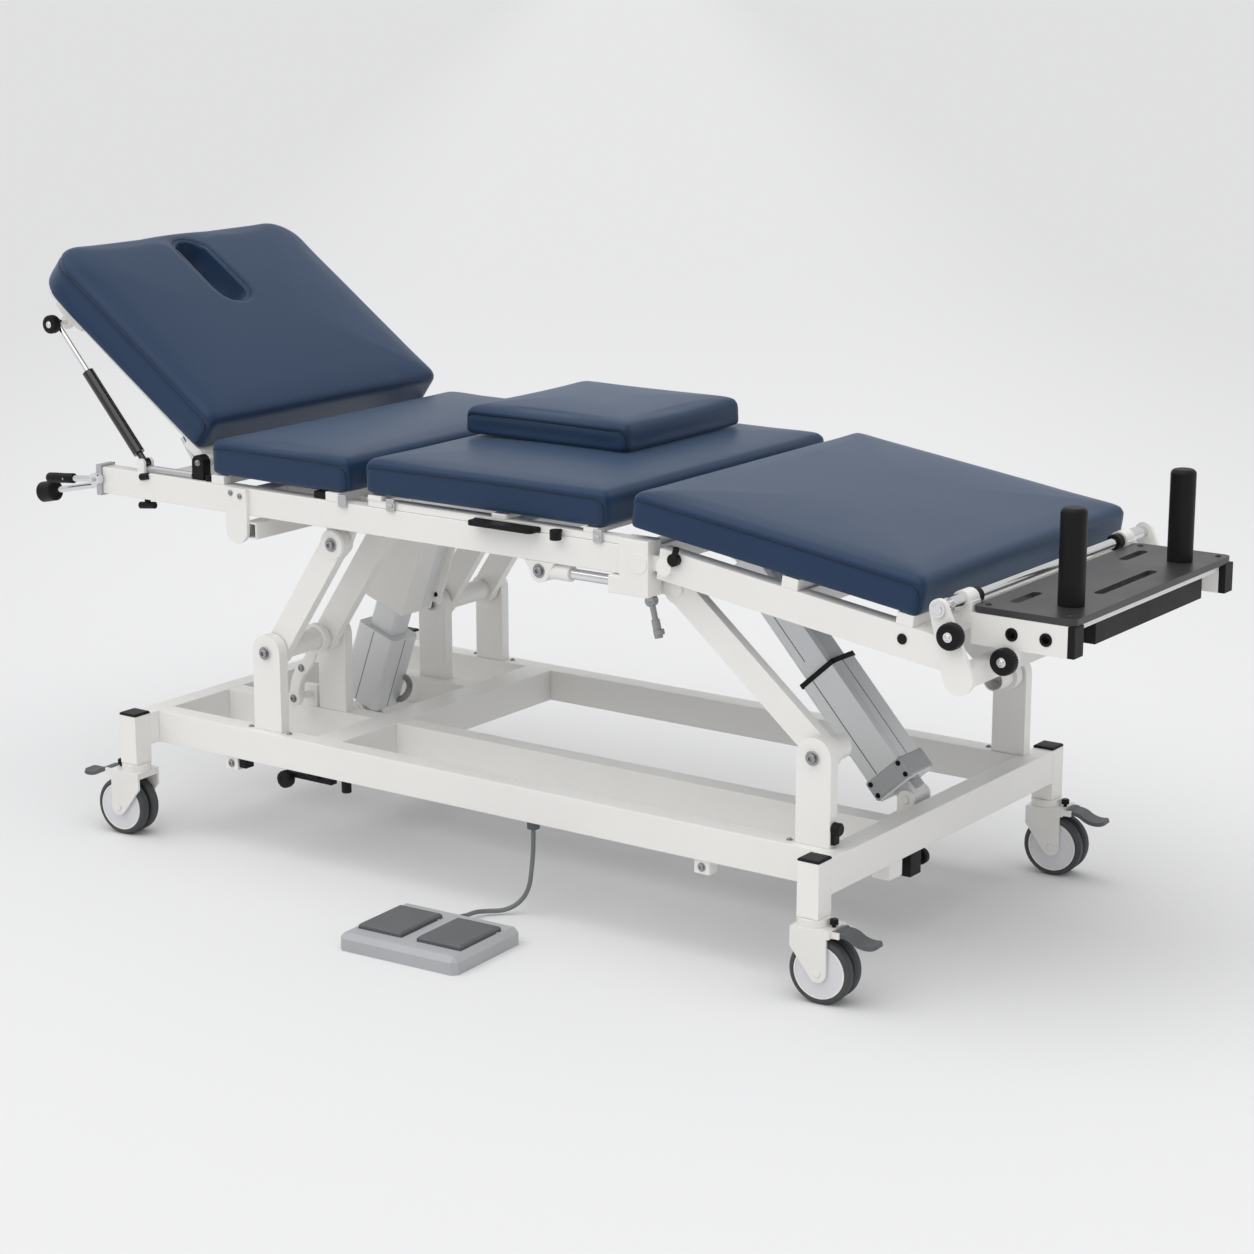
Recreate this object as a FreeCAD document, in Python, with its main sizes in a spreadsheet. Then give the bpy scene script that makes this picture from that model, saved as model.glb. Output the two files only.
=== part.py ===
"""Physiotherapy traction table: a wheeled base, two lift-arm sets, a level top frame,
a reclining back section, a sliding pelvic carriage, a hinged leg section and a footplate.

Frame: millimetres, +Z up, +X towards the foot end, the origin on the floor under the middle
of the table.  The near side of the table is -Y.  Sizes along X are given from the middle of
the base, and each sub-part is shifted from there into the frame.
"""
import FreeCAD
import Part
import math
import os
import re
from types import SimpleNamespace

Vector = FreeCAD.Vector

# Driving dimensions, one named value each
SIZES = {
    # From the middle of the base to the middle of the whole table
    "frame_shift_x": -47.01,
    # Base frame
    "post_size": 40, "post_span_x": 1480, "post_span_y": 785, "post_bottom": 138,
    "post_floor": 22, "post_cap_height": 5, "post_cap_bevel": 2,
    "base_top": 230, "base_tube_height": 60, "base_tube_width": 40, "tube_wall": 3,
    "base_rail_y": 330, "cross_beam_width": 60, "inner_beam_y": 140, "cross_beam_inset": 405,
    # Lift pedestals, arms and pins
    "pedestal_width": 65, "pedestal_thickness": 22, "arm_thickness": 20, "arm_width": 48,
    "arm_boss_radius": 27, "arm_y": 302, "inner_arm_y": 170, "side_clearance": 2,
    "head_pivot_inset": 280, "foot_pivot_inset": 40, "base_pivot_z": 376,
    "head_top_x": -317, "head_top_z": 589, "foot_top_x": 421, "foot_top_z": 608,
    "lift_pin_radius": 8, "pin_clearance": 0.05, "bolt_head_radius": 12, "bolt_head_height": 4,
    "face_clearance": 0.3, "arm_tube_radius": 20, "arm_tube_wall": 3,
    "saddle_thickness": 10, "saddle_width": 104, "saddle_foot_width": 44, "saddle_top": 652,
    "guide_bar_thickness": 12,
    # Lift actuators
    "head_act_inset": 228, "foot_act_inset": 48, "head_act_z": 195, "head_act_top_x": -364,
    "head_act_top_z": 612, "foot_act_z": 228, "foot_act_top_x": 345, "foot_act_top_z": 612,
    "act_eye_radius": 16, "act_eye_width": 40, "act_pin_radius": 7, "act_pin_play": 6,
    "act_top_eye_radius": 19, "lug_thickness": 8, "act_foot_plate": 6, "foot_plate_rise": 16,
    "head_box_depth": 92, "head_box_width": 74, "head_box_start": 20, "head_box_end": 172,
    "head_tube_depth": 60, "head_tube_width": 48, "head_sleeve_wall": 3, "head_sleeve_gap": 3,
    "head_sleeve_start": 232, "head_sleeve_end": 412, "head_tube_end": 268, "act_tube_room": 40,
    "foot_box_depth": 84, "foot_box_width": 70, "foot_box_start": 22, "foot_box_end": 262,
    "foot_tube_depth": 66, "foot_tube_width": 54, "act_tube_gap": 1, "act_tube_start": 90,
    "act_edge": 6,
    # Top frame
    "top_rail_y": 331, "top_rail_width": 30, "top_rail_height": 49, "top_rail_bottom": 627,
    "top_rail_head_x": -845, "top_rail_foot_x": 388, "end_plate_thickness": 12,
    "end_plate_margin": 4, "cross_width": 40, "cross_height": 36,
    "gas_cross_x": -700, "head_cross_x": -470, "mid_cross_x": 75, "foot_cross_x": 365,
    "tongue_width": 50, "tongue_thickness": 8, "head_tongue_x": -505, "tongue_drop": 27,
    "tongue_tube": 30, "support_width": 30, "thorax_support_head_x": -555,
    "thorax_support_foot_x": -285,
    # Head-end lever and pull knob
    "head_rod_radius": 6, "head_rod_length": 132, "head_knob_radius": 19, "head_knob_length": 34,
    "head_rod_z": 641, "head_rod_inside": 60, "head_rod_tilt": 12, "head_lever_x": -6,
    "head_lever_z": 654, "head_lever_length": 124, "head_lever_tilt": 5, "head_grip_radius": 9,
    "head_lever_radius": 6,
    # Back section
    "back_hinge_x": -612, "back_hinge_z": 707, "back_angle": 35.5, "back_pad_start": 16,
    "back_pad_length": 504, "back_pad_lift": 8, "back_half_width": 332, "back_bar_y": 286,
    "back_bar_width": 30, "back_bar_height": 18, "back_bar_length": 470, "hinge_house_width": 28,
    "hinge_house_thickness": 20, "hinge_pin_radius": 6, "hinge_lug_thickness": 12,
    "face_slot_from": 285, "face_slot_length": 180, "face_slot_width": 72,
    # Gas springs beside the back section
    "gas_x": -748, "gas_z": 692, "gas_reach": 414.2, "gas_drop": 20.3, "gas_radius": 11,
    "gas_rod_radius": 5, "gas_start": 22, "gas_length": 186, "gas_rod_start": 106,
    "gas_eye_radius": 9, "gas_eye_width": 12, "gas_pin_radius": 4, "gas_rod_play": 0.2,
    "gas_knob_radius": 16, "gas_knob_length": 16, "gas_bracket_thickness": 8,
    # Pads
    "pad_thickness": 72, "back_pad_thickness": 84, "pad_half_width": 350, "pad_crown": 6,
    "pad_corner": 26, "back_corner": 78, "pad_edge": 10, "pad_draw": 3, "pad_gap": 0.4,
    "thorax_head_x": -582, "thorax_foot_x": -246, "thorax_bottom": 692,
    "pelvic_head_x": -222, "pelvic_foot_x": 306, "pelvic_bottom": 697,
    "cushion_length": 368, "cushion_width": 372, "cushion_height": 60, "cushion_x": -16,
    "cushion_y": 90,
    # Sliding pelvic carriage
    "runner_thickness": 12, "runner_width": 26, "runner_head_x": -205, "block_head_x": 336,
    "block_foot_x": 394, "block_low_head_x": 314, "block_wall": 9, "block_top": 690,
    "block_bottom": 596, "block_gap": 1.2, "knee_tongue_height": 26, "knee_tongue_thickness": 20,
    "knee_tongue_reach": 16, "guide_rod_radius": 9, "guide_rod_z": 611, "guide_rod_head_x": 146,
    "rod_bracket_x": 166, "rod_bracket_length": 31, "rod_bracket_radius": 20,
    "rod_sleeve_length": 58, "rod_sleeve_radius": 14, "clamp_lever_length": 62, "clamp_lever_radius": 7,
    "clamp_lever_x": 384, "clamp_lever_lean": 14, "handle_x": 102, "handle_length": 136,
    "handle_width": 25, "handle_thickness": 10,
    # Leg section
    "leg_hinge_x": 425, "leg_hinge_z": 652, "leg_angle": 8, "leg_rail_height": 52,
    "leg_rail_start": 18, "leg_rail_end": 528, "leg_pad_start": 91, "leg_pad_length": 560,
    "leg_pad_lift": 45, "leg_half_width": 355, "leg_cross_a": 230, "leg_cross_b": 440,
    "leg_pin_radius": 7, "leg_cap_radius": 15, "leg_cap_height": 12, "leg_end_x": 964,
    "leg_end_z": 548, "leg_end_radius": 26,
    # Foot section
    "foot_hinge_x": 928, "foot_hinge_z": 652, "foot_shaft_radius": 9, "foot_boss_radius": 16,
    "foot_rail_y": 268, "foot_rail_width": 30, "foot_rail_height": 49, "foot_rail_top": 636,
    "foot_rail_head_x": 946, "foot_rail_foot_x": 1110, "foot_cap_thickness": 12,
    "foot_plate_thickness": 11, "foot_plate_half_width": 280, "foot_plate_head_x": 946,
    "foot_plate_foot_x": 1120, "foot_plate_corner": 12, "foot_slot_width": 17,
    "foot_slot_x": 988, "foot_slot_y": 186, "foot_slot_length": 84, "mid_slot_x": 1066,
    "mid_slot_length": 200, "foot_post_x": 1068, "foot_post_y": 192, "foot_post_radius": 21,
    "foot_post_height": 152, "foot_post_round": 8, "front_panel_half_width": 190,
    "front_panel_height": 34, "front_panel_thickness": 22, "foot_bar_height": 12,
    "rail_hole_radius": 7, "rail_hole_x": 1016, "rail_hole_pitch": 58, "rail_hole_z": 611,
    "lock_knob_radius": 20, "lock_knob_length": 20, "lock_knob_x": 956, "lock_knob_z": 616,
    "clamp_knob_x": 1010, "clamp_knob_z": 570, "knob_stud_radius": 5,
    # Foot control on the floor
    "control_x": 95, "control_y": -560, "control_turn": 3, "control_length": 240,
    "control_width": 190, "control_height": 30, "control_edge": 9, "pedal_length": 88,
    "pedal_width": 116, "pedal_thickness": 16, "pedal_stand": 8, "pedal_offset": 60,
    "pedal_gap": 1.5, "pedal_pin_radius": 3, "pedal_axle_y": 46, "pedal_room": 14,
    "cord_radius": 4, "relief_length": 34, "relief_radius": 9, "cord_outlet_x": -20,
    "gland_x": 138, "gland_radius": 11, "gland_length": 16,
    # Castors
    "wheel_radius": 54, "wheel_width": 20, "wheel_gap": 8, "wheel_trail": 22, "disc_radius": 45,
    "tyre_bevel": 4, "disc_recess": 1.5, "hub_radius": 13, "axle_radius": 5, "fork_wall": 5,
    "fork_head_radius": 27, "fork_bridge": 12, "wheel_room": 5, "fork_foot_radius": 15,
    "fork_leg_width": 40, "fork_leg_drop": 24, "stem_radius": 8, "stem_length": 18,
    "brake_lead": 8, "brake_crest_radius": 34, "brake_dip_radius": 40, "brake_slope": 35,
    "brake_tip_rise": 20, "brake_tip_corner": 10, "brake_width": 38, "brake_thickness": 7,
    "brake_barrel": 6, "brake_pin_radius": 3, "castor_heading": 5, "wheel_side_gap": 1.5,
}

# Sizes that follow from the driving ones
SIZES.update({
    "head_pivot_x": "=head_pivot_inset - post_span_x / 2",
    "foot_pivot_x": "=post_span_x / 2 - foot_pivot_inset",
    "cross_beam_x": "=cross_beam_inset - post_span_x / 2",
    "head_act_x": "=head_act_inset - post_span_x / 2",
    "foot_act_x": "=post_span_x / 2 - foot_act_inset",
    "gas_top_x": "=back_hinge_x - gas_reach * cos(back_angle) - gas_drop * sin(back_angle)",
    "gas_top_z": "=back_hinge_z + gas_reach * sin(back_angle) - gas_drop * cos(back_angle)",
})

doc = FreeCAD.newDocument("TractionTable")
sheet = doc.addObject("Spreadsheet::Sheet", "Sizes")
for row, (alias, value) in enumerate(SIZES.items(), start=1):
    sheet.set(f"A{row}", alias)
    sheet.set(f"B{row}", str(value))
    sheet.setAlias(f"B{row}", alias)
doc.recompute()
S = SimpleNamespace(**{alias: float(sheet.get(alias)) for alias in SIZES})

WORD = re.compile(r"[a-z][a-z_0-9]*")
SIDES = (("near", -1), ("far", 1))
AXIS_TURN = {
    "x": FreeCAD.Rotation(Vector(0, 1, 0), 90),
    "y": FreeCAD.Rotation(Vector(1, 0, 0), -90),
    "z": FreeCAD.Rotation(),
}
NODES = []


def bound(text):
    """Turn a formula of size names into an expression on the sheet's cells."""
    return WORD.sub(lambda m: "Sizes." + m.group(0) if m.group(0) in SIZES else m.group(0), text)


def bind(obj, **formulas):
    """Bind properties of an object to formulas of size names."""
    for name, text in formulas.items():
        obj.setExpression(name.replace("__", "."), bound(str(text)))


def place(obj, corner):
    """Bind an object's place to three formulas."""
    x, y, z = corner
    bind(obj, Placement__Base__x=x, Placement__Base__y=y, Placement__Base__z=z)


def box(name, size, corner):
    """A block with its lowest corner at the given place."""
    obj = doc.addObject("Part::Box", name)
    bind(obj, Length=size[0], Width=size[1], Height=size[2])
    place(obj, corner)
    return obj


def rod(name, radius, length, start, axis):
    """A round bar from its start point along +X, +Y or +Z."""
    obj = doc.addObject("Part::Cylinder", name)
    bind(obj, Radius=radius, Height=length)
    obj.Placement = FreeCAD.Placement(Vector(), AXIS_TURN[axis])
    place(obj, start)
    return obj


def fuse(name, *members):
    """One solid made of members that are welded or moulded together."""
    obj = doc.addObject("Part::MultiFuse", name)
    obj.Shapes = list(members)
    return obj


def cut(name, body, *tools):
    """A body with one or more tools taken out of it."""
    obj = doc.addObject("Part::Cut", name)
    obj.Base = body
    obj.Tool = tools[0] if len(tools) == 1 else fuse(name + "_tools", *tools)
    return obj


def tube(name, size, corner, along, wall="tube_wall"):
    """A rectangular tube, open at both ends along one axis."""
    inner_size = []
    inner_corner = []
    for axis, length, start in zip("xyz", size, corner):
        if axis == along:
            inner_size.append(f"{length} + 2")
            inner_corner.append(f"{start} - 1")
        else:
            inner_size.append(f"{length} - 2 * {wall}")
            inner_corner.append(f"{start} + {wall}")
    outer = box(name + "_outer", size, corner)
    return cut(name, outer, box(name + "_bore", inner_size, inner_corner))


def ring(name, outer, inner, length, start, axis):
    """A round tube."""
    return cut(name, rod(name + "_outer", outer, length, start, axis),
               rod(name + "_bore", inner, length, start, axis))


def edged(name, body, size, chosen, kind="Part::Chamfer"):
    """A body with a bevel or a round on the edges that a test picks."""
    doc.recompute()
    picked = [index for index, edge in enumerate(body.Shape.Edges, start=1) if chosen(edge)]
    obj = doc.addObject(kind, name)
    obj.Base = body
    obj.Edges = [(index, size, size) for index in picked]
    return obj


def upright(edge):
    """True for a straight edge along Z."""
    ends = [vertex.Point for vertex in edge.Vertexes]
    return len(ends) == 2 and abs(ends[0].z - ends[1].z) > 0.9 * edge.Length


def node(label, *members, at=("0", "0", "0"), axis=(0, 1, 0), turn=0.0):
    """A named sub-part that holds its solids, turned about an axis through a place."""
    obj = doc.addObject("Part::Compound", "node_" + label)
    obj.Links = list(members)
    obj.Placement = FreeCAD.Placement(Vector(), FreeCAD.Rotation(Vector(*axis), turn))
    place(obj, (f"{at[0]} + frame_shift_x", at[1], at[2]))
    obj.Label = label
    NODES.append(obj)
    return obj


def solid_of(name, shape):
    """A free-form solid."""
    obj = doc.addObject("Part::Feature", name)
    obj.Shape = shape
    return obj


# Values that several sub-parts share
BASE_LOW = "(base_top - base_tube_height)"
RAIL_TOP = "(top_rail_bottom + top_rail_height)"
RAIL_IN = "(top_rail_y - top_rail_width / 2)"
RAIL_OUT = "(top_rail_y + top_rail_width / 2)"
ARM_OUT = "(arm_y + arm_thickness / 2)"
ARM_IN = "(arm_y - arm_thickness / 2)"
INNER_ARM_OUT = "(inner_arm_y + arm_thickness / 2)"
INNER_ARM_IN = "(inner_arm_y - arm_thickness / 2)"
PEDESTAL_Y = "(arm_y + arm_thickness / 2 + side_clearance + pedestal_thickness / 2)"
INNER_PEDESTAL_Y = "(inner_arm_y - arm_thickness / 2 - side_clearance - pedestal_thickness / 2)"
SADDLE_Y = "(arm_y - arm_thickness / 2 - side_clearance - saddle_thickness / 2)"
INNER_SADDLE_Y = "(inner_arm_y - arm_thickness / 2 - side_clearance - saddle_thickness / 2)"
PIN_HOLE = "(lift_pin_radius + pin_clearance)"
SUPPORT_TOP = "(thorax_bottom - pad_gap)"


def across(half, sign, thickness):
    """The lowest Y of a plate whose middle lies at a distance on one side."""
    return f"{sign} * {half} - {thickness} / 2"


def spanning(sign, inner, outer):
    """The lowest Y and the length of a bar between two distances on one side."""
    low = inner if sign > 0 else f"-({outer})"
    return low, f"({outer}) - ({inner})"


# Base frame
def base_frame():
    """Side rails, end tubes, inner beams, corner posts and their caps."""
    rails = []
    for tag, sign in SIDES:
        rails.append(tube(f"side_rail_{tag}",
                          ("post_span_x - base_tube_width", "base_tube_width", "base_tube_height"),
                          ("(base_tube_width - post_span_x) / 2",
                           across("base_rail_y", sign, "base_tube_width"), BASE_LOW), "x"))
    ends = rails
    posts = []
    caps = []
    for end, x_sign in (("head", -1), ("foot", 1)):
        ends.append(tube(f"end_tube_{end}",
                         ("base_tube_width", "post_span_y - post_size", "base_tube_height"),
                         (f"{x_sign} * post_span_x / 2 - base_tube_width / 2",
                          "(post_size - post_span_y) / 2", BASE_LOW), "y"))
        for tag, sign in SIDES:
            corner = (f"{x_sign} * post_span_x / 2 - post_size / 2",
                      f"{sign} * post_span_y / 2 - post_size / 2")
            body = box(f"post_body_{end}_{tag}",
                       ("post_size", "post_size", "base_top - post_bottom"), (*corner, "post_bottom"))
            hollow = box(f"post_hollow_{end}_{tag}",
                         ("post_size - 2 * tube_wall", "post_size - 2 * tube_wall",
                          "base_top - post_bottom - post_floor + 1"),
                         (corner[0] + " + tube_wall", corner[1] + " + tube_wall",
                          "post_bottom + post_floor"))
            socket = rod(f"post_socket_{end}_{tag}", "stem_radius + pin_clearance",
                         "post_floor + 2",
                         (f"{x_sign} * post_span_x / 2", f"{sign} * post_span_y / 2",
                          "post_bottom - 1"), "z")
            posts.append(cut(f"post_{end}_{tag}", body, hollow, socket))
            cap = box(f"cap_body_{end}_{tag}", ("post_size", "post_size", "post_cap_height"),
                      (*corner, "base_top"))
            top = S.base_top + S.post_cap_height
            caps.append(edged(f"cap_{end}_{tag}", cap, S.post_cap_bevel,
                              lambda edge: edge.CenterOfMass.z > top - 0.01))
    node("base_rails", *ends)
    node("base_corner_posts", *posts)
    node("base_post_caps", *caps)

    beams = [tube("cross_beam",
                  ("cross_beam_width", "2 * base_rail_y - base_tube_width", "base_tube_height"),
                  ("cross_beam_x - cross_beam_width / 2", "base_tube_width / 2 - base_rail_y",
                   BASE_LOW), "y")]
    beam_y = across("inner_beam_y", -1, "base_tube_width")
    end_face = "(post_span_x / 2 - base_tube_width / 2)"
    beams.append(tube("foot_beam",
                      (f"{end_face} - cross_beam_x - cross_beam_width / 2", "base_tube_width",
                       "base_tube_height"),
                      ("cross_beam_x + cross_beam_width / 2", beam_y, BASE_LOW), "x"))
    for tag, sign in SIDES:
        beams.append(tube(f"head_beam_{tag}",
                          (f"cross_beam_x - cross_beam_width / 2 + {end_face}", "base_tube_width",
                           "base_tube_height"),
                          (f"-{end_face}", across("inner_beam_y", sign, "base_tube_width"),
                           BASE_LOW), "x"))
    lug_span = "(act_eye_width / 2 + side_clearance / 2)"
    feet = [box("head_foot_plate",
                ("4 * act_eye_radius + 40", "2 * inner_beam_y - base_tube_width", "act_foot_plate"),
                ("head_act_x - 2 * act_eye_radius - 20", "base_tube_width / 2 - inner_beam_y",
                 BASE_LOW)),
            box("foot_foot_plate",
                (f"{end_face} - foot_act_x + 40", "2 * act_eye_width + 40", "act_foot_plate"),
                ("foot_act_x - 40", "-act_eye_width - 20", f"{BASE_LOW} + foot_plate_rise"))]
    for end, floor in (("head", f"({BASE_LOW} + act_foot_plate)"),
                       ("foot", f"({BASE_LOW} + foot_plate_rise + act_foot_plate)")):
        for tag, sign in SIDES:
            low = f"{sign} * ({lug_span} + lug_thickness / 2) - lug_thickness / 2"
            cheek = box(f"{end}_lug_{tag}_low",
                        ("2 * act_eye_radius", "lug_thickness", f"{end}_act_z - {floor}"),
                        (f"{end}_act_x - act_eye_radius", low, floor))
            crown = rod(f"{end}_lug_{tag}_top", "act_eye_radius", "lug_thickness",
                        (f"{end}_act_x", low, f"{end}_act_z"), "y")
            hole = rod(f"{end}_lug_{tag}_hole", "act_pin_radius + pin_clearance", "lug_thickness + 2",
                       (f"{end}_act_x", f"{low} - 1", f"{end}_act_z"), "y")
            feet.append(cut(f"{end}_lug_{tag}", fuse(f"{end}_lug_{tag}_body", cheek, crown), hole))
        feet.append(rod(f"{end}_act_pin", "act_pin_radius",
                        f"2 * ({lug_span} + lug_thickness + 3)",
                        (f"{end}_act_x", f"-({lug_span} + lug_thickness + 3)", f"{end}_act_z"), "y"))
    node("base_inner_beams", *beams, *feet)


def pedestal(name, x, y, z_from):
    """An upright plate with a round top and a bore for the arm's pin."""
    foot = box(name + "_plate", ("pedestal_width", "pedestal_thickness", f"base_pivot_z - {z_from}"),
               (f"{x} - pedestal_width / 2", f"{y} - pedestal_thickness / 2", z_from))
    crown = rod(name + "_crown", "pedestal_width / 2", "pedestal_thickness",
                (x, f"{y} - pedestal_thickness / 2", "base_pivot_z"), "y")
    bore = rod(name + "_bore", PIN_HOLE, "pedestal_thickness + 2",
               (x, f"{y} - pedestal_thickness / 2 - 1", "base_pivot_z"), "y")
    return cut(name, fuse(name + "_body", foot, crown), bore)


def headed_pin(name, x, z, sign, head_at, tip_at):
    """A pin along Y with a bolt head outside, from the head's seat to the tip."""
    seat = f"{sign} * ({head_at})"
    tip = f"{sign} * ({tip_at})"
    shank = rod(name + "_shank", "lift_pin_radius", f"abs({seat} - {tip})",
                (x, f"min({seat}; {tip})", z), "y")
    head = rod(name + "_head", "bolt_head_radius", "bolt_head_height",
               (x, f"{seat} < {tip} ? {seat} - bolt_head_height : {seat}", z), "y")
    return fuse(name, shank, head)


def lift_supports():
    """Pedestals on the base and the pins that carry the lift arms."""
    plates = []
    pins = []
    for tag, sign in SIDES:
        for end in ("head", "foot"):
            plates.append(pedestal(f"pedestal_{end}_{tag}", f"{end}_pivot_x",
                                   f"{sign} * {PEDESTAL_Y}", "base_top"))
            pins.append(headed_pin(f"base_pin_{end}_{tag}", f"{end}_pivot_x", "base_pivot_z", sign,
                                   f"{PEDESTAL_Y} + pedestal_thickness / 2",
                                   f"{ARM_IN} - side_clearance"))
        plates.append(pedestal(f"pedestal_inner_{tag}", "head_pivot_x",
                               f"{sign} * {INNER_PEDESTAL_Y}", "base_top"))
        pins.append(headed_pin(f"base_pin_inner_{tag}", "head_pivot_x", "base_pivot_z", sign,
                               f"{INNER_PEDESTAL_Y} - pedestal_thickness / 2",
                               f"{INNER_ARM_OUT} + side_clearance"))
    node("lift_pedestals", *plates)
    node("lift_base_pins", *pins)


def lift_arm(name, end, y):
    """A flat arm with a round boss and a bore at each pivot."""
    run_x = getattr(S, end + "_top_x") - getattr(S, end + "_pivot_x")
    run_z = getattr(S, end + "_top_z") - S.base_pivot_z
    reach = f"sqrt(({end}_top_x - {end}_pivot_x)^2 + ({end}_top_z - base_pivot_z)^2)"
    bar = box(name + "_bar", (reach, "arm_thickness", "arm_width"),
              ("0", "-arm_thickness / 2", "-arm_width / 2"))
    bosses = []
    bores = []
    for tag, x in (("low", "0"), ("high", reach)):
        bosses.append(rod(f"{name}_boss_{tag}", "arm_boss_radius", "arm_thickness",
                          (x, "-arm_thickness / 2", "0"), "y"))
        bores.append(rod(f"{name}_bore_{tag}", PIN_HOLE, "arm_thickness + 2",
                         (x, "-arm_thickness / 2 - 1", "0"), "y"))
    arm = cut(name, fuse(name + "_body", bar, *bosses), *bores)
    turn = -math.degrees(math.atan2(run_z, run_x))
    arm.Placement = FreeCAD.Placement(Vector(), FreeCAD.Rotation(Vector(0, 1, 0), turn))
    place(arm, (f"{end}_pivot_x", y, "base_pivot_z"))
    return arm


def lift_arms():
    """Two foot arms, four head arms tied in pairs by tubes, and the sliding head saddles."""
    foot = []
    head = []
    saddles = []
    for tag, sign in SIDES:
        foot.append(lift_arm(f"foot_arm_{tag}", "foot", f"{sign} * arm_y"))
        low, _ = spanning(sign, f"{ARM_IN} - 2 * arm_tube_radius", ARM_IN)
        foot.append(ring(f"foot_boss_{tag}", "arm_tube_radius", "arm_tube_radius - arm_tube_wall",
                         "2 * arm_tube_radius", ("foot_pivot_x", low, "base_pivot_z"), "y"))
        head.append(lift_arm(f"head_arm_{tag}", "head", f"{sign} * arm_y"))
        head.append(lift_arm(f"head_inner_arm_{tag}", "head", f"{sign} * inner_arm_y"))
        low, length = spanning(sign, INNER_ARM_OUT, ARM_IN)
        head.append(ring(f"head_tie_{tag}", "arm_tube_radius", "arm_tube_radius - arm_tube_wall",
                         length, ("head_pivot_x", low, "base_pivot_z"), "y"))
        for kind, y, arm_in, arm_out in (("outer", SADDLE_Y, ARM_IN, ARM_OUT),
                                         ("inner", INNER_SADDLE_Y, INNER_ARM_IN, INNER_ARM_OUT)):
            saddles.append(saddle(f"saddle_{kind}_{tag}", sign, y, arm_out))
    node("foot_lift_arms", *foot)
    node("head_lift_arms", *head)
    node("head_saddles", *saddles)


def saddle(name, sign, y, arm_out):
    """A tapered plate that keeps level at the top of a head arm, with its pivot stud."""
    plate = doc.addObject("Part::Wedge", name + "_plate")
    bind(plate, Xmin="-saddle_foot_width / 2", Xmax="saddle_foot_width / 2",
         X2min="-saddle_width / 2", X2max="saddle_width / 2",
         Ymin="0", Ymax="saddle_top - head_top_z",
         Zmin="-saddle_thickness / 2", Zmax="saddle_thickness / 2",
         Z2min="-saddle_thickness / 2", Z2max="saddle_thickness / 2")
    plate.Placement = FreeCAD.Placement(Vector(), FreeCAD.Rotation(Vector(1, 0, 0), 90))
    place(plate, ("head_top_x", f"{sign} * {y}", "head_top_z"))
    boss = rod(name + "_boss", "saddle_foot_width / 2", "saddle_thickness",
               ("head_top_x", across(y, sign, "saddle_thickness"), "head_top_z"), "y")
    stud = headed_pin(name + "_stud", "head_top_x", "head_top_z", sign,
                      f"{arm_out} + face_clearance", y)
    return fuse(name, plate, boss, stud)


# Lift actuators, drawn along +X from the lower eye and turned into place
def actuator_turn(end):
    """The turn about Y that points an actuator from its lower to its upper pivot."""
    run_x = getattr(S, end + "_act_top_x") - getattr(S, end + "_act_x")
    run_z = getattr(S, end + "_act_top_z") - getattr(S, end + "_act_z")
    return -math.degrees(math.atan2(run_z, run_x))


def rounded_bar(name, depth, width, start, end):
    """A bar along X with bevelled long edges."""
    bar = box(name + "_bar", (f"{end} - ({start})", width, depth),
              (start, f"-{width} / 2", f"-{depth} / 2"))
    return edged(name, bar, S.act_edge,
                 lambda edge: abs(edge.tangentAt(edge.FirstParameter).x) > 0.99)


def actuator_reach(end):
    """The distance between an actuator's two pivots."""
    return f"sqrt(({end}_act_top_x - {end}_act_x)^2 + ({end}_act_top_z - {end}_act_z)^2)"


def lower_eye(end):
    """The neck and the eye below an actuator's housing, and the bore through them."""
    neck = box(f"{end}_neck", (f"{end}_box_start + 1", "act_eye_width", "2 * act_eye_radius"),
               ("0", "-act_eye_width / 2", "-act_eye_radius"))
    eye = rod(f"{end}_eye", "act_eye_radius", "act_eye_width", ("0", "-act_eye_width / 2", "0"), "y")
    bore = rod(f"{end}_eye_bore", "act_pin_radius + pin_clearance", "act_eye_width + 2",
               ("0", "-act_eye_width / 2 - 1", "0"), "y")
    return neck, eye, bore


def upper_eye(end):
    """The neck and the eye at an actuator's top, and the oversize bore through them."""
    reach = actuator_reach(end)
    neck = box(f"{end}_ram_neck", ("act_top_eye_radius + 1", "act_eye_width", "2 * act_eye_radius"),
               (f"{reach} - act_top_eye_radius - 1", "-act_eye_width / 2", "-act_eye_radius"))
    eye = rod(f"{end}_ram_eye", "act_top_eye_radius", "act_eye_width",
              (reach, "-act_eye_width / 2", "0"), "y")
    bore = rod(f"{end}_ram_bore", "act_pin_radius + act_pin_play", "act_eye_width + 2",
               (reach, "-act_eye_width / 2 - 1", "0"), "y")
    return neck, eye, bore


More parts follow.
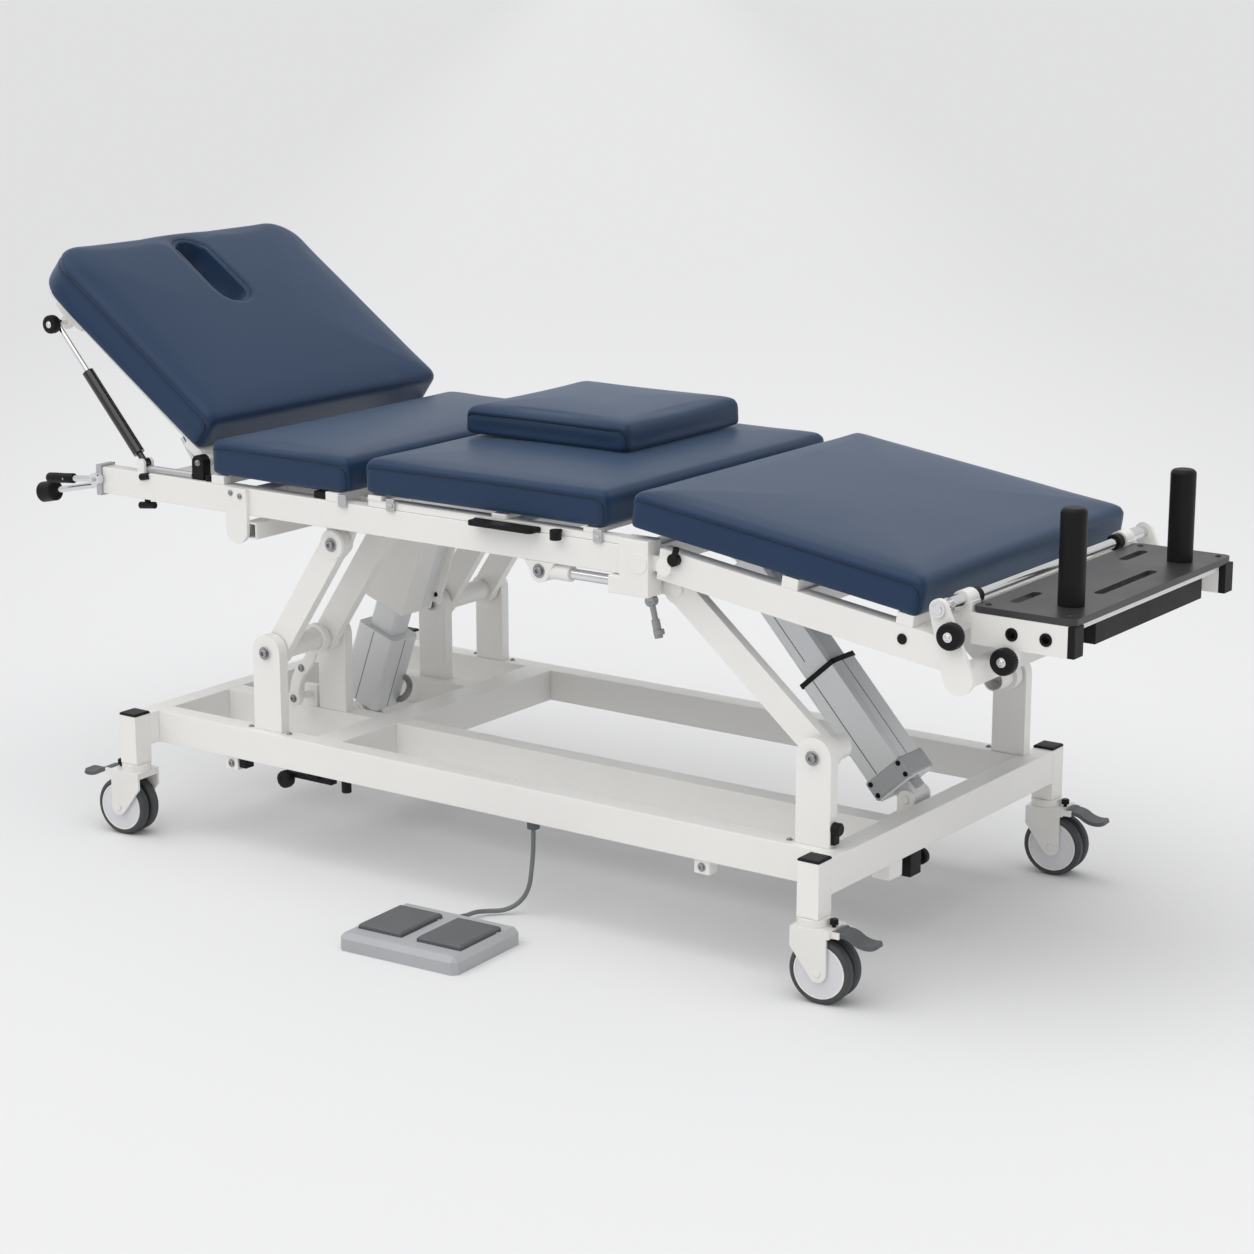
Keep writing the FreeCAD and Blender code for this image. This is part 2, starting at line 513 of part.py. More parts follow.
def foot_actuator():
    """A long housing and the tube that slides in it."""
    at = ("foot_act_x", "0", "foot_act_z")
    turn = actuator_turn("foot")
    case = rounded_bar("foot_case", "foot_box_depth", "foot_box_width", "foot_box_start", "foot_box_end")
    neck, eye, bore = lower_eye("foot")
    well = box("foot_well",
               ("foot_box_end - act_tube_start + act_tube_room", "foot_tube_width + 2 * act_tube_gap",
                "foot_tube_depth + 2 * act_tube_gap"),
               ("act_tube_start - act_tube_room + 1", "-foot_tube_width / 2 - act_tube_gap",
                "-foot_tube_depth / 2 - act_tube_gap"))
    node("foot_actuator_housing",
         cut("foot_housing", fuse("foot_housing_body", case, neck, eye), bore, well), at=at, turn=turn)
    bar = rounded_bar("foot_ram_bar", "foot_tube_depth", "foot_tube_width", "act_tube_start",
                      f"{actuator_reach('foot')} - act_top_eye_radius")
    neck, eye, bore = upper_eye("foot")
    node("foot_actuator_tube", cut("foot_ram", fuse("foot_ram_body", bar, neck, eye), bore),
         at=at, turn=turn)


def head_actuator():
    """A short housing with a fixed tube, and the painted sleeve that slides down over both."""
    at = ("head_act_x", "0", "head_act_z")
    turn = actuator_turn("head")
    case = rounded_bar("head_case", "head_box_depth", "head_box_width", "head_box_start", "head_box_end")
    neck, eye, bore = lower_eye("head")
    node("head_actuator_housing", cut("head_housing", fuse("head_housing_body", case, neck, eye), bore),
         at=at, turn=turn)
    node("head_actuator_tube",
         rounded_bar("head_tube", "head_tube_depth", "head_tube_width", "head_box_end", "head_tube_end"),
         at=at, turn=turn)
    inner_depth = "(head_box_depth + 2 * head_sleeve_gap)"
    inner_width = "(head_box_width + 2 * head_sleeve_gap)"
    length = "head_sleeve_end - head_sleeve_start"
    shell = box("sleeve_shell", (length, f"{inner_width} + 2 * head_sleeve_wall",
                                 f"{inner_depth} + 2 * head_sleeve_wall"),
                ("head_sleeve_start", f"-{inner_width} / 2 - head_sleeve_wall",
                 f"-{inner_depth} / 2 - head_sleeve_wall"))
    room = box("sleeve_room", (length, inner_width, inner_depth),
               ("head_sleeve_start - 2 * head_sleeve_wall", f"-{inner_width} / 2",
                f"-{inner_depth} / 2"))
    stalk = box("sleeve_stalk",
                (f"{actuator_reach('head')} - head_sleeve_end", "act_eye_width", "2 * act_eye_radius"),
                ("head_sleeve_end - 1", "-act_eye_width / 2", "-act_eye_radius"))
    neck, eye, bore = upper_eye("head")
    node("head_actuator_sleeve",
         cut("sleeve", fuse("sleeve_body", cut("sleeve_hollow", shell, room), stalk, neck, eye), bore),
         at=at, turn=turn)


# Top frame
def top_frame():
    """Side rails with end plates, cross members, brackets, tongues and black fittings."""
    rails = []
    plates = []
    for tag, sign in SIDES:
        low = across("top_rail_y", sign, "top_rail_width")
        rail = tube(f"top_rail_{tag}",
                    ("top_rail_foot_x - top_rail_head_x", "top_rail_width", "top_rail_height"),
                    ("top_rail_head_x", low, "top_rail_bottom"), "x")
        rails.append(rail)
        plates.append(end_plate(tag, sign))
    node("top_side_rails", *rails)
    node("rail_end_plates", *plates)

    members = []
    cross_low = f"{RAIL_TOP} - cross_height"
    for name in ("gas_cross", "head_cross", "mid_cross", "foot_cross"):
        members.append(tube(name, ("cross_width", f"2 * {RAIL_IN}", "cross_height"),
                            (f"{name}_x - cross_width / 2", f"-{RAIL_IN}", cross_low), "y"))
    for end in ("head", "foot"):
        members.append(box(f"thorax_support_{end}",
                           ("support_width", f"2 * {RAIL_OUT}", f"{SUPPORT_TOP} - {RAIL_TOP}"),
                           (f"thorax_support_{end}_x - support_width / 2", f"-{RAIL_OUT}", RAIL_TOP)))
    guide_start = "head_cross_x + cross_width / 2"
    guide_length = "mid_cross_x - head_cross_x - cross_width"
    for kind, y in (("outer", SADDLE_Y), ("inner", INNER_SADDLE_Y)):
        mid = f"({y} - saddle_thickness / 2 - side_clearance - guide_bar_thickness / 2)"
        for tag, sign in SIDES:
            members.append(box(f"guide_bar_{kind}_{tag}",
                               (guide_length, "guide_bar_thickness", "cross_height"),
                               (guide_start, across(mid, sign, "guide_bar_thickness"), cross_low)))
    inner = (f"({INNER_SADDLE_Y} - saddle_thickness / 2 - side_clearance - guide_bar_thickness)")
    members.append(tube("actuator_cross", ("cross_width", f"2 * {inner}", "cross_height"),
                        ("head_act_top_x - cross_width / 2", f"-{inner}", cross_low), "y"))
    members.append(tube("tongue_tube", ("tongue_tube", f"2 * {RAIL_OUT}", "tongue_tube"),
                        ("head_tongue_x + tongue_width / 2 - tongue_tube / 2", f"-{RAIL_OUT}",
                         "top_rail_bottom - tongue_drop - tongue_tube / 2"), "y"))
    node("top_cross_members", *members)
    top_brackets(cross_low)


def top_brackets(cross_low):
    """Arm brackets, actuator lugs, rod brackets, tongues and gas spring lugs."""
    brackets = []
    for tag, sign in SIDES:
        low = across(SADDLE_Y, sign, "saddle_thickness")
        hanger = box(f"arm_bracket_{tag}_plate",
                     ("foot_top_x - foot_cross_x + cross_width / 2", "saddle_thickness",
                      f"{cross_low} - foot_top_z + arm_boss_radius - 8"),
                     ("foot_cross_x - cross_width / 2", low, "foot_top_z - arm_boss_radius + 8"))
        boss = rod(f"arm_bracket_{tag}_boss", "arm_boss_radius", "saddle_thickness",
                   ("foot_top_x", low, "foot_top_z"), "y")
        stud = headed_pin(f"arm_bracket_{tag}_stud", "foot_top_x", "foot_top_z", sign,
                          f"{ARM_OUT} + face_clearance", SADDLE_Y)
        brackets.append(fuse(f"arm_bracket_{tag}", hanger, boss, stud))
        brackets.append(rod_bracket(tag, sign))
        brackets.extend(gas_lugs(tag, sign))
        tongue_low, _ = spanning(sign, RAIL_OUT, f"{RAIL_OUT} + tongue_thickness")
        blade = box(f"tongue_{tag}_blade",
                    ("tongue_width", "tongue_thickness", "top_rail_height + tongue_drop"),
                    ("head_tongue_x - tongue_width / 2", tongue_low,
                     "top_rail_bottom - tongue_drop"))
        tip = rod(f"tongue_{tag}_tip", "tongue_width / 2", "tongue_thickness",
                  ("head_tongue_x", tongue_low, "top_rail_bottom - tongue_drop"), "y")
        brackets.append(fuse(f"tongue_{tag}", blade, tip))
    for end in ("head", "foot"):
        brackets.extend(top_lugs(end, cross_low))
    node("top_brackets", *brackets)


def top_lugs(end, cross_low):
    """Two cheeks and a pin over an actuator's upper eye."""
    span = "(act_eye_width / 2 + face_clearance)"
    pieces = []
    for tag, sign in SIDES:
        low = f"{sign} * ({span} + lug_thickness / 2) - lug_thickness / 2"
        cheek = box(f"{end}_top_lug_{tag}_plate",
                    ("2 * act_eye_radius", "lug_thickness", f"{cross_low} - {end}_act_top_z"),
                    (f"{end}_act_top_x - act_eye_radius", low, f"{end}_act_top_z"))
        tip = rod(f"{end}_top_lug_{tag}_tip", "act_eye_radius", "lug_thickness",
                  (f"{end}_act_top_x", low, f"{end}_act_top_z"), "y")
        pieces.extend((cheek, tip))
    pin = rod(f"{end}_top_pin", "act_pin_radius", f"2 * ({span} + lug_thickness)",
              (f"{end}_act_top_x", f"-({span} + lug_thickness)", f"{end}_act_top_z"), "y")
    return [fuse(f"{end}_top_lugs", *pieces, pin)]


def rod_bracket(tag, sign):
    """A block under the rail with the sleeve that the carriage's guide rod runs in."""
    low = across("top_rail_y", sign, "top_rail_width")
    axis_y = f"{sign} * top_rail_y"
    cheek = doc.addObject("Part::Wedge", f"rod_cheek_{tag}")
    bind(cheek, Xmin="-rod_bracket_radius", Xmax="rod_bracket_radius",
         X2min="-rod_bracket_length", X2max="rod_bracket_length",
         Ymin="0", Ymax="top_rail_bottom - guide_rod_z",
         Zmin="-top_rail_width / 2", Zmax="top_rail_width / 2",
         Z2min="-top_rail_width / 2", Z2max="top_rail_width / 2")
    cheek.Placement = FreeCAD.Placement(Vector(), FreeCAD.Rotation(Vector(1, 0, 0), 90))
    place(cheek, ("rod_bracket_x", axis_y, "guide_rod_z"))
    knee = rod(f"rod_knee_{tag}", "rod_bracket_radius", "top_rail_width",
               ("rod_bracket_x", low, "guide_rod_z"), "y")
    sleeve = rod(f"rod_sleeve_{tag}", "rod_sleeve_radius", "rod_sleeve_length",
                 ("rod_bracket_x", axis_y, "guide_rod_z"), "x")
    bore = rod(f"rod_bore_{tag}", "guide_rod_radius + pin_clearance",
               "2 * rod_bracket_length + rod_sleeve_length",
               ("rod_bracket_x - 2 * rod_bracket_length", axis_y, "guide_rod_z"), "x")
    seat = box(f"rod_seat_{tag}",
               ("4 * rod_bracket_radius", "2 * top_rail_width", "2 * rod_bracket_radius"),
               ("rod_bracket_x - 2 * rod_bracket_radius", f"{low} - top_rail_width / 2",
                "top_rail_bottom"))
    body = fuse(f"rod_bracket_{tag}_body", cheek, knee, sleeve)
    return cut(f"rod_bracket_{tag}", body, bore, seat)


def gas_lugs(tag, sign):
    """Two ears on the rail and the pin of the gas spring's lower eye."""
    ears = []
    for name, side in (("out", 1), ("in", -1)):
        mid = f"({sign} * top_rail_y + {side} * (gas_eye_width / 2 + side_clearance / 2 + 3))"
        ear = box(f"gas_ear_{tag}_{name}_plate", ("2 * gas_eye_radius", "6", f"gas_z - {RAIL_TOP}"),
                  ("gas_x - gas_eye_radius", f"{mid} - 3", RAIL_TOP))
        crown = rod(f"gas_ear_{tag}_{name}_crown", "gas_eye_radius", "6",
                    ("gas_x", f"{mid} - 3", "gas_z"), "y")
        ears.extend((ear, crown))
    length = "gas_eye_width + side_clearance + 12"
    pin = rod(f"gas_pin_{tag}", "gas_pin_radius", length,
              ("gas_x", f"{sign} * top_rail_y - ({length}) / 2", "gas_z"), "y")
    return [fuse(f"gas_ears_{tag}", *ears, pin)]


# Head-end lever and pull knob, both on the near rail's end plate
HEAD_END = "(top_rail_head_x - end_plate_thickness)"
LEVER_SEAT = "(top_rail_y + top_rail_width / 2 + end_plate_margin)"
LEVER_X = "(top_rail_head_x + head_lever_x)"


def pull_rod(name, radius, reach_out, reach_in):
    """A bar through the near end plate that slopes down outwards."""
    obj = rod(name, radius, f"{reach_out} + {reach_in}", ("0", "0", "0"), "x")
    slope = FreeCAD.Rotation(Vector(0, 1, 0), -S.head_rod_tilt)
    obj.Placement = FreeCAD.Placement(Vector(), slope * AXIS_TURN["x"])
    place(obj, (f"{HEAD_END} - ({reach_out}) * cos(head_rod_tilt)", "-top_rail_y",
                f"head_rod_z - ({reach_out}) * sin(head_rod_tilt)"))
    return obj


def end_plate(tag, sign):
    """The plate that closes a rail's head end; the near one carries the lever and the rod."""
    low = across("top_rail_y", sign, "top_rail_width")
    plate = box(f"end_plate_{tag}_body",
                ("end_plate_thickness", "top_rail_width + 2 * end_plate_margin",
                 "top_rail_height + 2 * end_plate_margin"),
                (HEAD_END, f"{low} - end_plate_margin", "top_rail_bottom - end_plate_margin"))
    if sign > 0:
        return plate
    bore = pull_rod("pull_rod_bore", "head_rod_radius + pin_clearance", "20", "40")
    length = "2 * head_lever_radius + 2 * face_clearance + 2"
    pin = rod("lever_pin", "gas_pin_radius", f"{length} + 1",
              (LEVER_X, f"-{LEVER_SEAT} - ({length})", "head_lever_z"), "y")
    return fuse(f"end_plate_{tag}", cut(f"end_plate_{tag}_bored", plate, bore), pin)


def head_controls():
    """A pull knob on a sloping rod and a hinged lever with a grip."""
    bar = pull_rod("pull_bar", "head_rod_radius", "head_rod_length", "head_rod_inside")
    ball = rod("pull_knob_body", "head_knob_radius", "head_knob_length", ("0", "0", "0"), "x")
    ball = edged("pull_knob_edge", ball, 5, lambda edge: len(edge.Vertexes) == 1)
    slope = FreeCAD.Rotation(Vector(0, 1, 0), -S.head_rod_tilt)
    ball.Placement = FreeCAD.Placement(Vector(), slope)
    reach = "(head_rod_length + head_knob_length - 2)"
    place(ball, (f"{HEAD_END} - {reach} * cos(head_rod_tilt)", "-top_rail_y",
                 f"head_rod_z - {reach} * sin(head_rod_tilt)"))
    node("head_pull_knob", fuse("pull_knob", bar, ball))
    arm = rod("lever_arm", "head_lever_radius", "head_lever_length / 2",
              ("-head_lever_length / 2", "0", "0"), "x")
    grip = rod("lever_grip", "head_grip_radius", "head_lever_length / 2",
               ("-head_lever_length", "0", "0"), "x")
    grip = edged("lever_grip_edge", grip, 3, lambda edge: len(edge.Vertexes) == 1)
    hub = rod("lever_hub", "2 * head_lever_radius", "2 * head_lever_radius",
              ("0", "-head_lever_radius", "0"), "y")
    bore = rod("lever_bore", "gas_pin_radius + pin_clearance", "2 * head_lever_radius + 2",
               ("0", "-head_lever_radius - 1", "0"), "y")
    node("head_lever", cut("lever", fuse("lever_body", arm, grip, hub), bore),
         at=(LEVER_X, f"-{LEVER_SEAT} - face_clearance - head_lever_radius", "head_lever_z"),
         turn=-S.head_lever_tilt)


# Back section, drawn flat about its hinge and turned up
def back_section():
    """Frame bars with hinge lugs, the pad with its face slot, and the gas springs."""
    at = ("back_hinge_x", "0", "back_hinge_z")
    low = "back_pad_lift - pad_gap - back_bar_height"
    pieces = []
    for tag, sign in SIDES:
        bar_y = across("back_bar_y", sign, "back_bar_width")
        bar = box(f"back_bar_{tag}", ("back_bar_length", "back_bar_width", "back_bar_height"),
                  ("-back_pad_start - back_bar_length", bar_y, low))
        lug_low, _ = spanning(sign, f"{RAIL_IN} - hinge_lug_thickness", RAIL_IN)
        heel_low, heel_length = spanning(sign, "back_bar_y - back_bar_width / 2", RAIL_IN)
        heel = box(f"back_heel_{tag}", ("3 * hinge_pin_radius + 22", heel_length, "back_bar_height"),
                   ("-back_pad_start - 3 * hinge_pin_radius - 22", heel_low, low))
        lug = rod(f"back_lug_{tag}", "2 * hinge_pin_radius", "hinge_lug_thickness",
                  ("0", lug_low, "0"), "y")
        link = box(f"back_link_{tag}", ("back_pad_start + 20", "hinge_lug_thickness",
                                        "2 * hinge_pin_radius"),
                   ("-back_pad_start - 20", lug_low, "-hinge_pin_radius"))
        pin_low, pin_length = spanning(sign, f"{RAIL_IN} - hinge_lug_thickness / 2",
                                       f"{RAIL_IN} + hinge_house_thickness")
        pin = rod(f"back_pin_{tag}", "hinge_pin_radius", pin_length, ("0", pin_low, "0"), "y")
        pieces.append(fuse(f"back_side_{tag}", bar, heel, lug, link, pin))
        pieces.append(gas_bracket(tag, sign))
    for name, place_x in (("low", "back_pad_start + 40"),
                          ("high", "back_pad_start + back_bar_length - 40")):
        pieces.append(box(f"back_cross_{name}",
                          ("back_bar_width", "2 * back_bar_y - back_bar_width", "back_bar_height"),
                          (f"-({place_x}) - back_bar_width / 2",
                           "back_bar_width / 2 - back_bar_y", low)))
    node("back_frame", *pieces, at=at, turn=S.back_angle)
    node("back_pad", back_pad(), at=at, turn=S.back_angle)
    houses = []
    for tag, sign in SIDES:
        house_low, _ = spanning(sign, RAIL_IN + " + side_clearance / 2",
                                RAIL_IN + " + side_clearance / 2 + hinge_house_thickness")
        post = box(f"hinge_house_{tag}_post",
                   ("hinge_house_width", "hinge_house_thickness", f"back_hinge_z - {RAIL_TOP}"),
                   ("back_hinge_x - hinge_house_width / 2", house_low, RAIL_TOP))
        crown = rod(f"hinge_house_{tag}_crown", "hinge_house_width / 2", "hinge_house_thickness",
                    ("back_hinge_x", house_low, "back_hinge_z"), "y")
        bore = rod(f"hinge_house_{tag}_bore", "hinge_pin_radius + pin_clearance",
                   "hinge_house_thickness + 2",
                   ("back_hinge_x", f"{house_low} - 1", "back_hinge_z"), "y")
        houses.append(cut(f"hinge_house_{tag}", fuse(f"hinge_house_{tag}_body", post, crown), bore))
    node("back_hinge_housings", *houses)


def gas_bracket(tag, sign):
    """A plate that hangs from a back bar to the gas spring's upper end."""
    x = -S.gas_reach
    z = -S.gas_drop
    thickness = S.gas_bracket_thickness
    y_in = S.back_bar_y + S.back_bar_width / 2
    y_low = y_in if sign > 0 else -y_in - thickness
    bar_low = S.back_pad_lift - S.pad_gap - S.back_bar_height
    bar_top = S.back_pad_lift - S.pad_gap
    radius = S.gas_eye_radius + 4
    side = math.radians(25)
    points = [Vector(x - 3 * radius, y_low, bar_top), Vector(x - 3 * radius, y_low, bar_low),
              Vector(x - radius * math.cos(side), y_low, z + radius * math.sin(side)),
              Vector(x, y_low, z - radius),
              Vector(x + radius * math.cos(side), y_low, z + radius * math.sin(side)),
              Vector(x + 3 * radius, y_low, bar_low), Vector(x + 3 * radius, y_low, bar_top)]
    edges = [Part.makeLine(points[0], points[1]), Part.makeLine(points[1], points[2]),
             Part.Arc(points[2], points[3], points[4]).toShape(),
             Part.makeLine(points[4], points[5]), Part.makeLine(points[5], points[6]),
             Part.makeLine(points[6], points[0])]
    face = Part.Face(Part.Wire(edges))
    return solid_of(f"gas_bracket_{tag}", face.extrude(Vector(0, thickness, 0)))


def gas_springs():
    """Cylinders on the rails and rods that reach the back section's brackets."""
    reach = "sqrt((gas_top_x - gas_x)^2 + (gas_top_z - gas_z)^2)"
    turn = -math.degrees(math.atan2(S.gas_top_z - S.gas_z, S.gas_top_x - S.gas_x))
    at = ("gas_x", "0", "gas_z")
    cylinders = []
    rods = []
    knobs = []
    for tag, sign in SIDES:
        y = f"{sign} * top_rail_y"
        eye_low = f"{y} - gas_eye_width / 2"
        eye = rod(f"gas_eye_{tag}", "gas_eye_radius", "gas_eye_width", ("0", eye_low, "0"), "y")
        neck = rod(f"gas_neck_{tag}", "gas_eye_width / 2", "gas_start", ("0", y, "0"), "x")
        shell = rod(f"gas_shell_{tag}", "gas_radius", "gas_length", ("gas_start", y, "0"), "x")
        pin_bore = rod(f"gas_pin_bore_{tag}", "gas_pin_radius + pin_clearance", "gas_eye_width + 2",
                       ("0", f"{eye_low} - 1", "0"), "y")
        room = rod(f"gas_room_{tag}", "gas_rod_radius + gas_rod_play", "gas_length",
                   ("gas_start + 16", y, "0"), "x")
        cylinders.append(cut(f"gas_cylinder_{tag}", fuse(f"gas_cylinder_{tag}_body", eye, neck, shell),
                             pin_bore, room))
        bar = rod(f"gas_rod_bar_{tag}", "gas_rod_radius", f"{reach} - gas_rod_start",
                  ("gas_rod_start", y, "0"), "x")
        head = rod(f"gas_rod_eye_{tag}", "gas_eye_radius", "gas_eye_width", (reach, eye_low, "0"), "y")
        rods.append(fuse(f"gas_rod_{tag}", bar, head))
        knob_low, _ = spanning(sign, "top_rail_y + gas_eye_width / 2",
                               "top_rail_y + gas_eye_width / 2 + gas_knob_length")
        knobs.append(rod(f"gas_knob_{tag}", "gas_knob_radius", "gas_knob_length",
                         (reach, knob_low, "0"), "y"))
    node("gas_cylinders", *cylinders, at=at, turn=turn)
    node("gas_rods", *rods, at=at, turn=turn)
    node("gas_knobs", *knobs, at=at, turn=turn)


# Pads: closed forms with a crown, drawn-in sides and round corners
def pad_outline(x0, x1, half, z, head, foot, draw):
    """A rectangle with round corners at its two ends, whose sides curve inwards between them."""
    head_off = head * (1 - math.sqrt(0.5))
    foot_off = foot * (1 - math.sqrt(0.5))
    mid_x = (x0 + head + x1 - foot) / 2
    corners = [
        (Vector(x1 - foot, -half, z), Vector(x1 - foot_off, -half + foot_off, z),
         Vector(x1, -half + foot, z), Vector(x1 - draw, 0, z)),
        (Vector(x1, half - foot, z), Vector(x1 - foot_off, half - foot_off, z),
         Vector(x1 - foot, half, z), Vector(mid_x, half - draw, z)),
        (Vector(x0 + head, half, z), Vector(x0 + head_off, half - head_off, z),
         Vector(x0, half - head, z), Vector(x0 + draw, 0, z)),
        (Vector(x0, -half + head, z), Vector(x0 + head_off, -half + head_off, z),
         Vector(x0 + head, -half, z), Vector(mid_x, -half + draw, z)),
    ]
    edges = []
    for index, (start, middle, stop, pull) in enumerate(corners):
        following = corners[(index + 1) % 4][0]
        edges.append(Part.Arc(start, middle, stop).toShape())
        edges.append(Part.Arc(stop, pull, following).toShape())
    return Part.Wire(edges)


def pad_solid(x0, x1, half, bottom, thickness, head, foot, crown):
    """A pad lofted from its base through its full sides to its crowned top."""
    edge = S.pad_edge
    inset_crown = min(x1 - x0, 2 * half) / 4
    levels = [(0, edge / 3), (edge / 2, 0), (thickness - edge, 0), (thickness - edge / 4, edge / 3),
              (thickness, edge), (thickness + crown, inset_crown)]
    wires = []
    for rise, inset in levels:
        ends = [max(corner - inset / 2, 2 * S.pad_draw) for corner in (head, foot)]
        wires.append(pad_outline(x0 + inset, x1 - inset, half - inset, bottom + rise, *ends, S.pad_draw))
    return Part.makeLoft(wires, True, True)


def back_pad():
    """The back pad in its flat frame, with the face slot through it."""
    start = -S.back_pad_start - S.back_pad_length
    pad = pad_solid(start, -S.back_pad_start, S.back_half_width, S.back_pad_lift,
                    S.back_pad_thickness - S.pad_crown, S.back_corner, S.pad_corner, S.pad_crown)
    radius = S.face_slot_width / 2
    x_low = -S.back_pad_start - S.face_slot_from - S.face_slot_length + radius
    x_high = -S.back_pad_start - S.face_slot_from - radius
    below = S.back_pad_lift - S.pad_edge
    height = S.back_pad_thickness + 3 * S.pad_edge
    slot = Part.makeBox(x_high - x_low, 2 * radius, height, Vector(x_low, -radius, below))
    for x in (x_low, x_high):
        slot = slot.fuse(Part.makeCylinder(radius, height, Vector(x, 0, below)))
    return solid_of("back_cushion", pad.cut(slot.removeSplitter()))


def flat_pads():
    """The thorax pad, the pelvic pad and the loose cushion that lies on it."""
    body = S.pad_thickness - S.pad_crown
    node("thorax_pad", solid_of("thorax_form", pad_solid(
        S.thorax_head_x, S.thorax_foot_x, S.pad_half_width, S.thorax_bottom, body, S.pad_corner,
        S.pad_corner, S.pad_crown)))
    node("pelvic_pad", solid_of("pelvic_form", pad_solid(
        S.pelvic_head_x, S.pelvic_foot_x, S.pad_half_width, S.pelvic_bottom, body, S.pad_corner,
        S.pad_corner, S.pad_crown)))
    cushion = pad_solid(S.cushion_x - S.cushion_length / 2, S.cushion_x + S.cushion_length / 2,
                        S.cushion_width / 2, S.pelvic_bottom + S.pad_thickness + S.pad_gap,
                        S.cushion_height - S.pad_crown, S.pad_corner, S.pad_corner, S.pad_crown)
    cushion.translate(Vector(0, S.cushion_y, 0))
    node("loose_cushion", solid_of("cushion_form", cushion))


# Sliding pelvic carriage
def carriage():
    """Runners on the rails, knee blocks, guide rods, the release handle and the clamp lever."""
    runners = []
    blocks = []
    rods = []
    runner_low = f"({RAIL_TOP} + face_clearance)"
    for tag, sign in SIDES:
        runners.append(box(f"runner_{tag}",
                           ("block_head_x - runner_head_x", "runner_width", "runner_thickness"),
                           ("runner_head_x", across("top_rail_y", sign, "runner_width"), runner_low)))
        blocks.append(knee_block(tag, sign))
        rods.append(rod(f"guide_rod_{tag}", "guide_rod_radius", "block_low_head_x - guide_rod_head_x",
                        ("guide_rod_head_x", f"{sign} * top_rail_y", "guide_rod_z"), "x"))
    bar_low = f"{runner_low} + runner_thickness"
    for name, x in (("head", "runner_head_x"), ("mid", "(runner_head_x + block_head_x) / 2"),
                    ("foot", "pelvic_foot_x - support_width - 20")):
        runners.append(box(f"pelvic_bar_{name}",
                           ("support_width", "2 * top_rail_y + runner_width",
                            f"pelvic_bottom - pad_gap - ({bar_low})"),
                           (x, "-top_rail_y - runner_width / 2", bar_low)))
    node("pelvic_runners", *runners)
    node("knee_blocks", *blocks)
    node("guide_rods", *rods)

    barrel_y = "(-top_rail_y - runner_width / 2 - face_clearance - handle_thickness / 2)"
    barrel_z = f"({runner_low} + handle_thickness / 2)"
    barrel = rod("handle_barrel", "handle_thickness / 2", "handle_length",
                 ("handle_x - handle_length / 2", barrel_y, barrel_z), "x")
    paddle = box("handle_paddle", ("handle_length", "handle_width", "0.8 * handle_thickness"),
                 ("handle_x - handle_length / 2", f"{barrel_y} - handle_width",
                  f"{barrel_z} - 0.4 * handle_thickness"))
    rim = S.top_rail_y + S.runner_width / 2 + S.handle_width / 2
    paddle = edged("handle_round", paddle, 0.4 * S.handle_width,
                   lambda edge: upright(edge) and edge.CenterOfMass.y < -rim, "Part::Fillet")
    node("release_handle", fuse("handle_body", barrel, paddle))

    stem = rod("clamp_stem", "clamp_lever_radius - 2", "clamp_lever_length / 2", ("0", "0", "0"), "x")
    grip = rod("clamp_grip", "clamp_lever_radius", "clamp_lever_length / 2",
               ("clamp_lever_length / 2", "0", "0"), "x")
    hub = rod("clamp_hub", "clamp_lever_radius + 2", "2 * clamp_lever_radius",
              ("0", "-clamp_lever_radius", "0"), "y")
    node("clamp_lever", fuse("clamp", stem, grip, hub),
         at=("clamp_lever_x", "-top_rail_y",
             "block_bottom - face_clearance - clamp_lever_radius - 2"),
         turn=90 - S.clamp_lever_lean)


def knee_block(tag, sign):
    """A sleeve round the rail's end, open inwards, with the hinge tongue of the leg section."""
    out_low, out_length = spanning(sign, f"{RAIL_OUT} + block_gap",
                                   f"{RAIL_OUT} + block_gap + block_wall")
    full_low, full_length = spanning(sign, f"{RAIL_IN} + block_gap",
                                     f"{RAIL_OUT} + block_gap + block_wall")
    length = "block_foot_x - block_head_x"
    height = "block_top - block_bottom"
    wall = box(f"block_wall_{tag}", (length, out_length, height), ("block_head_x", out_low,
                                                                   "block_bottom"))
    roof = box(f"block_roof_{tag}",
               (length, full_length, f"block_top - {RAIL_TOP} - block_gap"),
               ("block_head_x", full_low, f"{RAIL_TOP} + block_gap"))
    under = box(f"block_under_{tag}",
                ("block_foot_x - block_low_head_x", full_length,
                 "top_rail_bottom - block_gap - block_bottom"),
                ("block_low_head_x", full_low, "block_bottom"))
    front = box(f"block_front_{tag}",
                ("block_foot_x - top_rail_foot_x - block_gap", full_length, height),
                ("top_rail_foot_x + block_gap", full_low, "block_bottom"))
    mid_low = across("top_rail_y", sign, "knee_tongue_thickness")
    tongue = box(f"knee_tongue_{tag}",
                 ("leg_hinge_x - block_foot_x + 1", "knee_tongue_thickness", "knee_tongue_height"),
                 ("block_foot_x - 1", mid_low, "leg_hinge_z - knee_tongue_height / 2"))
    tip = rod(f"knee_tip_{tag}", "knee_tongue_height / 2", "knee_tongue_thickness",
              ("leg_hinge_x", mid_low, "leg_hinge_z"), "y")
    bore = rod(f"knee_bore_{tag}", "leg_pin_radius + pin_clearance", "knee_tongue_thickness + 2",
               ("leg_hinge_x", f"{mid_low} - 1", "leg_hinge_z"), "y")
    return cut(f"knee_block_{tag}",
               fuse(f"knee_block_{tag}_body", wall, roof, under, front, tongue, tip), bore)


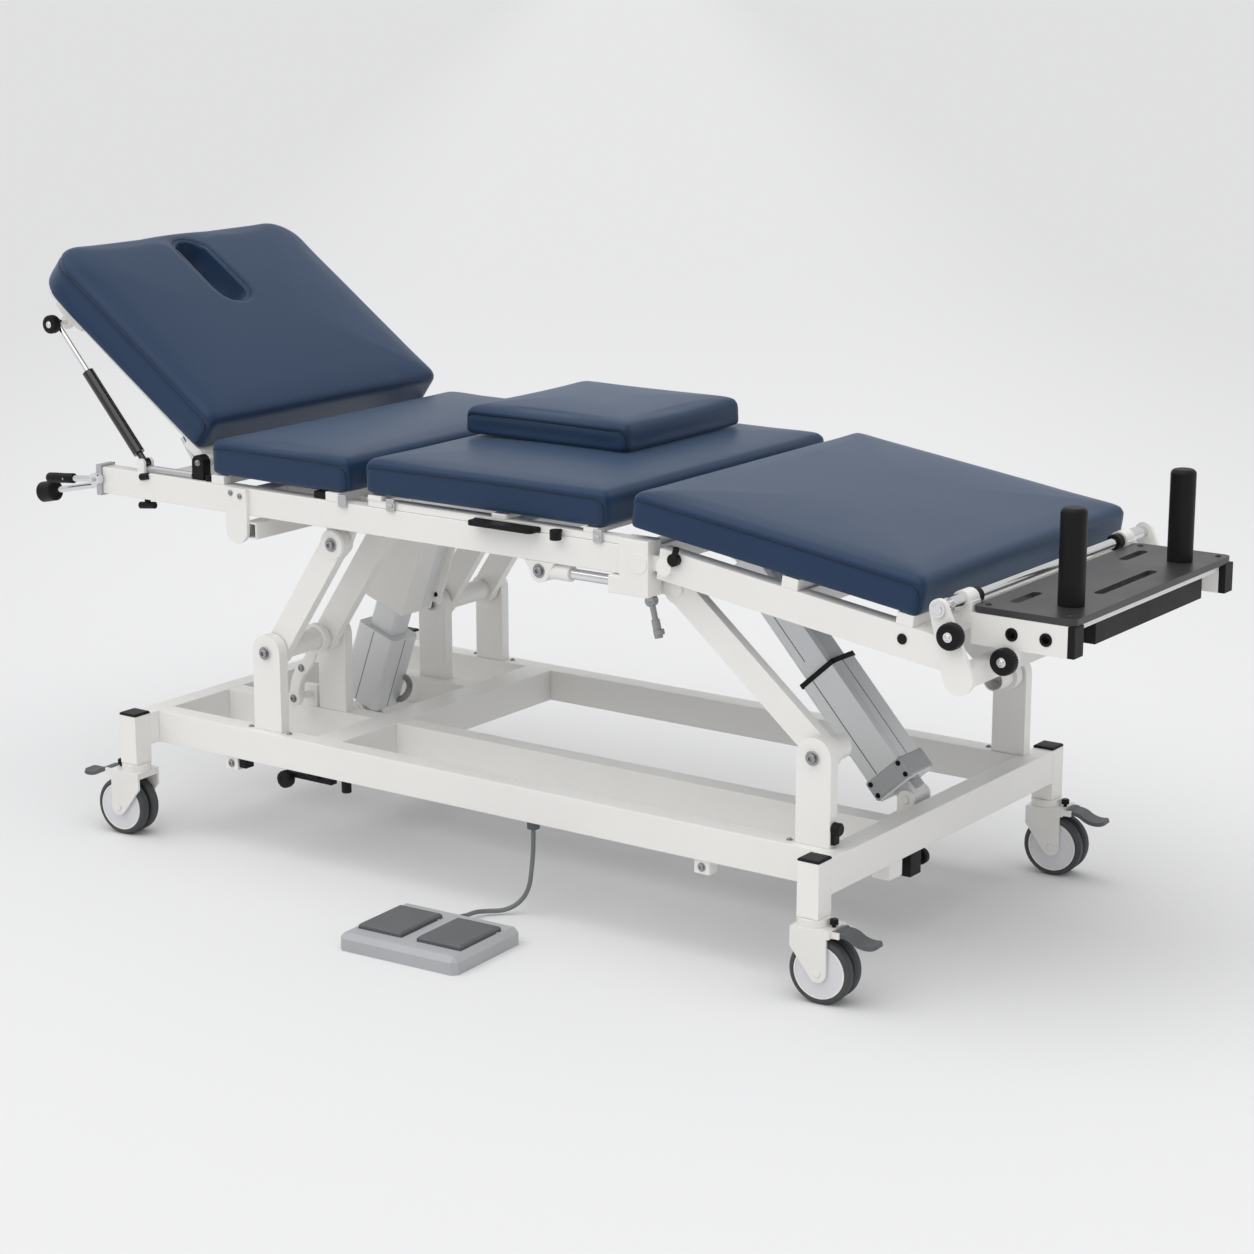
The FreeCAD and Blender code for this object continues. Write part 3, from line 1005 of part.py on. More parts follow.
# Leg section, drawn level about its hinge and turned down
def leg_section():
    """Hollow rails with hinge pins and end plates, cross tubes, pad bars and the pad."""
    at = ("leg_hinge_x", "0", "leg_hinge_z")
    rails = []
    for tag, sign in SIDES:
        low = across("top_rail_y", sign, "top_rail_width")
        rail = tube(f"leg_rail_{tag}",
                    ("leg_rail_start + leg_rail_end", "top_rail_width", "leg_rail_height"),
                    ("-leg_rail_start", low, "-leg_rail_height / 2"), "x")
        pin = rod(f"leg_pin_{tag}", "leg_pin_radius", "top_rail_width",
                  ("0", low, "0"), "y")
        cap_low, _ = spanning(sign, RAIL_OUT, f"{RAIL_OUT} + leg_cap_height")
        cap = rod(f"leg_cap_{tag}", "leg_cap_radius", "leg_cap_height", ("0", cap_low, "0"), "y")
        rails.append(fuse(f"leg_side_{tag}", rail, pin, cap))
    for name in ("leg_cross_a", "leg_cross_b"):
        rails.append(tube(f"{name}_tube", ("cross_width", f"2 * {RAIL_IN}", "cross_height"),
                          (f"{name} - cross_width / 2", f"-{RAIL_IN}",
                           "leg_rail_height / 2 - cross_height"), "y"))
        rails.append(box(f"{name}_bar",
                         ("support_width", f"2 * {RAIL_OUT}",
                          "leg_pad_lift - pad_gap - leg_rail_height / 2"),
                         (f"{name} - support_width / 2", f"-{RAIL_OUT}", "leg_rail_height / 2")))
    node("leg_frame", *rails, at=at, turn=S.leg_angle)
    body = S.pad_thickness - S.pad_crown
    pad = pad_solid(-S.leg_pad_start, S.leg_pad_length - S.leg_pad_start, S.leg_half_width,
                    S.leg_pad_lift, body, S.pad_corner, S.pad_corner, S.pad_crown)
    node("leg_pad", solid_of("leg_form", pad), at=at, turn=S.leg_angle)
    leg_end_plates()


def leg_end_plates():
    """Plates on the leg rails' ends that carry the footplate's hinge shaft."""
    plates = []
    for tag, sign in SIDES:
        low, _ = spanning(sign, f"{RAIL_OUT}", f"{RAIL_OUT} + tongue_thickness")
        y = S.top_rail_y + S.top_rail_width / 2
        y_low = y if sign > 0 else -y - S.tongue_thickness
        plate = plate_between((S.leg_end_x, S.leg_end_z, S.leg_end_radius),
                              (S.foot_hinge_x, S.foot_hinge_z, S.foot_boss_radius),
                              y_low, S.tongue_thickness)
        bore = Part.makeCylinder(S.foot_shaft_radius + S.pin_clearance, 4 * S.tongue_thickness,
                                 Vector(S.foot_hinge_x, y_low - S.tongue_thickness, S.foot_hinge_z),
                                 Vector(0, 1, 0))
        plates.append(solid_of(f"leg_end_{tag}", plate.cut(bore)))
    plates.append(tube("leg_end_tube", ("tongue_tube", f"2 * {RAIL_OUT}", "tongue_tube"),
                       ("leg_end_x - tongue_tube / 2", f"-{RAIL_OUT}", "leg_end_z - tongue_tube / 2"),
                       "y"))
    node("leg_end_plates", *plates)
    half = f"({RAIL_OUT} + tongue_thickness + 6)"
    node("foot_hinge_shaft", rod("foot_shaft", "foot_shaft_radius", f"2 * {half}",
                                 ("foot_hinge_x", f"-{half}", "foot_hinge_z"), "y"))


def plate_between(first, second, y_low, thickness):
    """A flat plate round two circles in the XZ plane, joined by their outer tangents."""
    (x1, z1, r1), (x2, z2, r2) = first, second
    reach = math.hypot(x2 - x1, z2 - z1)
    heading = math.atan2(z2 - z1, x2 - x1)
    lean = math.acos((r1 - r2) / reach)

    def rim(x, z, radius, angle):
        return Vector(x + radius * math.cos(angle), y_low, z + radius * math.sin(angle))

    a = rim(x1, z1, r1, heading + lean)
    b = rim(x2, z2, r2, heading + lean)
    c = rim(x2, z2, r2, heading - lean)
    d = rim(x1, z1, r1, heading - lean)
    edges = [Part.makeLine(a, b), Part.Arc(b, rim(x2, z2, r2, heading), c).toShape(),
             Part.makeLine(c, d), Part.Arc(d, rim(x1, z1, r1, heading + math.pi), a).toShape()]
    return Part.Face(Part.Wire(edges)).extrude(Vector(0, thickness, 0))


# Foot section
def foot_section():
    """Rails with hinge knuckles, the slotted plate, posts, caps, front panel and knobs."""
    rail_low = "(foot_rail_top - foot_rail_height)"
    rails = []
    trims = []
    for tag, sign in SIDES:
        low = across("foot_rail_y", sign, "foot_rail_width")
        rail = tube(f"foot_rail_{tag}_tube",
                    ("foot_rail_foot_x - foot_rail_head_x", "foot_rail_width", "foot_rail_height"),
                    ("foot_rail_head_x", low, rail_low), "x")
        holes = [rod(f"foot_rail_{tag}_hole_{index}", "rail_hole_radius", "foot_rail_width + 2",
                     (f"rail_hole_x + {index} * rail_hole_pitch", f"{low} - 1", "rail_hole_z"), "y")
                 for index in range(2)]
        drilled = cut(f"foot_rail_{tag}_drilled", rail, *holes)
        boss = rod(f"knuckle_{tag}_boss", "foot_boss_radius", "foot_rail_width",
                   ("foot_hinge_x", low, "foot_hinge_z"), "y")
        web = box(f"knuckle_{tag}_web",
                  ("foot_rail_head_x - foot_hinge_x", "foot_rail_width",
                   "foot_hinge_z - foot_rail_top + foot_boss_radius"),
                  ("foot_hinge_x", low, "foot_rail_top - foot_boss_radius"))
        bore = rod(f"knuckle_{tag}_bore", "foot_shaft_radius + pin_clearance", "foot_rail_width + 2",
                   ("foot_hinge_x", f"{low} - 1", "foot_hinge_z"), "y")
        rails.append(cut(f"foot_rail_{tag}", fuse(f"foot_rail_{tag}_body", drilled, boss, web), bore))
        trims.append(box(f"foot_cap_{tag}", ("foot_cap_thickness", "foot_rail_width",
                                             "foot_rail_height"), ("foot_rail_foot_x", low, rail_low)))
    inner = "(foot_rail_y - foot_rail_width / 2)"
    bar_x = "foot_rail_foot_x - front_panel_thickness"
    rails.append(box("foot_bar", ("front_panel_thickness", f"2 * {inner}", "foot_bar_height"),
                     (bar_x, f"-{inner}", "foot_rail_top - foot_bar_height")))
    rails.append(clamp_hanger(rail_low))
    node("foot_rails", *rails)
    panel = box("front_panel", ("front_panel_thickness", "2 * front_panel_half_width",
                                "front_panel_height"),
                (bar_x, "-front_panel_half_width",
                 "foot_rail_top - foot_bar_height - front_panel_height"))
    node("foot_plate", foot_plate())
    posts = []
    for tag, sign in SIDES:
        post = rod(f"foot_post_{tag}_bar", "foot_post_radius", "foot_post_height",
                   ("foot_post_x", f"{sign} * foot_post_y", "foot_rail_top + foot_plate_thickness"),
                   "z")
        top = S.foot_rail_top + S.foot_plate_thickness + S.foot_post_height
        posts.append(edged(f"foot_post_{tag}", post, S.foot_post_round,
                           lambda edge: edge.BoundBox.ZMin > top - 0.01, "Part::Fillet"))
    node("foot_trim", *trims, panel, *posts)
    foot_knobs()


def foot_plate():
    """The black plate with three strap slots and round corners."""
    slab = box("foot_slab", ("foot_plate_foot_x - foot_plate_head_x", "2 * foot_plate_half_width",
                             "foot_plate_thickness"),
               ("foot_plate_head_x", "-foot_plate_half_width", "foot_rail_top"))
    slab = edged("foot_slab_round", slab, S.foot_plate_corner, upright, "Part::Fillet")
    slots = []
    for name, x, y, length in (("near", "foot_slot_x", "-foot_slot_y", "foot_slot_length"),
                               ("far", "foot_slot_x", "foot_slot_y", "foot_slot_length"),
                               ("mid", "mid_slot_x", "0", "mid_slot_length")):
        run = f"({length} - foot_slot_width)"
        slots.append(box(f"slot_{name}_run", ("foot_slot_width", run, "foot_plate_thickness + 2"),
                         (f"{x} - foot_slot_width / 2", f"{y} - {run} / 2", "foot_rail_top - 1")))
        for tag, sign in SIDES:
            slots.append(rod(f"slot_{name}_{tag}", "foot_slot_width / 2", "foot_plate_thickness + 2",
                             (x, f"{y} + {sign} * {run} / 2", "foot_rail_top - 1"), "z"))
    return cut("foot_plate_body", slab, *slots)


def clamp_hanger(rail_low):
    """A round-ended block under the near foot rail that carries the clamp knob."""
    hanger_y = "-foot_rail_y - foot_rail_width / 2"
    hanger = box("clamp_hanger", ("3 * knob_stud_radius", "foot_rail_width",
                                  f"{rail_low} - clamp_knob_z"),
                 ("clamp_knob_x - 1.5 * knob_stud_radius", hanger_y, "clamp_knob_z"))
    tip = rod("clamp_hanger_tip", "1.5 * knob_stud_radius", "foot_rail_width",
              ("clamp_knob_x", hanger_y, "clamp_knob_z"), "y")
    return fuse("clamp_hanger_body", hanger, tip)


def foot_knobs():
    """The lock knob on the near end plate and the clamp knob under the near foot rail."""
    plate_out = f"({RAIL_OUT} + tongue_thickness)"
    head = rod("lock_head", "lock_knob_radius", "lock_knob_length",
               ("lock_knob_x", f"-{plate_out} - face_clearance - lock_knob_length", "lock_knob_z"), "y")
    node("foot_lock_knob", edged("lock_knob", head, 3, lambda edge: len(edge.Vertexes) == 1))
    hanger_y = "-foot_rail_y - foot_rail_width / 2"
    knob = rod("clamp_head", "lock_knob_radius", "lock_knob_length",
               ("clamp_knob_x", f"{hanger_y} - face_clearance - lock_knob_length", "clamp_knob_z"), "y")
    node("foot_clamp_knob", edged("clamp_knob", knob, 3, lambda edge: len(edge.Vertexes) == 1))


# Foot control and its cord
def foot_control():
    """The housing on the floor with two rocker pedals, drawn about its centre and turned."""
    at = ("control_x", "control_y", "0")
    turn = S.control_turn
    shell = box("control_block", ("control_length", "control_width", "control_height"),
                ("-control_length / 2", "-control_width / 2", "0"))
    shell = edged("control_edges", shell, S.control_edge,
                  lambda edge: edge.BoundBox.ZMax > 0.01, "Part::Chamfer")
    tools = []
    for name, sign in (("raise", -1), ("lower", 1)):
        middle = f"{sign} * pedal_offset"
        tools.append(box(f"pedal_room_{name}",
                         ("pedal_length + 2 * pedal_gap", "pedal_width + 2 * pedal_gap",
                          "control_height"),
                         (f"{middle} - pedal_length / 2 - pedal_gap",
                          "-pedal_width / 2 - pedal_gap",
                          "control_height + pedal_stand - pedal_thickness - pedal_room")))
        slab = box(f"pedal_{name}_slab", ("pedal_length", "pedal_width", "pedal_thickness"),
                   (f"{middle} - pedal_length / 2", "-pedal_width / 2",
                    "control_height + pedal_stand - pedal_thickness"))
        slab = edged(f"pedal_{name}_edges", slab, 3,
                     lambda edge: edge.BoundBox.ZMin > S.control_height + S.pedal_stand - 0.01)
        bore = rod(f"pedal_{name}_bore", "pedal_pin_radius + pin_clearance", "pedal_length + 2",
                   (f"{middle} - pedal_length / 2 - 1", "pedal_axle_y",
                    "control_height + pedal_stand - pedal_thickness / 2 - 2"), "x")
        node(f"pedal_{name}", cut(f"pedal_{name}_body", slab, bore), at=at, axis=(0, 0, 1), turn=turn)
    hollowed = cut("control_shell", shell, *tools)
    pins = [rod(f"pedal_pin_{name}", "pedal_pin_radius", "pedal_length + 2 * pedal_gap + 8",
                (f"{sign} * pedal_offset - pedal_length / 2 - pedal_gap - 4", "pedal_axle_y",
                 "control_height + pedal_stand - pedal_thickness / 2 - 2"), "x")
            for name, sign in (("raise", -1), ("lower", 1))]
    node("foot_control_housing", fuse("control_body", hollowed, *pins), at=at, axis=(0, 0, 1),
         turn=turn)


def control_point(x, y, z):
    """A point of the foot control's own frame in the table's frame."""
    angle = math.radians(S.control_turn)
    return Vector(S.control_x + x * math.cos(angle) - y * math.sin(angle),
                  S.control_y + x * math.sin(angle) + y * math.cos(angle), z)


def rounded_path(points):
    """Straight runs joined by tangent arcs, each as large as its two runs allow."""
    edges = []
    radii = []
    last = points[0]
    for before, corner, after in zip(points, points[1:], points[2:]):
        back = (before - corner).normalize()
        ahead = (after - corner).normalize()
        half_turn = (math.pi - back.getAngle(ahead)) / 2
        trim = 0.45 * min((before - corner).Length, (after - corner).Length)
        radius = trim / math.tan(half_turn)
        start = corner + back * trim
        stop = corner + ahead * trim
        bisector = (back + ahead).normalize()
        middle = corner + bisector * (radius / math.cos(half_turn) - radius)
        edges.append(Part.makeLine(last, start))
        edges.append(Part.Arc(start, middle, stop).toShape())
        radii.append(round(radius, 1))
        last = stop
    edges.append(Part.makeLine(last, points[-1]))
    return Part.Wire(edges), radii


def control_cord():
    """The cord from the foot control's relief along the floor and up to the base rail's gland."""
    rear = S.control_width / 2
    outlet_z = S.relief_radius + 2
    seat = control_point(S.cord_outlet_x, rear, outlet_z)
    tip = control_point(S.cord_outlet_x, rear + S.relief_length, outlet_z)
    axis = (tip - seat).normalize()
    relief = Part.makeCone(S.relief_radius, S.cord_radius + 1, S.relief_length, seat, axis)
    rail_low = S.base_top - S.base_tube_height
    gland_y = -S.base_rail_y
    mouth = Vector(S.gland_x, gland_y, rail_low - S.gland_length)
    gland = Part.makeCylinder(S.gland_radius, S.gland_length, mouth)
    node("cord_glands", solid_of("cord_relief", relief), solid_of("cord_gland", gland))
    low = S.cord_radius + 0.5
    rise = mouth.z - low
    points = [tip, tip + axis * 24, Vector(tip.x + 8.4, tip.y + 49.2, low + 3.5),
              mouth + Vector(-38.6, -33.4, 3 - rise), mouth + Vector(-18.9, -16.4, 15.5 - rise),
              mouth + Vector(-6, -5.3, 40.5 - rise), mouth + Vector(-2.3, -2, 79.5 - rise),
              mouth + Vector(0, 0, 117.5 - rise), mouth]
    path, radii = rounded_path(points)
    start = path.Edges[0]
    circle = Part.makeCircle(S.cord_radius, tip, axis)
    tube_shape = Part.Wire(path.Edges).makePipeShell([Part.Wire([circle])], True, False)
    wanted = math.pi * S.cord_radius ** 2 * path.Length
    print("cord length", round(path.Length, 1), "radii", radii,
          "volume ratio", round(tube_shape.Volume / wanted, 4), "first run", round(start.Length, 1))
    node("control_cord", solid_of("cord_tube", tube_shape))


# Castors, drawn about the swivel axis with the wheel trailing along +X
def castor(tag, x, y, heading):
    """A fork with its stem and axle, a twin wheel and a brake pedal."""
    at = (x, y, "0")
    axle = ("wheel_trail", "wheel_radius")
    fork_top = "(post_bottom - face_clearance)"
    leg_in = "(wheel_gap / 2 + wheel_width + wheel_side_gap)"
    leg_out = f"({leg_in} + fork_wall)"
    bridge_low = "(2 * wheel_radius + wheel_room)"
    pieces = [rod(f"fork_head_{tag}", "fork_head_radius",
                  f"{fork_top} - {bridge_low} - fork_bridge / 2",
                  ("0", "0", f"{bridge_low} + fork_bridge / 2"), "z"),
              rod(f"fork_stem_{tag}", "stem_radius", "stem_length + 1", ("0", "0", f"{fork_top} - 1"),
                  "z"),
              box(f"fork_bridge_{tag}",
                  ("wheel_trail + fork_head_radius + fork_leg_width / 2", f"2 * {leg_out}",
                   "fork_bridge"),
                  ("-fork_head_radius", f"-{leg_out}", bridge_low)),
              rod(f"fork_axle_{tag}", "axle_radius", f"2 * {leg_in} + fork_wall",
                  (axle[0], f"-{leg_in} - fork_wall / 2", axle[1]), "y")]
    barrel = ("wheel_trail + fork_leg_width / 2 + brake_barrel + 2",
              f"{bridge_low} + fork_bridge / 2")
    for side, sign in SIDES:
        low, _ = spanning(sign, leg_in, leg_out)
        pieces.append(solid_of(f"fork_leg_{tag}_{side}", fork_leg(sign)))
        ear_low, _ = spanning(sign, "brake_width / 2 + 0.5", "brake_width / 2 + 5")
        pieces.append(box(f"fork_ear_{tag}_{side}",
                          ("2 * brake_barrel + 6", "4.5", "2 * brake_barrel - 2"),
                          ("wheel_trail + fork_leg_width / 2 - 4", ear_low,
                           f"{bridge_low} + fork_bridge / 2 - brake_barrel + 1")))
    pieces.append(rod(f"brake_pin_{tag}", "brake_pin_radius", "brake_width + 6",
                      (barrel[0], "-brake_width / 2 - 3", barrel[1]), "y"))
    node(f"castor_fork_{tag}", fuse(f"fork_{tag}", *pieces), at=at, axis=(0, 0, 1), turn=heading)

    parts = []
    hub = rod(f"hub_{tag}_bar", "hub_radius", "wheel_gap + 2", (axle[0], "-wheel_gap / 2 - 1", axle[1]),
              "y")
    discs = [hub]
    for side, sign in SIDES:
        low, width = spanning(sign, "wheel_gap / 2", "wheel_gap / 2 + wheel_width")
        inner_low, inner_width = spanning(sign, "wheel_gap / 2 + disc_recess",
                                          "wheel_gap / 2 + wheel_width - disc_recess")
        tread = rod(f"tyre_{tag}_{side}_bar", "wheel_radius", width, (axle[0], low, axle[1]), "y")
        tread = edged(f"tyre_{tag}_{side}_edge", tread, S.tyre_bevel,
                      lambda edge: len(edge.Vertexes) == 1)
        seat = rod(f"tyre_{tag}_{side}_seat", "disc_radius", f"{width} + 2",
                   (axle[0], f"{low} - 1", axle[1]), "y")
        parts.append(cut(f"tyre_{tag}_{side}", tread, seat))
        discs.append(rod(f"disc_{tag}_{side}", "disc_radius", inner_width,
                         (axle[0], inner_low, axle[1]), "y"))
    bore = rod(f"wheel_bore_{tag}", "axle_radius + pin_clearance", "4 * wheel_width + wheel_gap",
               (axle[0], "-2 * wheel_width - wheel_gap / 2", axle[1]), "y")
    parts.append(cut(f"wheel_{tag}", fuse(f"wheel_{tag}_body", *discs), bore))
    node(f"castor_wheel_{tag}", *parts, at=at, axis=(0, 0, 1), turn=heading)

    roller = rod(f"brake_barrel_{tag}", "brake_barrel", "brake_width",
                 (barrel[0], "-brake_width / 2", barrel[1]), "y")
    paddle_shape, tip_x = brake_paddle()
    paddle = edged(f"brake_round_{tag}", solid_of(f"brake_paddle_{tag}", paddle_shape),
                   S.brake_tip_corner,
                   lambda edge: (edge.CenterOfMass.x > tip_x - S.brake_thickness
                                 and abs(edge.Length - S.brake_thickness) < 0.1),
                   "Part::Fillet")
    brake_bore = rod(f"brake_bore_{tag}", "brake_pin_radius + pin_clearance", "brake_width + 2",
                     (barrel[0], "-brake_width / 2 - 1", barrel[1]), "y")
    pedal = cut(f"brake_{tag}", fuse(f"brake_{tag}_body", roller, paddle), brake_bore)
    node(f"castor_brake_{tag}", pedal, at=at, axis=(0, 0, 1), turn=heading)


def fork_leg(sign):
    """A fork leg with an upright trailing edge and a slanted leading edge, round at the axle."""
    inside = S.wheel_gap / 2 + S.wheel_width + S.wheel_side_gap
    y_low = inside if sign > 0 else -inside - S.fork_wall
    top = 2 * S.wheel_radius + S.wheel_room + S.fork_bridge / 3
    r = S.fork_foot_radius
    axle = Vector(S.wheel_trail, y_low, S.wheel_radius)
    shoulder = Vector(-S.fork_head_radius, y_low, top - S.fork_leg_drop)
    away = shoulder - axle
    contact = math.atan2(away.z, away.x) + math.acos(r / away.Length)
    bottom = (contact + 2 * math.pi) / 2

    def on_foot(angle):
        """A point on the round foot."""
        return axle + Vector(r * math.cos(angle), 0, r * math.sin(angle))

    head = Vector(-S.fork_head_radius, y_low, top)
    back = Vector(S.wheel_trail + r, y_low, top)
    edges = [Part.makeLine(head, shoulder), Part.makeLine(shoulder, on_foot(contact)),
             Part.Arc(on_foot(contact), on_foot(bottom), on_foot(2 * math.pi)).toShape(),
             Part.makeLine(on_foot(2 * math.pi), back), Part.makeLine(back, head)]
    return Part.Face(Part.Wire(edges)).extrude(Vector(0, S.fork_wall, 0))


def brake_paddle():
    """A pedal whose side runs out level, over a crest and through a dip to a raised tip."""
    slope = math.radians(S.brake_slope)
    rise = math.radians(S.brake_tip_rise)
    thick = S.brake_thickness
    y_low = -S.brake_width / 2
    start_x = S.wheel_trail + S.fork_leg_width / 2 + S.brake_barrel + 2
    top = 2 * S.wheel_radius + S.wheel_room + S.fork_bridge / 2 + thick / 2
    crest = Vector(start_x + S.brake_lead, y_low, top - S.brake_crest_radius)
    apart = S.brake_crest_radius + S.brake_dip_radius
    dip = crest + Vector(apart * math.sin(slope), 0, apart * math.cos(slope))

    def over(centre, radius, angle):
        """A point round a centre, from straight above it towards the tip."""
        return centre + Vector(radius * math.sin(angle), 0, radius * math.cos(angle))

    def run(crest_radius, dip_radius):
        """The crest's arc and the dip's arc at one face of the pedal."""
        low = [math.pi + angle for angle in (slope, (slope - rise) / 2, -rise)]
        return (Part.Arc(over(crest, crest_radius, 0), over(crest, crest_radius, slope / 2),
                         over(crest, crest_radius, slope)).toShape(),
                Part.Arc(*[over(dip, dip_radius, angle) for angle in low]).toShape())

    upper = run(S.brake_crest_radius, S.brake_dip_radius)
    lower = run(S.brake_crest_radius - thick, S.brake_dip_radius + thick)
    tip = over(dip, S.brake_dip_radius, math.pi - rise)
    under_tip = over(dip, S.brake_dip_radius + thick, math.pi - rise)
    first = Vector(start_x, y_low, top)
    first_low = Vector(start_x, y_low, top - thick)
    edges = [Part.makeLine(first, over(crest, S.brake_crest_radius, 0)), *upper,
             Part.makeLine(tip, under_tip), *reversed(lower),
             Part.makeLine(over(crest, S.brake_crest_radius - thick, 0), first_low),
             Part.makeLine(first_low, first)]
    wire = Part.Wire(Part.__sortEdges__(edges))
    return Part.Face(wire).extrude(Vector(0, S.brake_width, 0)), tip.x


def castors():
    """A castor under each corner post."""
    for end, x_sign, turn in (("head", -1, 180), ("foot", 1, 0)):
        for tag, sign in SIDES:
            castor(f"{end}_{tag}", f"{x_sign} * post_span_x / 2", f"{sign} * post_span_y / 2",
                   S.castor_heading + turn)


base_frame()
lift_supports()
lift_arms()
head_actuator()
foot_actuator()
top_frame()
head_controls()
back_section()
gas_springs()
flat_pads()
carriage()
leg_section()
foot_section()
foot_control()
control_cord()
castors()
doc.recompute()

faults = [obj.Name for obj in doc.Objects if "Invalid" in obj.State or "Error" in obj.State]
for part in NODES:
    if part.Shape.isNull() or not part.Shape.isValid() or not part.Shape.Solids:
        faults.append(part.Label)
if faults:
    raise RuntimeError("faulty objects: " + ", ".join(faults))

os.makedirs("parts", exist_ok=True)
for part in NODES:
    part.Shape.exportStep(f"parts/{part.Label}.step")
print(len(NODES), "sub-parts,", sum(len(part.Shape.Solids) for part in NODES), "solids")
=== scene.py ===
"""Looks of a physiotherapy traction table: finishes, upholstered pads, fittings and studio.

Metres, +Z up, +X towards the foot end, the near side at -Y.  Pads and castor fittings are measured
on the frame's own nodes.  Other places are given in millimetres from the base's middle, which is
measured on its corner posts.  Sizes are fields of the class that makes a piece.
"""

import logging
import math
from dataclasses import dataclass, field
from enum import Enum
from typing import Callable, Dict, List, Optional, Sequence, Tuple

import bmesh
import bpy
import numpy as np
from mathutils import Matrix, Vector


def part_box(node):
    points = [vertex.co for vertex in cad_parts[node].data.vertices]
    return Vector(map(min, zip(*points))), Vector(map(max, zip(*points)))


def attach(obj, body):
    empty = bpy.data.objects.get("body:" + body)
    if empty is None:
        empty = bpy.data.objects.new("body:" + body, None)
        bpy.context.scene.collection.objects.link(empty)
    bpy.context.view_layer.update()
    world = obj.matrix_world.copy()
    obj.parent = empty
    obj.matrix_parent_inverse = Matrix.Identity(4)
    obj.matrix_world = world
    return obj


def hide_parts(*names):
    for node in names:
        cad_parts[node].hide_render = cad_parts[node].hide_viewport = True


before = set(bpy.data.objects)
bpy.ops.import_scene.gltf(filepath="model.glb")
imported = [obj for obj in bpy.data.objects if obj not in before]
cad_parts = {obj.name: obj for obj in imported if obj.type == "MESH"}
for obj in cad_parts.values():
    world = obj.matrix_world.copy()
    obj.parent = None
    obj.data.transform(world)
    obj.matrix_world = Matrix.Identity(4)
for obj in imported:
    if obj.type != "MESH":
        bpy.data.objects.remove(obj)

LOG = logging.getLogger("traction_table")
MM = 0.001
TAU = 2.0 * math.pi
SIDES: Tuple[Tuple[str, int], ...] = (("near", -1), ("far", 1))
Pair = Tuple[float, float]
Triple = Tuple[float, float, float]
Placed = Tuple[Triple, Triple]
Profile = Sequence[Pair]


class Facing(Enum):
    """The side of the table that a fitting points to."""

    NEAR = (0.0, -1.0, 0.0)
    FAR = (0.0, 1.0, 0.0)
    HEAD = (-1.0, 0.0, 0.0)
    FOOT = (1.0, 0.0, 0.0)
    UP = (0.0, 0.0, 1.0)
    DOWN = (0.0, 0.0, -1.0)

    @classmethod
    def outward(cls, sign: int) -> "Facing":
        """Away from the middle on the near (-1) or far (1) side."""
        return cls.FAR if sign > 0 else cls.NEAR


# Places and points
def corners(node: str) -> Tuple[np.ndarray, np.ndarray]:
    """Lowest and highest corner of a CAD node.

    Args:
        node: Name of the node.
    Returns:
        Two arrays of three coordinates.
    """
    low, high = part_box(node)
    return np.array(low), np.array(high)


def get_points(obj: bpy.types.Object) -> np.ndarray:
    """Vertices of an object's mesh.

    Args:
        obj: The object.
    Returns:
        Array of shape (count, 3).
    """
    flat = np.empty(len(obj.data.vertices) * 3)
    obj.data.vertices.foreach_get("co", flat)
    return flat.reshape(-1, 3)


def put_points(obj: bpy.types.Object, points: np.ndarray) -> None:
    """Set an object's vertices from an array of shape (count, 3)."""
    obj.data.vertices.foreach_set("co", points.astype(np.float32).ravel())
    obj.data.update()


@dataclass(frozen=True)
class Datum:
    """The middle of the base, from which the table's own sizes along X are given."""

    x: float

    @classmethod
    def of_base(cls) -> "Datum":
        """The datum midway between the corner posts."""
        low, high = corners("base_corner_posts")
        return cls(float(low[0] + high[0]) / 2)

    def at(self, x: float, y: float, z: float) -> np.ndarray:
        """A place given in millimetres from the base's middle."""
        return np.array([x * MM + self.x, y * MM, z * MM])


@dataclass(frozen=True)
class Tilt:
    """A flat frame turned about Y at a hinge, as the back and leg sections are."""

    x: float = 0.0
    z: float = 0.0
    degrees: float = 0.0

    @classmethod
    def about(cls, datum: Datum, hinge: Pair, degrees: float) -> "Tilt":
        """A frame turned about a hinge whose x and z are in millimetres from the base's middle."""
        spot = datum.at(hinge[0], 0.0, hinge[1])
        return cls(spot[0], spot[2], degrees)

    def place(self, local: np.ndarray) -> np.ndarray:
        """Turn points from the flat frame into the table's frame.

        Args:
            local: Array whose last axis holds x, y and z.
        Returns:
            Array of the same shape: x cos + z sin, y, z cos - x sin, moved to the hinge.
        """
        cos, sin = math.cos(math.radians(self.degrees)), math.sin(math.radians(self.degrees))
        x, y, z = local[..., 0], local[..., 1], local[..., 2]
        return np.stack([self.x + x * cos + z * sin, y, self.z + z * cos - x * sin], axis=-1)

    def aim(self, direction: Sequence[float]) -> np.ndarray:
        """Turn a direction from the flat frame into the table's frame."""
        return self.place(np.asarray(direction, float)) - np.array([self.x, 0.0, self.z])

    def flatten(self, world: np.ndarray) -> np.ndarray:
        """Turn points from the table's frame back into the flat frame.

        Args:
            world: Array whose last axis holds x, y and z.
        Returns:
            Array of the same shape.
        """
        cos, sin = math.cos(math.radians(self.degrees)), math.sin(math.radians(self.degrees))
        x, y, z = world[..., 0] - self.x, world[..., 1], world[..., 2] - self.z
        return np.stack([x * cos - z * sin, y, x * sin + z * cos], axis=-1)


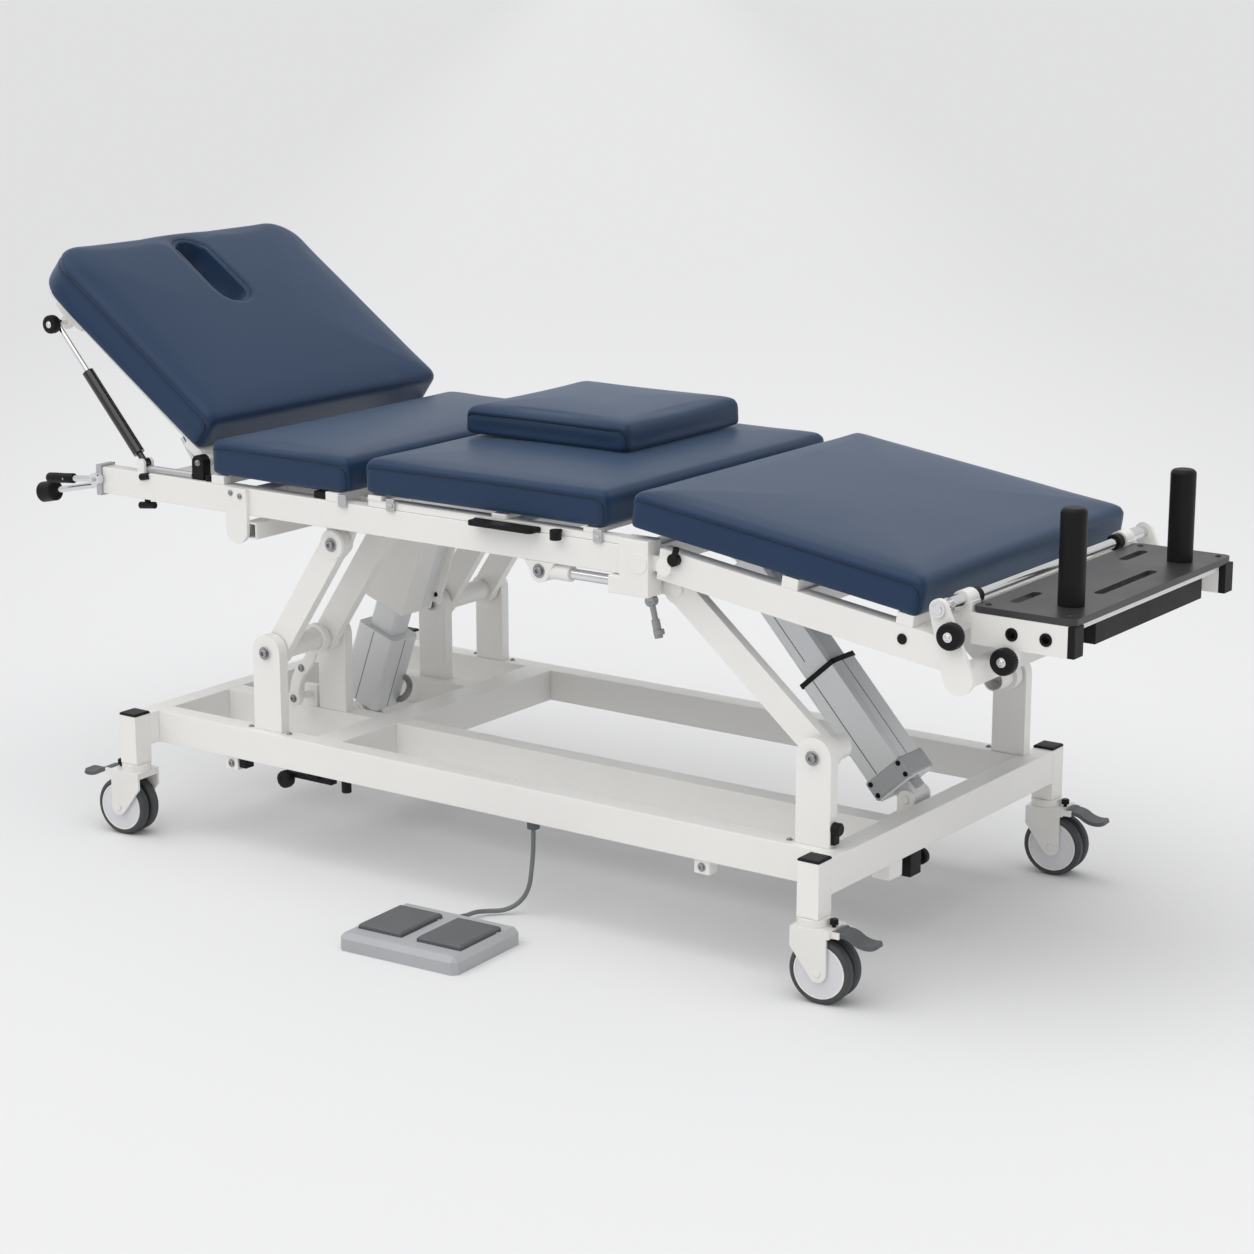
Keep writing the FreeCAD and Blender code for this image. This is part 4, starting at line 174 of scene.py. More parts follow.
# Surfaces on a grid
def grid_faces(rows: int, columns: int, wrap: bool) -> np.ndarray:
    """Quads of a grid of points.

    Args:
        rows: Number of points along the first parameter.
        columns: Number of points along the second parameter.
        wrap: Whether the second parameter closes on itself.
    Returns:
        Array of shape (quads, 4) of vertex numbers.
    """
    row = np.arange(rows - 1)[:, None]
    column = np.arange(columns if wrap else columns - 1)[None, :]
    after = (column + 1) % columns
    quads = [row * columns + column, row * columns + after,
             (row + 1) * columns + after, (row + 1) * columns + column]
    return np.stack(np.broadcast_arrays(*quads), axis=-1).reshape(-1, 4)


def surface(name: str, sheets: Sequence[np.ndarray], wrap: bool = True,
            sharp: float = 38.0) -> bpy.types.Object:
    """One mesh object from grids of points, with poles and seams merged.

    Args:
        name: Name of the object.
        sheets: Arrays of shape (rows, columns, 3), each closed at its ends.
        wrap: Whether each sheet's second parameter closes on itself.
        sharp: Angle in degrees above which an edge stays crisp.
    Returns:
        The object, at the origin, with its place in its mesh.
    """
    points, faces, used = [], [], 0
    for sheet in sheets:
        points.append(sheet.reshape(-1, 3))
        faces.append(grid_faces(sheet.shape[0], sheet.shape[1], wrap) + used)
        used += points[-1].shape[0]
    mesh = bpy.data.meshes.new(name)
    mesh.from_pydata(np.concatenate(points).tolist(), [], np.concatenate(faces).tolist())
    work = bmesh.new()
    work.from_mesh(mesh)
    bmesh.ops.remove_doubles(work, verts=work.verts, dist=1e-6)
    bmesh.ops.dissolve_degenerate(work, edges=work.edges, dist=1e-7)
    bmesh.ops.recalc_face_normals(work, faces=work.faces)
    work.to_mesh(mesh)
    work.free()
    mesh.polygons.foreach_set("use_smooth", np.ones(len(mesh.polygons), bool))
    mesh.set_sharp_from_angle(angle=math.radians(sharp))
    obj = bpy.data.objects.new(name, mesh)
    bpy.context.scene.collection.objects.link(obj)
    return obj


def frame_about(direction: Sequence[float]) -> Tuple[np.ndarray, np.ndarray, np.ndarray]:
    """Three unit directions, the first along the given one.

    Args:
        direction: The wanted axis.
    Returns:
        The axis and two directions square to it.
    """
    along = np.asarray(direction, float)
    along = along / np.linalg.norm(along)
    helper = np.array([0.0, 0.0, 1.0]) if abs(along[2]) < 0.9 else np.array([1.0, 0.0, 0.0])
    side = np.cross(helper, along)
    side = side / np.linalg.norm(side)
    return along, side, np.cross(along, side)


def turned(profile: Profile, centre: Sequence[float], direction: Sequence[float],
           count: int = 40, lobes: int = 0, depth: float = 0.0) -> np.ndarray:
    """A profile turned about an axis.

    The point at height h and angle a is centre + h axis + r (1 + depth cos(lobes a)) (cos a, sin a).

    Args:
        profile: Pairs of radius and height along the axis, with ends at radius 0 or closed on itself.
        centre: Where height 0 lies.
        direction: The axis.
        count: Points round the axis.
        lobes: Waves round the rim of a gripped piece.
        depth: Wave height as a share of the radius.
    Returns:
        Array of shape (profile points, count, 3).
    """
    along, side, up = frame_about(direction)
    radius, height = np.array(profile, float).T
    angle = np.arange(count) * TAU / count
    wave = 1.0 + depth * np.cos(lobes * angle)
    ring = np.cos(angle)[:, None] * side + np.sin(angle)[:, None] * up
    rim = (radius[:, None] * wave[None, :])[..., None] * ring[None]
    return np.asarray(centre, float) + height[:, None, None] * along + rim


def swept(path: np.ndarray, radius: float, count: int = 12) -> np.ndarray:
    """A round section carried along a path, closed at both ends.

    Args:
        path: Array of shape (points, 3).
        radius: Radius of the section.
        count: Points round the section.
    Returns:
        Array of shape (points + 2, count, 3); the first and last rows are the end poles.
    """
    tangent = np.gradient(path, axis=0)
    tangent = tangent / np.linalg.norm(tangent, axis=1, keepdims=True)
    helper = np.array([0.13, 0.31, 0.94])
    side = np.cross(helper, tangent)
    side = side / np.linalg.norm(side, axis=1, keepdims=True)
    up = np.cross(tangent, side)
    angle = np.arange(count) * TAU / count
    ring = (path[:, None] + radius * (np.cos(angle)[None, :, None] * side[:, None]
                                      + np.sin(angle)[None, :, None] * up[:, None]))
    poles = [np.repeat(end[None, None], count, axis=1) for end in (path[0], path[-1])]
    return np.concatenate([poles[0], ring, poles[1]], axis=0)


def bezier(points: Sequence[np.ndarray], count: int = 24) -> np.ndarray:
    """A smooth line drawn by four control points.

    Args:
        points: The four control points.
        count: Number of points on the line.
    Returns:
        Array of shape (count, 3) of the cubic (1-t)^3 a + 3 t (1-t)^2 b + 3 t^2 (1-t) c + t^3 d.
    """
    t = np.linspace(0.0, 1.0, count)[:, None]
    a, b, c, d = (np.asarray(point, float) for point in points)
    return (1 - t) ** 3 * a + 3 * t * (1 - t) ** 2 * b + 3 * t ** 2 * (1 - t) * c + t ** 3 * d


def rounded_outline(length: float, width: float, corner: Sequence[float],
                    per_corner: int = 10) -> np.ndarray:
    """A rectangle with round corners about the origin, from its +x +y corner anticlockwise.

    Args:
        length: Size along x.
        width: Size along y.
        corner: Corner radius at the +x end and at the -x end.
        per_corner: Points on each corner's arc.
    Returns:
        Array of shape (4 per_corner, 2).
    """
    arcs = []
    for start, sign_x, sign_y in ((0, 1, 1), (1, -1, 1), (2, -1, -1), (3, 1, -1)):
        radius = corner[0] if sign_x > 0 else corner[1]
        angle = (start + np.linspace(0.0, 1.0, per_corner)) * math.pi / 2
        arcs.append(np.stack([sign_x * (length / 2 - radius) + radius * np.cos(angle),
                              sign_y * (width / 2 - radius) + radius * np.sin(angle)], axis=-1))
    return np.concatenate(arcs)


def slab(length: float, width: float, corner: float, levels: Sequence[Pair],
         centre: Sequence[float], tilt: Optional[Tilt] = None) -> np.ndarray:
    """A block with a rounded outline whose edges follow a profile.

    Args:
        length: Size along x.
        width: Size along y.
        corner: Corner radius of the outline.
        levels: Pairs of height and inset from below to above.
        centre: Middle of the block's foot, in the flat frame.
        tilt: Frame that the block lies in.
    Returns:
        Array of rings, with a pole at each end.
    """
    rings = []
    for height, inset in levels:
        rounding = max(corner - inset, 0.15 * corner)
        outline = rounded_outline(length - 2 * inset, width - 2 * inset, (rounding, rounding))
        rings.append(np.column_stack([outline, np.full(len(outline), height)]))
    first, last = rings[0], rings[-1]
    poles = [np.tile([0.0, 0.0, ring[0, 2]], (len(ring), 1)) for ring in (first, last)]
    stack = np.stack([poles[0], *rings, poles[1]]) + np.asarray(centre, float)
    return tilt.place(stack) if tilt else stack


def mm(*values: float) -> np.ndarray:
    """An array in metres of values in millimetres."""
    return np.array(values, float) * MM


def in_metres(outline: Profile) -> Profile:
    """A profile in metres of one in millimetres."""
    return [(radius * MM, height * MM) for radius, height in outline]


def hoop(size: Triple, corner: float, wall: float, foot: Sequence[float], tilt: Tilt) -> np.ndarray:
    """A rectangular ring with round corners whose section closes on itself.

    Args:
        size: Length, width and height in millimetres.
        corner: Corner radius of its outline in millimetres.
        wall: Thickness of its wall in millimetres.
        foot: Middle of its lower face, in metres in the flat frame.
        tilt: Frame that the ring stands in.
    Returns:
        Array of five rings, the last equal to the first.
    """
    length, width, height = size
    rings = []
    for level, inset in ((0.0, wall), (0.0, 0.0), (height, 0.0), (height, wall), (0.0, wall)):
        rounding = max(corner - inset, 0.3 * corner)
        outline = rounded_outline(length - 2 * inset, width - 2 * inset, (rounding, rounding))
        rings.append(np.column_stack([outline, np.full(len(outline), level)]))
    return tilt.place(np.stack(rings) * MM + np.asarray(foot, float))


def block(size: Triple, foot: Sequence[float], tilt: Optional[Tilt] = None,
          edge: float = 0.8) -> np.ndarray:
    """A box with eased edges.

    Args:
        size: Length, width and height in millimetres.
        foot: Middle of its lower face, in metres in the flat frame.
        tilt: Frame that the box stands in.
        edge: Size of the easing in millimetres.
    Returns:
        Rings from the lower face to the upper one.
    """
    length, width, height = (value * MM for value in size)
    ease = min(edge * MM, 0.4 * min(length, width, height))
    return slab(length, width, ease, [(0.0, ease), (ease, 0.0), (height - ease, 0.0), (height, ease)],
                foot, tilt)


def barrel(radius: float, length: float, edge: float = 0.8) -> Profile:
    """Profile of a plain round piece with eased rims, in metres from sizes in millimetres."""
    return in_metres([(0, 0), (radius - edge, 0), (radius, edge), (radius, length - edge),
                      (radius - edge, length), (0, length)])


def bush(inner: float, outer: float, length: float) -> Profile:
    """Closed profile of a ring with a bore, in metres from sizes in millimetres."""
    return in_metres([(inner, 0), (outer, 0), (outer, length), (inner, length), (inner, 0)])


def ribbon(path: np.ndarray, side: Sequence[float], width: float, thickness: float,
           edge: float = 0.8 * MM) -> np.ndarray:
    """A flat section with eased corners carried along a path.

    The section's corners lie at half the width along the side direction and half the thickness along
    the path's normal, each cut off by the edge.

    Args:
        path: Array of shape (points, 3), square to the side direction.
        side: Direction of the section's width.
        width: Size along the side direction.
        thickness: Size across the path.
        edge: Size of the cut corners.
    Returns:
        Array of shape (points + 2, 8, 3) with a pole at each end.
    """
    across = np.asarray(side, float)
    normal = np.cross(np.gradient(path, axis=0), across)
    normal = normal / np.linalg.norm(normal, axis=1, keepdims=True)
    w, t, e = width / 2, thickness / 2, edge
    section = np.array([(w, t - e), (w - e, t), (e - w, t), (-w, t - e),
                        (-w, e - t), (e - w, -t), (w - e, -t), (w, e - t)])
    rings = path[:, None] + section[None, :, :1] * across + section[None, :, 1:] * normal[:, None]
    poles = [np.repeat(end[None, None], len(section), axis=1) for end in (path[0], path[-1])]
    return np.concatenate([poles[0], rings, poles[1]])


# Shader nodes
class Graph:
    """A node tree with short calls to add nodes and join them."""

    def __init__(self, tree: bpy.types.NodeTree) -> None:
        """Take over a node tree."""
        self.tree = tree

    def add(self, kind: str, inputs: Optional[Dict[str, object]] = None,
            **settings: object) -> bpy.types.Node:
        """A new node.

        Args:
            kind: Node type name.
            inputs: Values, or sockets to join, by input name or number.
            settings: Properties of the node.
        Returns:
            The node.
        """
        node = self.tree.nodes.new(kind)
        for key, value in settings.items():
            setattr(node, key, value)
        for key, value in (inputs or {}).items():
            if isinstance(value, bpy.types.NodeSocket):
                self.tree.links.new(value, node.inputs[key])
            else:
                node.inputs[key].default_value = value
        return node

    def math(self, operation: str, a: object, b: object = 0.0,
             clamp: bool = False) -> bpy.types.NodeSocket:
        """Result of one arithmetic step on values or sockets."""
        node = self.add("ShaderNodeMath", {0: a, 1: b}, operation=operation, use_clamp=clamp)
        return node.outputs[0]

    def ramp(self, value: bpy.types.NodeSocket, low: float, high: float, start: float = 0.0,
             end: float = 1.0) -> bpy.types.NodeSocket:
        """A value carried from one range into another with a smooth step.

        Args:
            value: The value.
            low: Start of its range.
            high: End of its range.
            start: Result at the start.
            end: Result at the end.
        Returns:
            Socket of the result.
        """
        node = self.add("ShaderNodeMapRange", {"Value": value, "From Min": low, "From Max": high,
                                               "To Min": start, "To Max": end},
                        interpolation_type="SMOOTHSTEP")
        return node.outputs["Result"]

    def mix(self, factor: object, a: object, b: object) -> bpy.types.NodeSocket:
        """A colour between two colours."""
        node = self.add("ShaderNodeMix", {0: factor, 6: a, 7: b}, data_type="RGBA")
        return node.outputs[2]


class Effects:
    """Node groups that several finishes share, each built once."""

    built: Dict[str, bpy.types.NodeTree] = {}

    @classmethod
    def get(cls, name: str, inputs: Dict[str, float], outputs: Sequence[str],
            fill: Callable[[Graph, bpy.types.Node, bpy.types.Node], None]) -> bpy.types.NodeTree:
        """A group by name, made on first use.

        Args:
            name: Name of the group.
            inputs: Value inputs with their defaults.
            outputs: Value outputs.
            fill: Function that joins the group's nodes.
        Returns:
            The node tree.
        """
        if name not in cls.built:
            tree = bpy.data.node_groups.new(name, "ShaderNodeTree")
            tree.interface.new_socket("Vector", in_out="INPUT", socket_type="NodeSocketVector")
            for key, value in inputs.items():
                socket = tree.interface.new_socket(key, in_out="INPUT", socket_type="NodeSocketFloat")
                socket.default_value = value
            for key in outputs:
                tree.interface.new_socket(key, in_out="OUTPUT", socket_type="NodeSocketFloat")
            graph = Graph(tree)
            fill(graph, graph.add("NodeGroupInput"), graph.add("NodeGroupOutput"))
            cls.built[name] = tree
        return cls.built[name]

    @classmethod
    def grain(cls) -> bpy.types.NodeTree:
        """Fine cells and pores, as on moulded plastic, powder coat and leatherette.

        Returns:
            The group, with one height.
        """
        def fill(graph: Graph, given: bpy.types.Node, wanted: bpy.types.Node) -> None:
            """Cells from a distance texture softened by fine noise.

            Args:
                graph: The group's nodes.
                given: The group's inputs.
                wanted: Its outputs.
            """
            vector, scale = given.outputs["Vector"], given.outputs["Scale"]
            cells = graph.add("ShaderNodeTexVoronoi", {"Vector": vector, "Scale": scale})
            noise = graph.add("ShaderNodeTexNoise", {"Vector": vector, "Scale": graph.math(
                "MULTIPLY", scale, 2.3), "Detail": 3.0, "Roughness": 0.6})
            soft = graph.math("MULTIPLY", noise.outputs[0], given.outputs["Softness"])
            height = graph.math("ADD", graph.ramp(cells.outputs["Distance"], 0.0, 0.7), soft)
            graph.tree.links.new(height, wanted.inputs["Height"])
        return cls.get("fine_grain", {"Scale": 600.0, "Softness": 0.5}, ["Height"], fill)

    @classmethod
    def handling(cls) -> bpy.types.NodeTree:
        """Faint uneven patches where hands, cloths and dust have been.

        Returns:
            The group, with the share of the second colour.
        """
        def fill(graph: Graph, given: bpy.types.Node, wanted: bpy.types.Node) -> None:
            """Two sizes of noise multiplied together.

            Args:
                graph: The group's nodes.
                given: The group's inputs.
                wanted: Its outputs.
            """
            vector, scale = given.outputs["Vector"], given.outputs["Scale"]
            wide = graph.add("ShaderNodeTexNoise", {"Vector": vector, "Scale": scale, "Detail": 4.0})
            fine = graph.add("ShaderNodeTexNoise", {"Vector": vector, "Scale": graph.math(
                "MULTIPLY", scale, 9.0), "Detail": 6.0, "Roughness": 0.65})
            patch = graph.math("MULTIPLY", graph.ramp(wide.outputs[0], 0.35, 0.7), fine.outputs[0])
            graph.tree.links.new(patch, wanted.inputs["Patch"])
        return cls.get("handling_marks", {"Scale": 4.0}, ["Patch"], fill)

    @classmethod
    def brushed(cls) -> bpy.types.NodeTree:
        """Fine lines drawn along one direction of a metal.

        Returns:
            The group, with one height.
        """
        def fill(graph: Graph, given: bpy.types.Node, wanted: bpy.types.Node) -> None:
            """Noise on coordinates stretched along the drawing direction.

            Args:
                graph: The group's nodes.
                given: The group's inputs.
                wanted: Its outputs.
            """
            noise = graph.add("ShaderNodeTexNoise", {"Vector": given.outputs["Vector"],
                                                     "Scale": given.outputs["Scale"],
                                                     "Detail": 5.0, "Roughness": 0.7})
            graph.tree.links.new(noise.outputs[0], wanted.inputs["Line"])
        return cls.get("drawn_lines", {"Scale": 60.0}, ["Line"], fill)


@dataclass(frozen=True)
class Finish:
    """A surface finish: colour with faint handling marks over a fine grain."""

    name: str
    colour: Triple
    tint: Triple
    roughness: float
    spread: float
    grain_scale: float
    grain_depth: float
    metallic: float = 0.0
    coat: float = 0.0
    coat_roughness: float = 0.1
    patch_scale: float = 5.0
    stretch: Triple = (1.0, 1.0, 1.0)
    gloss: float = 0.5

    def material(self) -> bpy.types.Material:
        """The finish as a material, made on first use."""
        found = bpy.data.materials.get(self.name)
        return found or self.build()

    def shader(self) -> Tuple[bpy.types.Material, Graph, bpy.types.Node]:
        """A new material with its shader, the constants set on the shader's own sockets.

        Returns:
            The material, its nodes and its shader.
        """
        material = bpy.data.materials.new(self.name)
        material.use_nodes = True
        graph = Graph(material.node_tree)
        shader = material.node_tree.nodes["Principled BSDF"]
        shader.inputs["Metallic"].default_value = self.metallic
        shader.inputs["Specular IOR Level"].default_value = self.gloss
        shader.inputs["Coat Weight"].default_value = self.coat
        shader.inputs["Coat Roughness"].default_value = self.coat_roughness
        material.diffuse_color = (*self.colour, 1.0)
        return material, graph, shader

    def group(self, graph: Graph, tree: bpy.types.NodeTree, vector: bpy.types.NodeSocket,
              **values: float) -> bpy.types.Node:
        """A shared effect placed in this material with its own values.

        Args:
            graph: The material's nodes.
            tree: The effect.
            vector: Coordinates that it reads.
            values: Its inputs by name.
        Returns:
            The effect's node.
        """
        node = graph.add("ShaderNodeGroup", node_tree=tree)
        graph.tree.links.new(vector, node.inputs["Vector"])
        for key, value in values.items():
            node.inputs[key].default_value = value
        return node

    def marks(self, graph: Graph, shader: bpy.types.Node,
              where: bpy.types.NodeSocket) -> bpy.types.NodeSocket:
        """Handling marks, which also make the surface rougher.

        Args:
            graph: The material's nodes.
            shader: Its shader.
            where: Coordinates that the marks follow.
        Returns:
            Socket of the marks.
        """
        patch = self.group(graph, Effects.handling(), where, Scale=self.patch_scale).outputs[0]
        rough = graph.math("MULTIPLY_ADD", patch, self.spread)
        rough.node.inputs[2].default_value = self.roughness
        graph.tree.links.new(rough, shader.inputs["Roughness"])
        return patch

    def bump(self, graph: Graph, shader: bpy.types.Node, height: bpy.types.NodeSocket,
             depth: float) -> None:
        """Feed a height into the shader's normal."""
        node = graph.add("ShaderNodeBump", {"Height": height, "Strength": 1.0, "Distance": depth})
        graph.tree.links.new(node.outputs[0], shader.inputs["Normal"])

    def build(self) -> bpy.types.Material:
        """Colour and roughness from the handling marks, relief from the grain.

        Returns:
            The material.
        """
        material, graph, shader = self.shader()
        where = graph.add("ShaderNodeTexCoord").outputs["Object"]
        place = graph.add("ShaderNodeMapping", {"Vector": where, "Scale": self.stretch}).outputs[0]
        shade = graph.mix(self.marks(graph, shader, where), (*self.colour, 1), (*self.tint, 1))
        graph.tree.links.new(shade, shader.inputs["Base Color"])
        relief = Effects.brushed() if self.metallic > 0.5 else Effects.grain()
        height = self.group(graph, relief, place, Scale=self.grain_scale).outputs[0]
        self.bump(graph, shader, height, self.grain_depth)
        return material


@dataclass(frozen=True)
class Ribbed(Finish):
    """A rubber tread with straight ribs across it."""

    pitch: float = 4.2 * MM
    rib_depth: float = 0.5 * MM

    def build(self) -> bpy.types.Material:
        """The grain of the finish under a row of ribs across Y.

        Returns:
            The material.
        """
        material = super().build()
        graph = Graph(material.node_tree)
        shader = material.node_tree.nodes["Principled BSDF"]
        where = graph.add("ShaderNodeTexCoord").outputs["Object"]
        across = graph.add("ShaderNodeSeparateXYZ", {0: where}).outputs["Y"]
        wave = graph.math("SINE", graph.math("MULTIPLY", across, TAU / self.pitch))
        under = shader.inputs["Normal"].links[0].from_socket
        bump = graph.add("ShaderNodeBump", {"Height": wave, "Distance": self.rib_depth / 2,
                                            "Normal": under})
        graph.tree.links.new(bump.outputs[0], shader.inputs["Normal"])
        return material


@dataclass(frozen=True)
class Leatherette(Finish):
    """Stitched leatherette: pored grain, a sewn seam whose groove is darkened towards the thread colour as
    painted shade, and a row of stitches on each side of it.
    """

    thread: Triple = (0.006, 0.010, 0.024)
    bloom: float = 0.22
    bloom_tint: Triple = (0.62, 0.78, 1.0)
    bloom_roughness: float = 0.45
    pore_softness: float = 0.7
    stitch_pitch: float = 5.0 * MM
    stitch_length: float = 0.62
    stitch_offset: float = 3.4 * MM
    stitch_half: float = 1.0 * MM
    stitch_core: float = 0.3
    stitch_height: float = 0.5 * MM
    stitch_shade: float = 0.85
    seam_half: float = 1.8 * MM
    seam_depth: float = 2.2 * MM
    # Share of the thread colour painted into the seam's groove as shade.
    groove_painted_shade: float = 0.9

    def build(self) -> bpy.types.Material:
        """Seam and stitches follow the pad's own attributes for distance from and along its seam.

        Returns:
            The material.
        """
        material, graph, shader = self.shader()
        shader.inputs["Sheen Weight"].default_value = self.bloom
        shader.inputs["Sheen Roughness"].default_value = self.bloom_roughness
        shader.inputs["Sheen Tint"].default_value = (*self.bloom_tint, 1.0)
        where = graph.add("ShaderNodeTexCoord").outputs["Object"]
        away = graph.add("ShaderNodeAttribute", attribute_name="seam").outputs["Fac"]
        along = graph.add("ShaderNodeAttribute", attribute_name="run").outputs["Fac"]
        cells = self.group(graph, Effects.grain(), where, Scale=self.grain_scale,
                           Softness=self.pore_softness).outputs[0]
        groove = graph.ramp(graph.math("ABSOLUTE", away), 0.0, self.seam_half, 1.0, 0.0)
        beside = graph.math("ABSOLUTE", graph.math("SUBTRACT", graph.math("ABSOLUTE", away),
                                                   self.stitch_offset))
        beat = graph.math("FRACT", graph.math("DIVIDE", along, self.stitch_pitch))
        dash = graph.math("LESS_THAN", beat, self.stitch_length)
        row = graph.ramp(beside, self.stitch_core * self.stitch_half, self.stitch_half, 1.0, 0.0)
        stitch = graph.math("MULTIPLY", row, dash)
        plain = graph.mix(self.marks(graph, shader, where), (*self.colour, 1), (*self.tint, 1))
        # Painted shade: the seam's groove is darkened towards the thread colour, standing for the shade in
        # its crease.
        painted_groove = graph.mix(graph.math("MULTIPLY", groove, self.groove_painted_shade), plain, (*self.thread, 1))
        sewn = graph.mix(graph.math("MULTIPLY", stitch, self.stitch_shade), painted_groove, (*self.thread, 1))
        graph.tree.links.new(sewn, shader.inputs["Base Color"])
        pores = graph.math("MULTIPLY", cells, self.grain_depth)
        dip = graph.math("MULTIPLY", groove, -self.seam_depth)
        proud = graph.math("MULTIPLY", stitch, self.stitch_height)
        height = graph.math("ADD", graph.math("ADD", pores, dip), proud)
        self.bump(graph, shader, height, 1.0)
        return material


PAINT = Finish(
    "warm_white_powder_coat", (0.86, 0.848, 0.82), (0.83, 0.818, 0.79),
    roughness=0.36, spread=0.10, grain_scale=900.0, grain_depth=0.00002, coat=0.25, coat_roughness=0.18)
CHROME = Finish(
    "bright_chrome", (0.78, 0.78, 0.79), (0.70, 0.70, 0.71),
    roughness=0.10, spread=0.12, grain_scale=180.0, grain_depth=0.00001,
    metallic=1.0, patch_scale=20.0, stretch=(1.0, 6.0, 6.0))
SATIN = Finish(
    "satin_anodised_aluminium", (0.56, 0.565, 0.575), (0.50, 0.505, 0.515),
    roughness=0.36, spread=0.10, grain_scale=160.0, grain_depth=0.00002,
    metallic=0.85, stretch=(6.0, 6.0, 0.6))
STEEL = Finish(
    "plain_steel", (0.36, 0.36, 0.365), (0.30, 0.30, 0.305),
    roughness=0.24, spread=0.14, grain_scale=180.0, grain_depth=0.00001, metallic=1.0, patch_scale=30.0)
SILVER = Finish(
    "silver_paint", (0.75, 0.755, 0.765), (0.71, 0.715, 0.725),
    roughness=0.34, spread=0.10, grain_scale=700.0, grain_depth=0.00002,
    metallic=0.3, coat=0.15, coat_roughness=0.2)
# Lighter than the other blacks: partly the board's own tone and partly painted highlight for the sheen on
# its top.
BOARD_PAINTED_SHEEN = Finish(
    "black_board", (0.034, 0.034, 0.035), (0.042, 0.042, 0.043),
    roughness=0.34, spread=0.12, grain_scale=1200.0, grain_depth=0.00003, patch_scale=9.0)
BLACK = Finish(
    "fine_grained_black", (0.008, 0.008, 0.0085), (0.013, 0.013, 0.0135),
    roughness=0.40, spread=0.16, grain_scale=1400.0, grain_depth=0.00004, patch_scale=14.0, gloss=0.16)
GLOSS_BLACK = Finish(
    "glossy_black_tube", (0.006, 0.006, 0.007), (0.012, 0.012, 0.013),
    roughness=0.16, spread=0.1, grain_scale=600.0, grain_depth=0.00001,
    coat=0.5, coat_roughness=0.06, patch_scale=14.0)
PALE_GREY = Finish(
    "light_grey_moulding", (0.42, 0.43, 0.445), (0.38, 0.39, 0.405),
    roughness=0.42, spread=0.12, grain_scale=1500.0, grain_depth=0.00003, patch_scale=10.0)
DARK_GREY = Finish(
    "dark_grey_moulding", (0.085, 0.09, 0.098), (0.11, 0.115, 0.12),
    roughness=0.48, spread=0.12, grain_scale=1300.0, grain_depth=0.00004, patch_scale=16.0)
TREAD = Ribbed(
    "ribbed_pedal_rubber", (0.11, 0.114, 0.122), (0.13, 0.134, 0.142),
    roughness=0.55, spread=0.12, grain_scale=1100.0, grain_depth=0.00004, patch_scale=18.0)
TYRE = Finish(
    "dark_tyre", (0.045, 0.048, 0.052), (0.07, 0.073, 0.076),
    roughness=0.58, spread=0.14, grain_scale=900.0, grain_depth=0.00005, patch_scale=22.0)
ENAMEL = Finish(
    "white_castor_enamel", (0.80, 0.79, 0.76), (0.74, 0.73, 0.70),
    roughness=0.30, spread=0.1, grain_scale=800.0, grain_depth=0.00001, coat=0.3, coat_roughness=0.12)
HUB_GREY = Finish(
    "light_wheel_disc", (0.70, 0.70, 0.73), (0.64, 0.64, 0.67),
    roughness=0.42, spread=0.12, grain_scale=1100.0, grain_depth=0.00002, patch_scale=16.0)
CORD_GREY = Finish(
    "grey_cord_jacket", (0.16, 0.165, 0.172), (0.2, 0.205, 0.21),
    roughness=0.46, spread=0.12, grain_scale=900.0, grain_depth=0.00003, patch_scale=30.0)
BRAID = Finish(
    "braided_cable", (0.20, 0.20, 0.20), (0.42, 0.42, 0.41),
    roughness=0.5, spread=0.2, grain_scale=420.0, grain_depth=0.0006, patch_scale=60.0)
LEATHER = Leatherette(
    "navy_leatherette", (0.011, 0.033, 0.081), (0.0125, 0.036, 0.087),
    roughness=0.36, spread=0.08, grain_scale=520.0, grain_depth=0.00006, patch_scale=3.0, gloss=0.24)


def dress(obj: bpy.types.Object, finish: Finish) -> None:
    """Give an object with a mesh or a curve one finish in place of its materials."""
    obj.data.materials.clear()
    obj.data.materials.append(finish.material())


class Slot(Enum):
    """The record's material slots."""

    PAINT = "white_paint"
    CHROME = "chrome"
    ALUMINIUM = "aluminium"
    BLACK = "black_plastic"
    GREY = "grey_plastic"
    RUBBER = "dark_rubber"
    LEATHER = "blue_leather"
    CASTOR = "castor_white"
    TYRE = "castor_tyre"


def fit(obj: bpy.types.Object, body: str, finish: Finish) -> None:
    """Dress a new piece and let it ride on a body.

    Args:
        obj: The piece.
        body: Body that carries it.
        finish: Its finish.
    """
    dress(obj, finish)
    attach(obj, body)
    LOG.info("fitted %s on %s", obj.name, body)


def ease_edges(node: str, finish: Finish, width: float, reach: float = 1e-5, flat: float = 0.5,
               crease: float = 40.0) -> None:
    """Dress a CAD node and round its edges with live modifiers.

    Args:
        node: Name of the node.
        finish: Its finish.
        width: Width of the rounding.
        reach: Distance within which corners of loose triangles are joined.
        flat: Angle in degrees below which neighbouring faces become one.
        crease: Angle in degrees above which an edge is rounded.
    """
    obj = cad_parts[node]
    dress(obj, finish)
    weld = obj.modifiers.new("join", "WELD")
    weld.merge_threshold = reach
    flats = obj.modifiers.new("flats", "DECIMATE")
    flats.decimate_type = "DISSOLVE"
    flats.angle_limit = math.radians(flat)
    bevel = obj.modifiers.new("edges", "BEVEL")
    bevel.width = width
    bevel.segments = 2
    bevel.limit_method = "ANGLE"
    bevel.angle_limit = math.radians(crease)
    even = obj.modifiers.new("shading", "WEIGHTED_NORMAL")
    even.mode = "FACE_AREA"
    even.keep_sharp = True
    LOG.info("dressed %s", node)


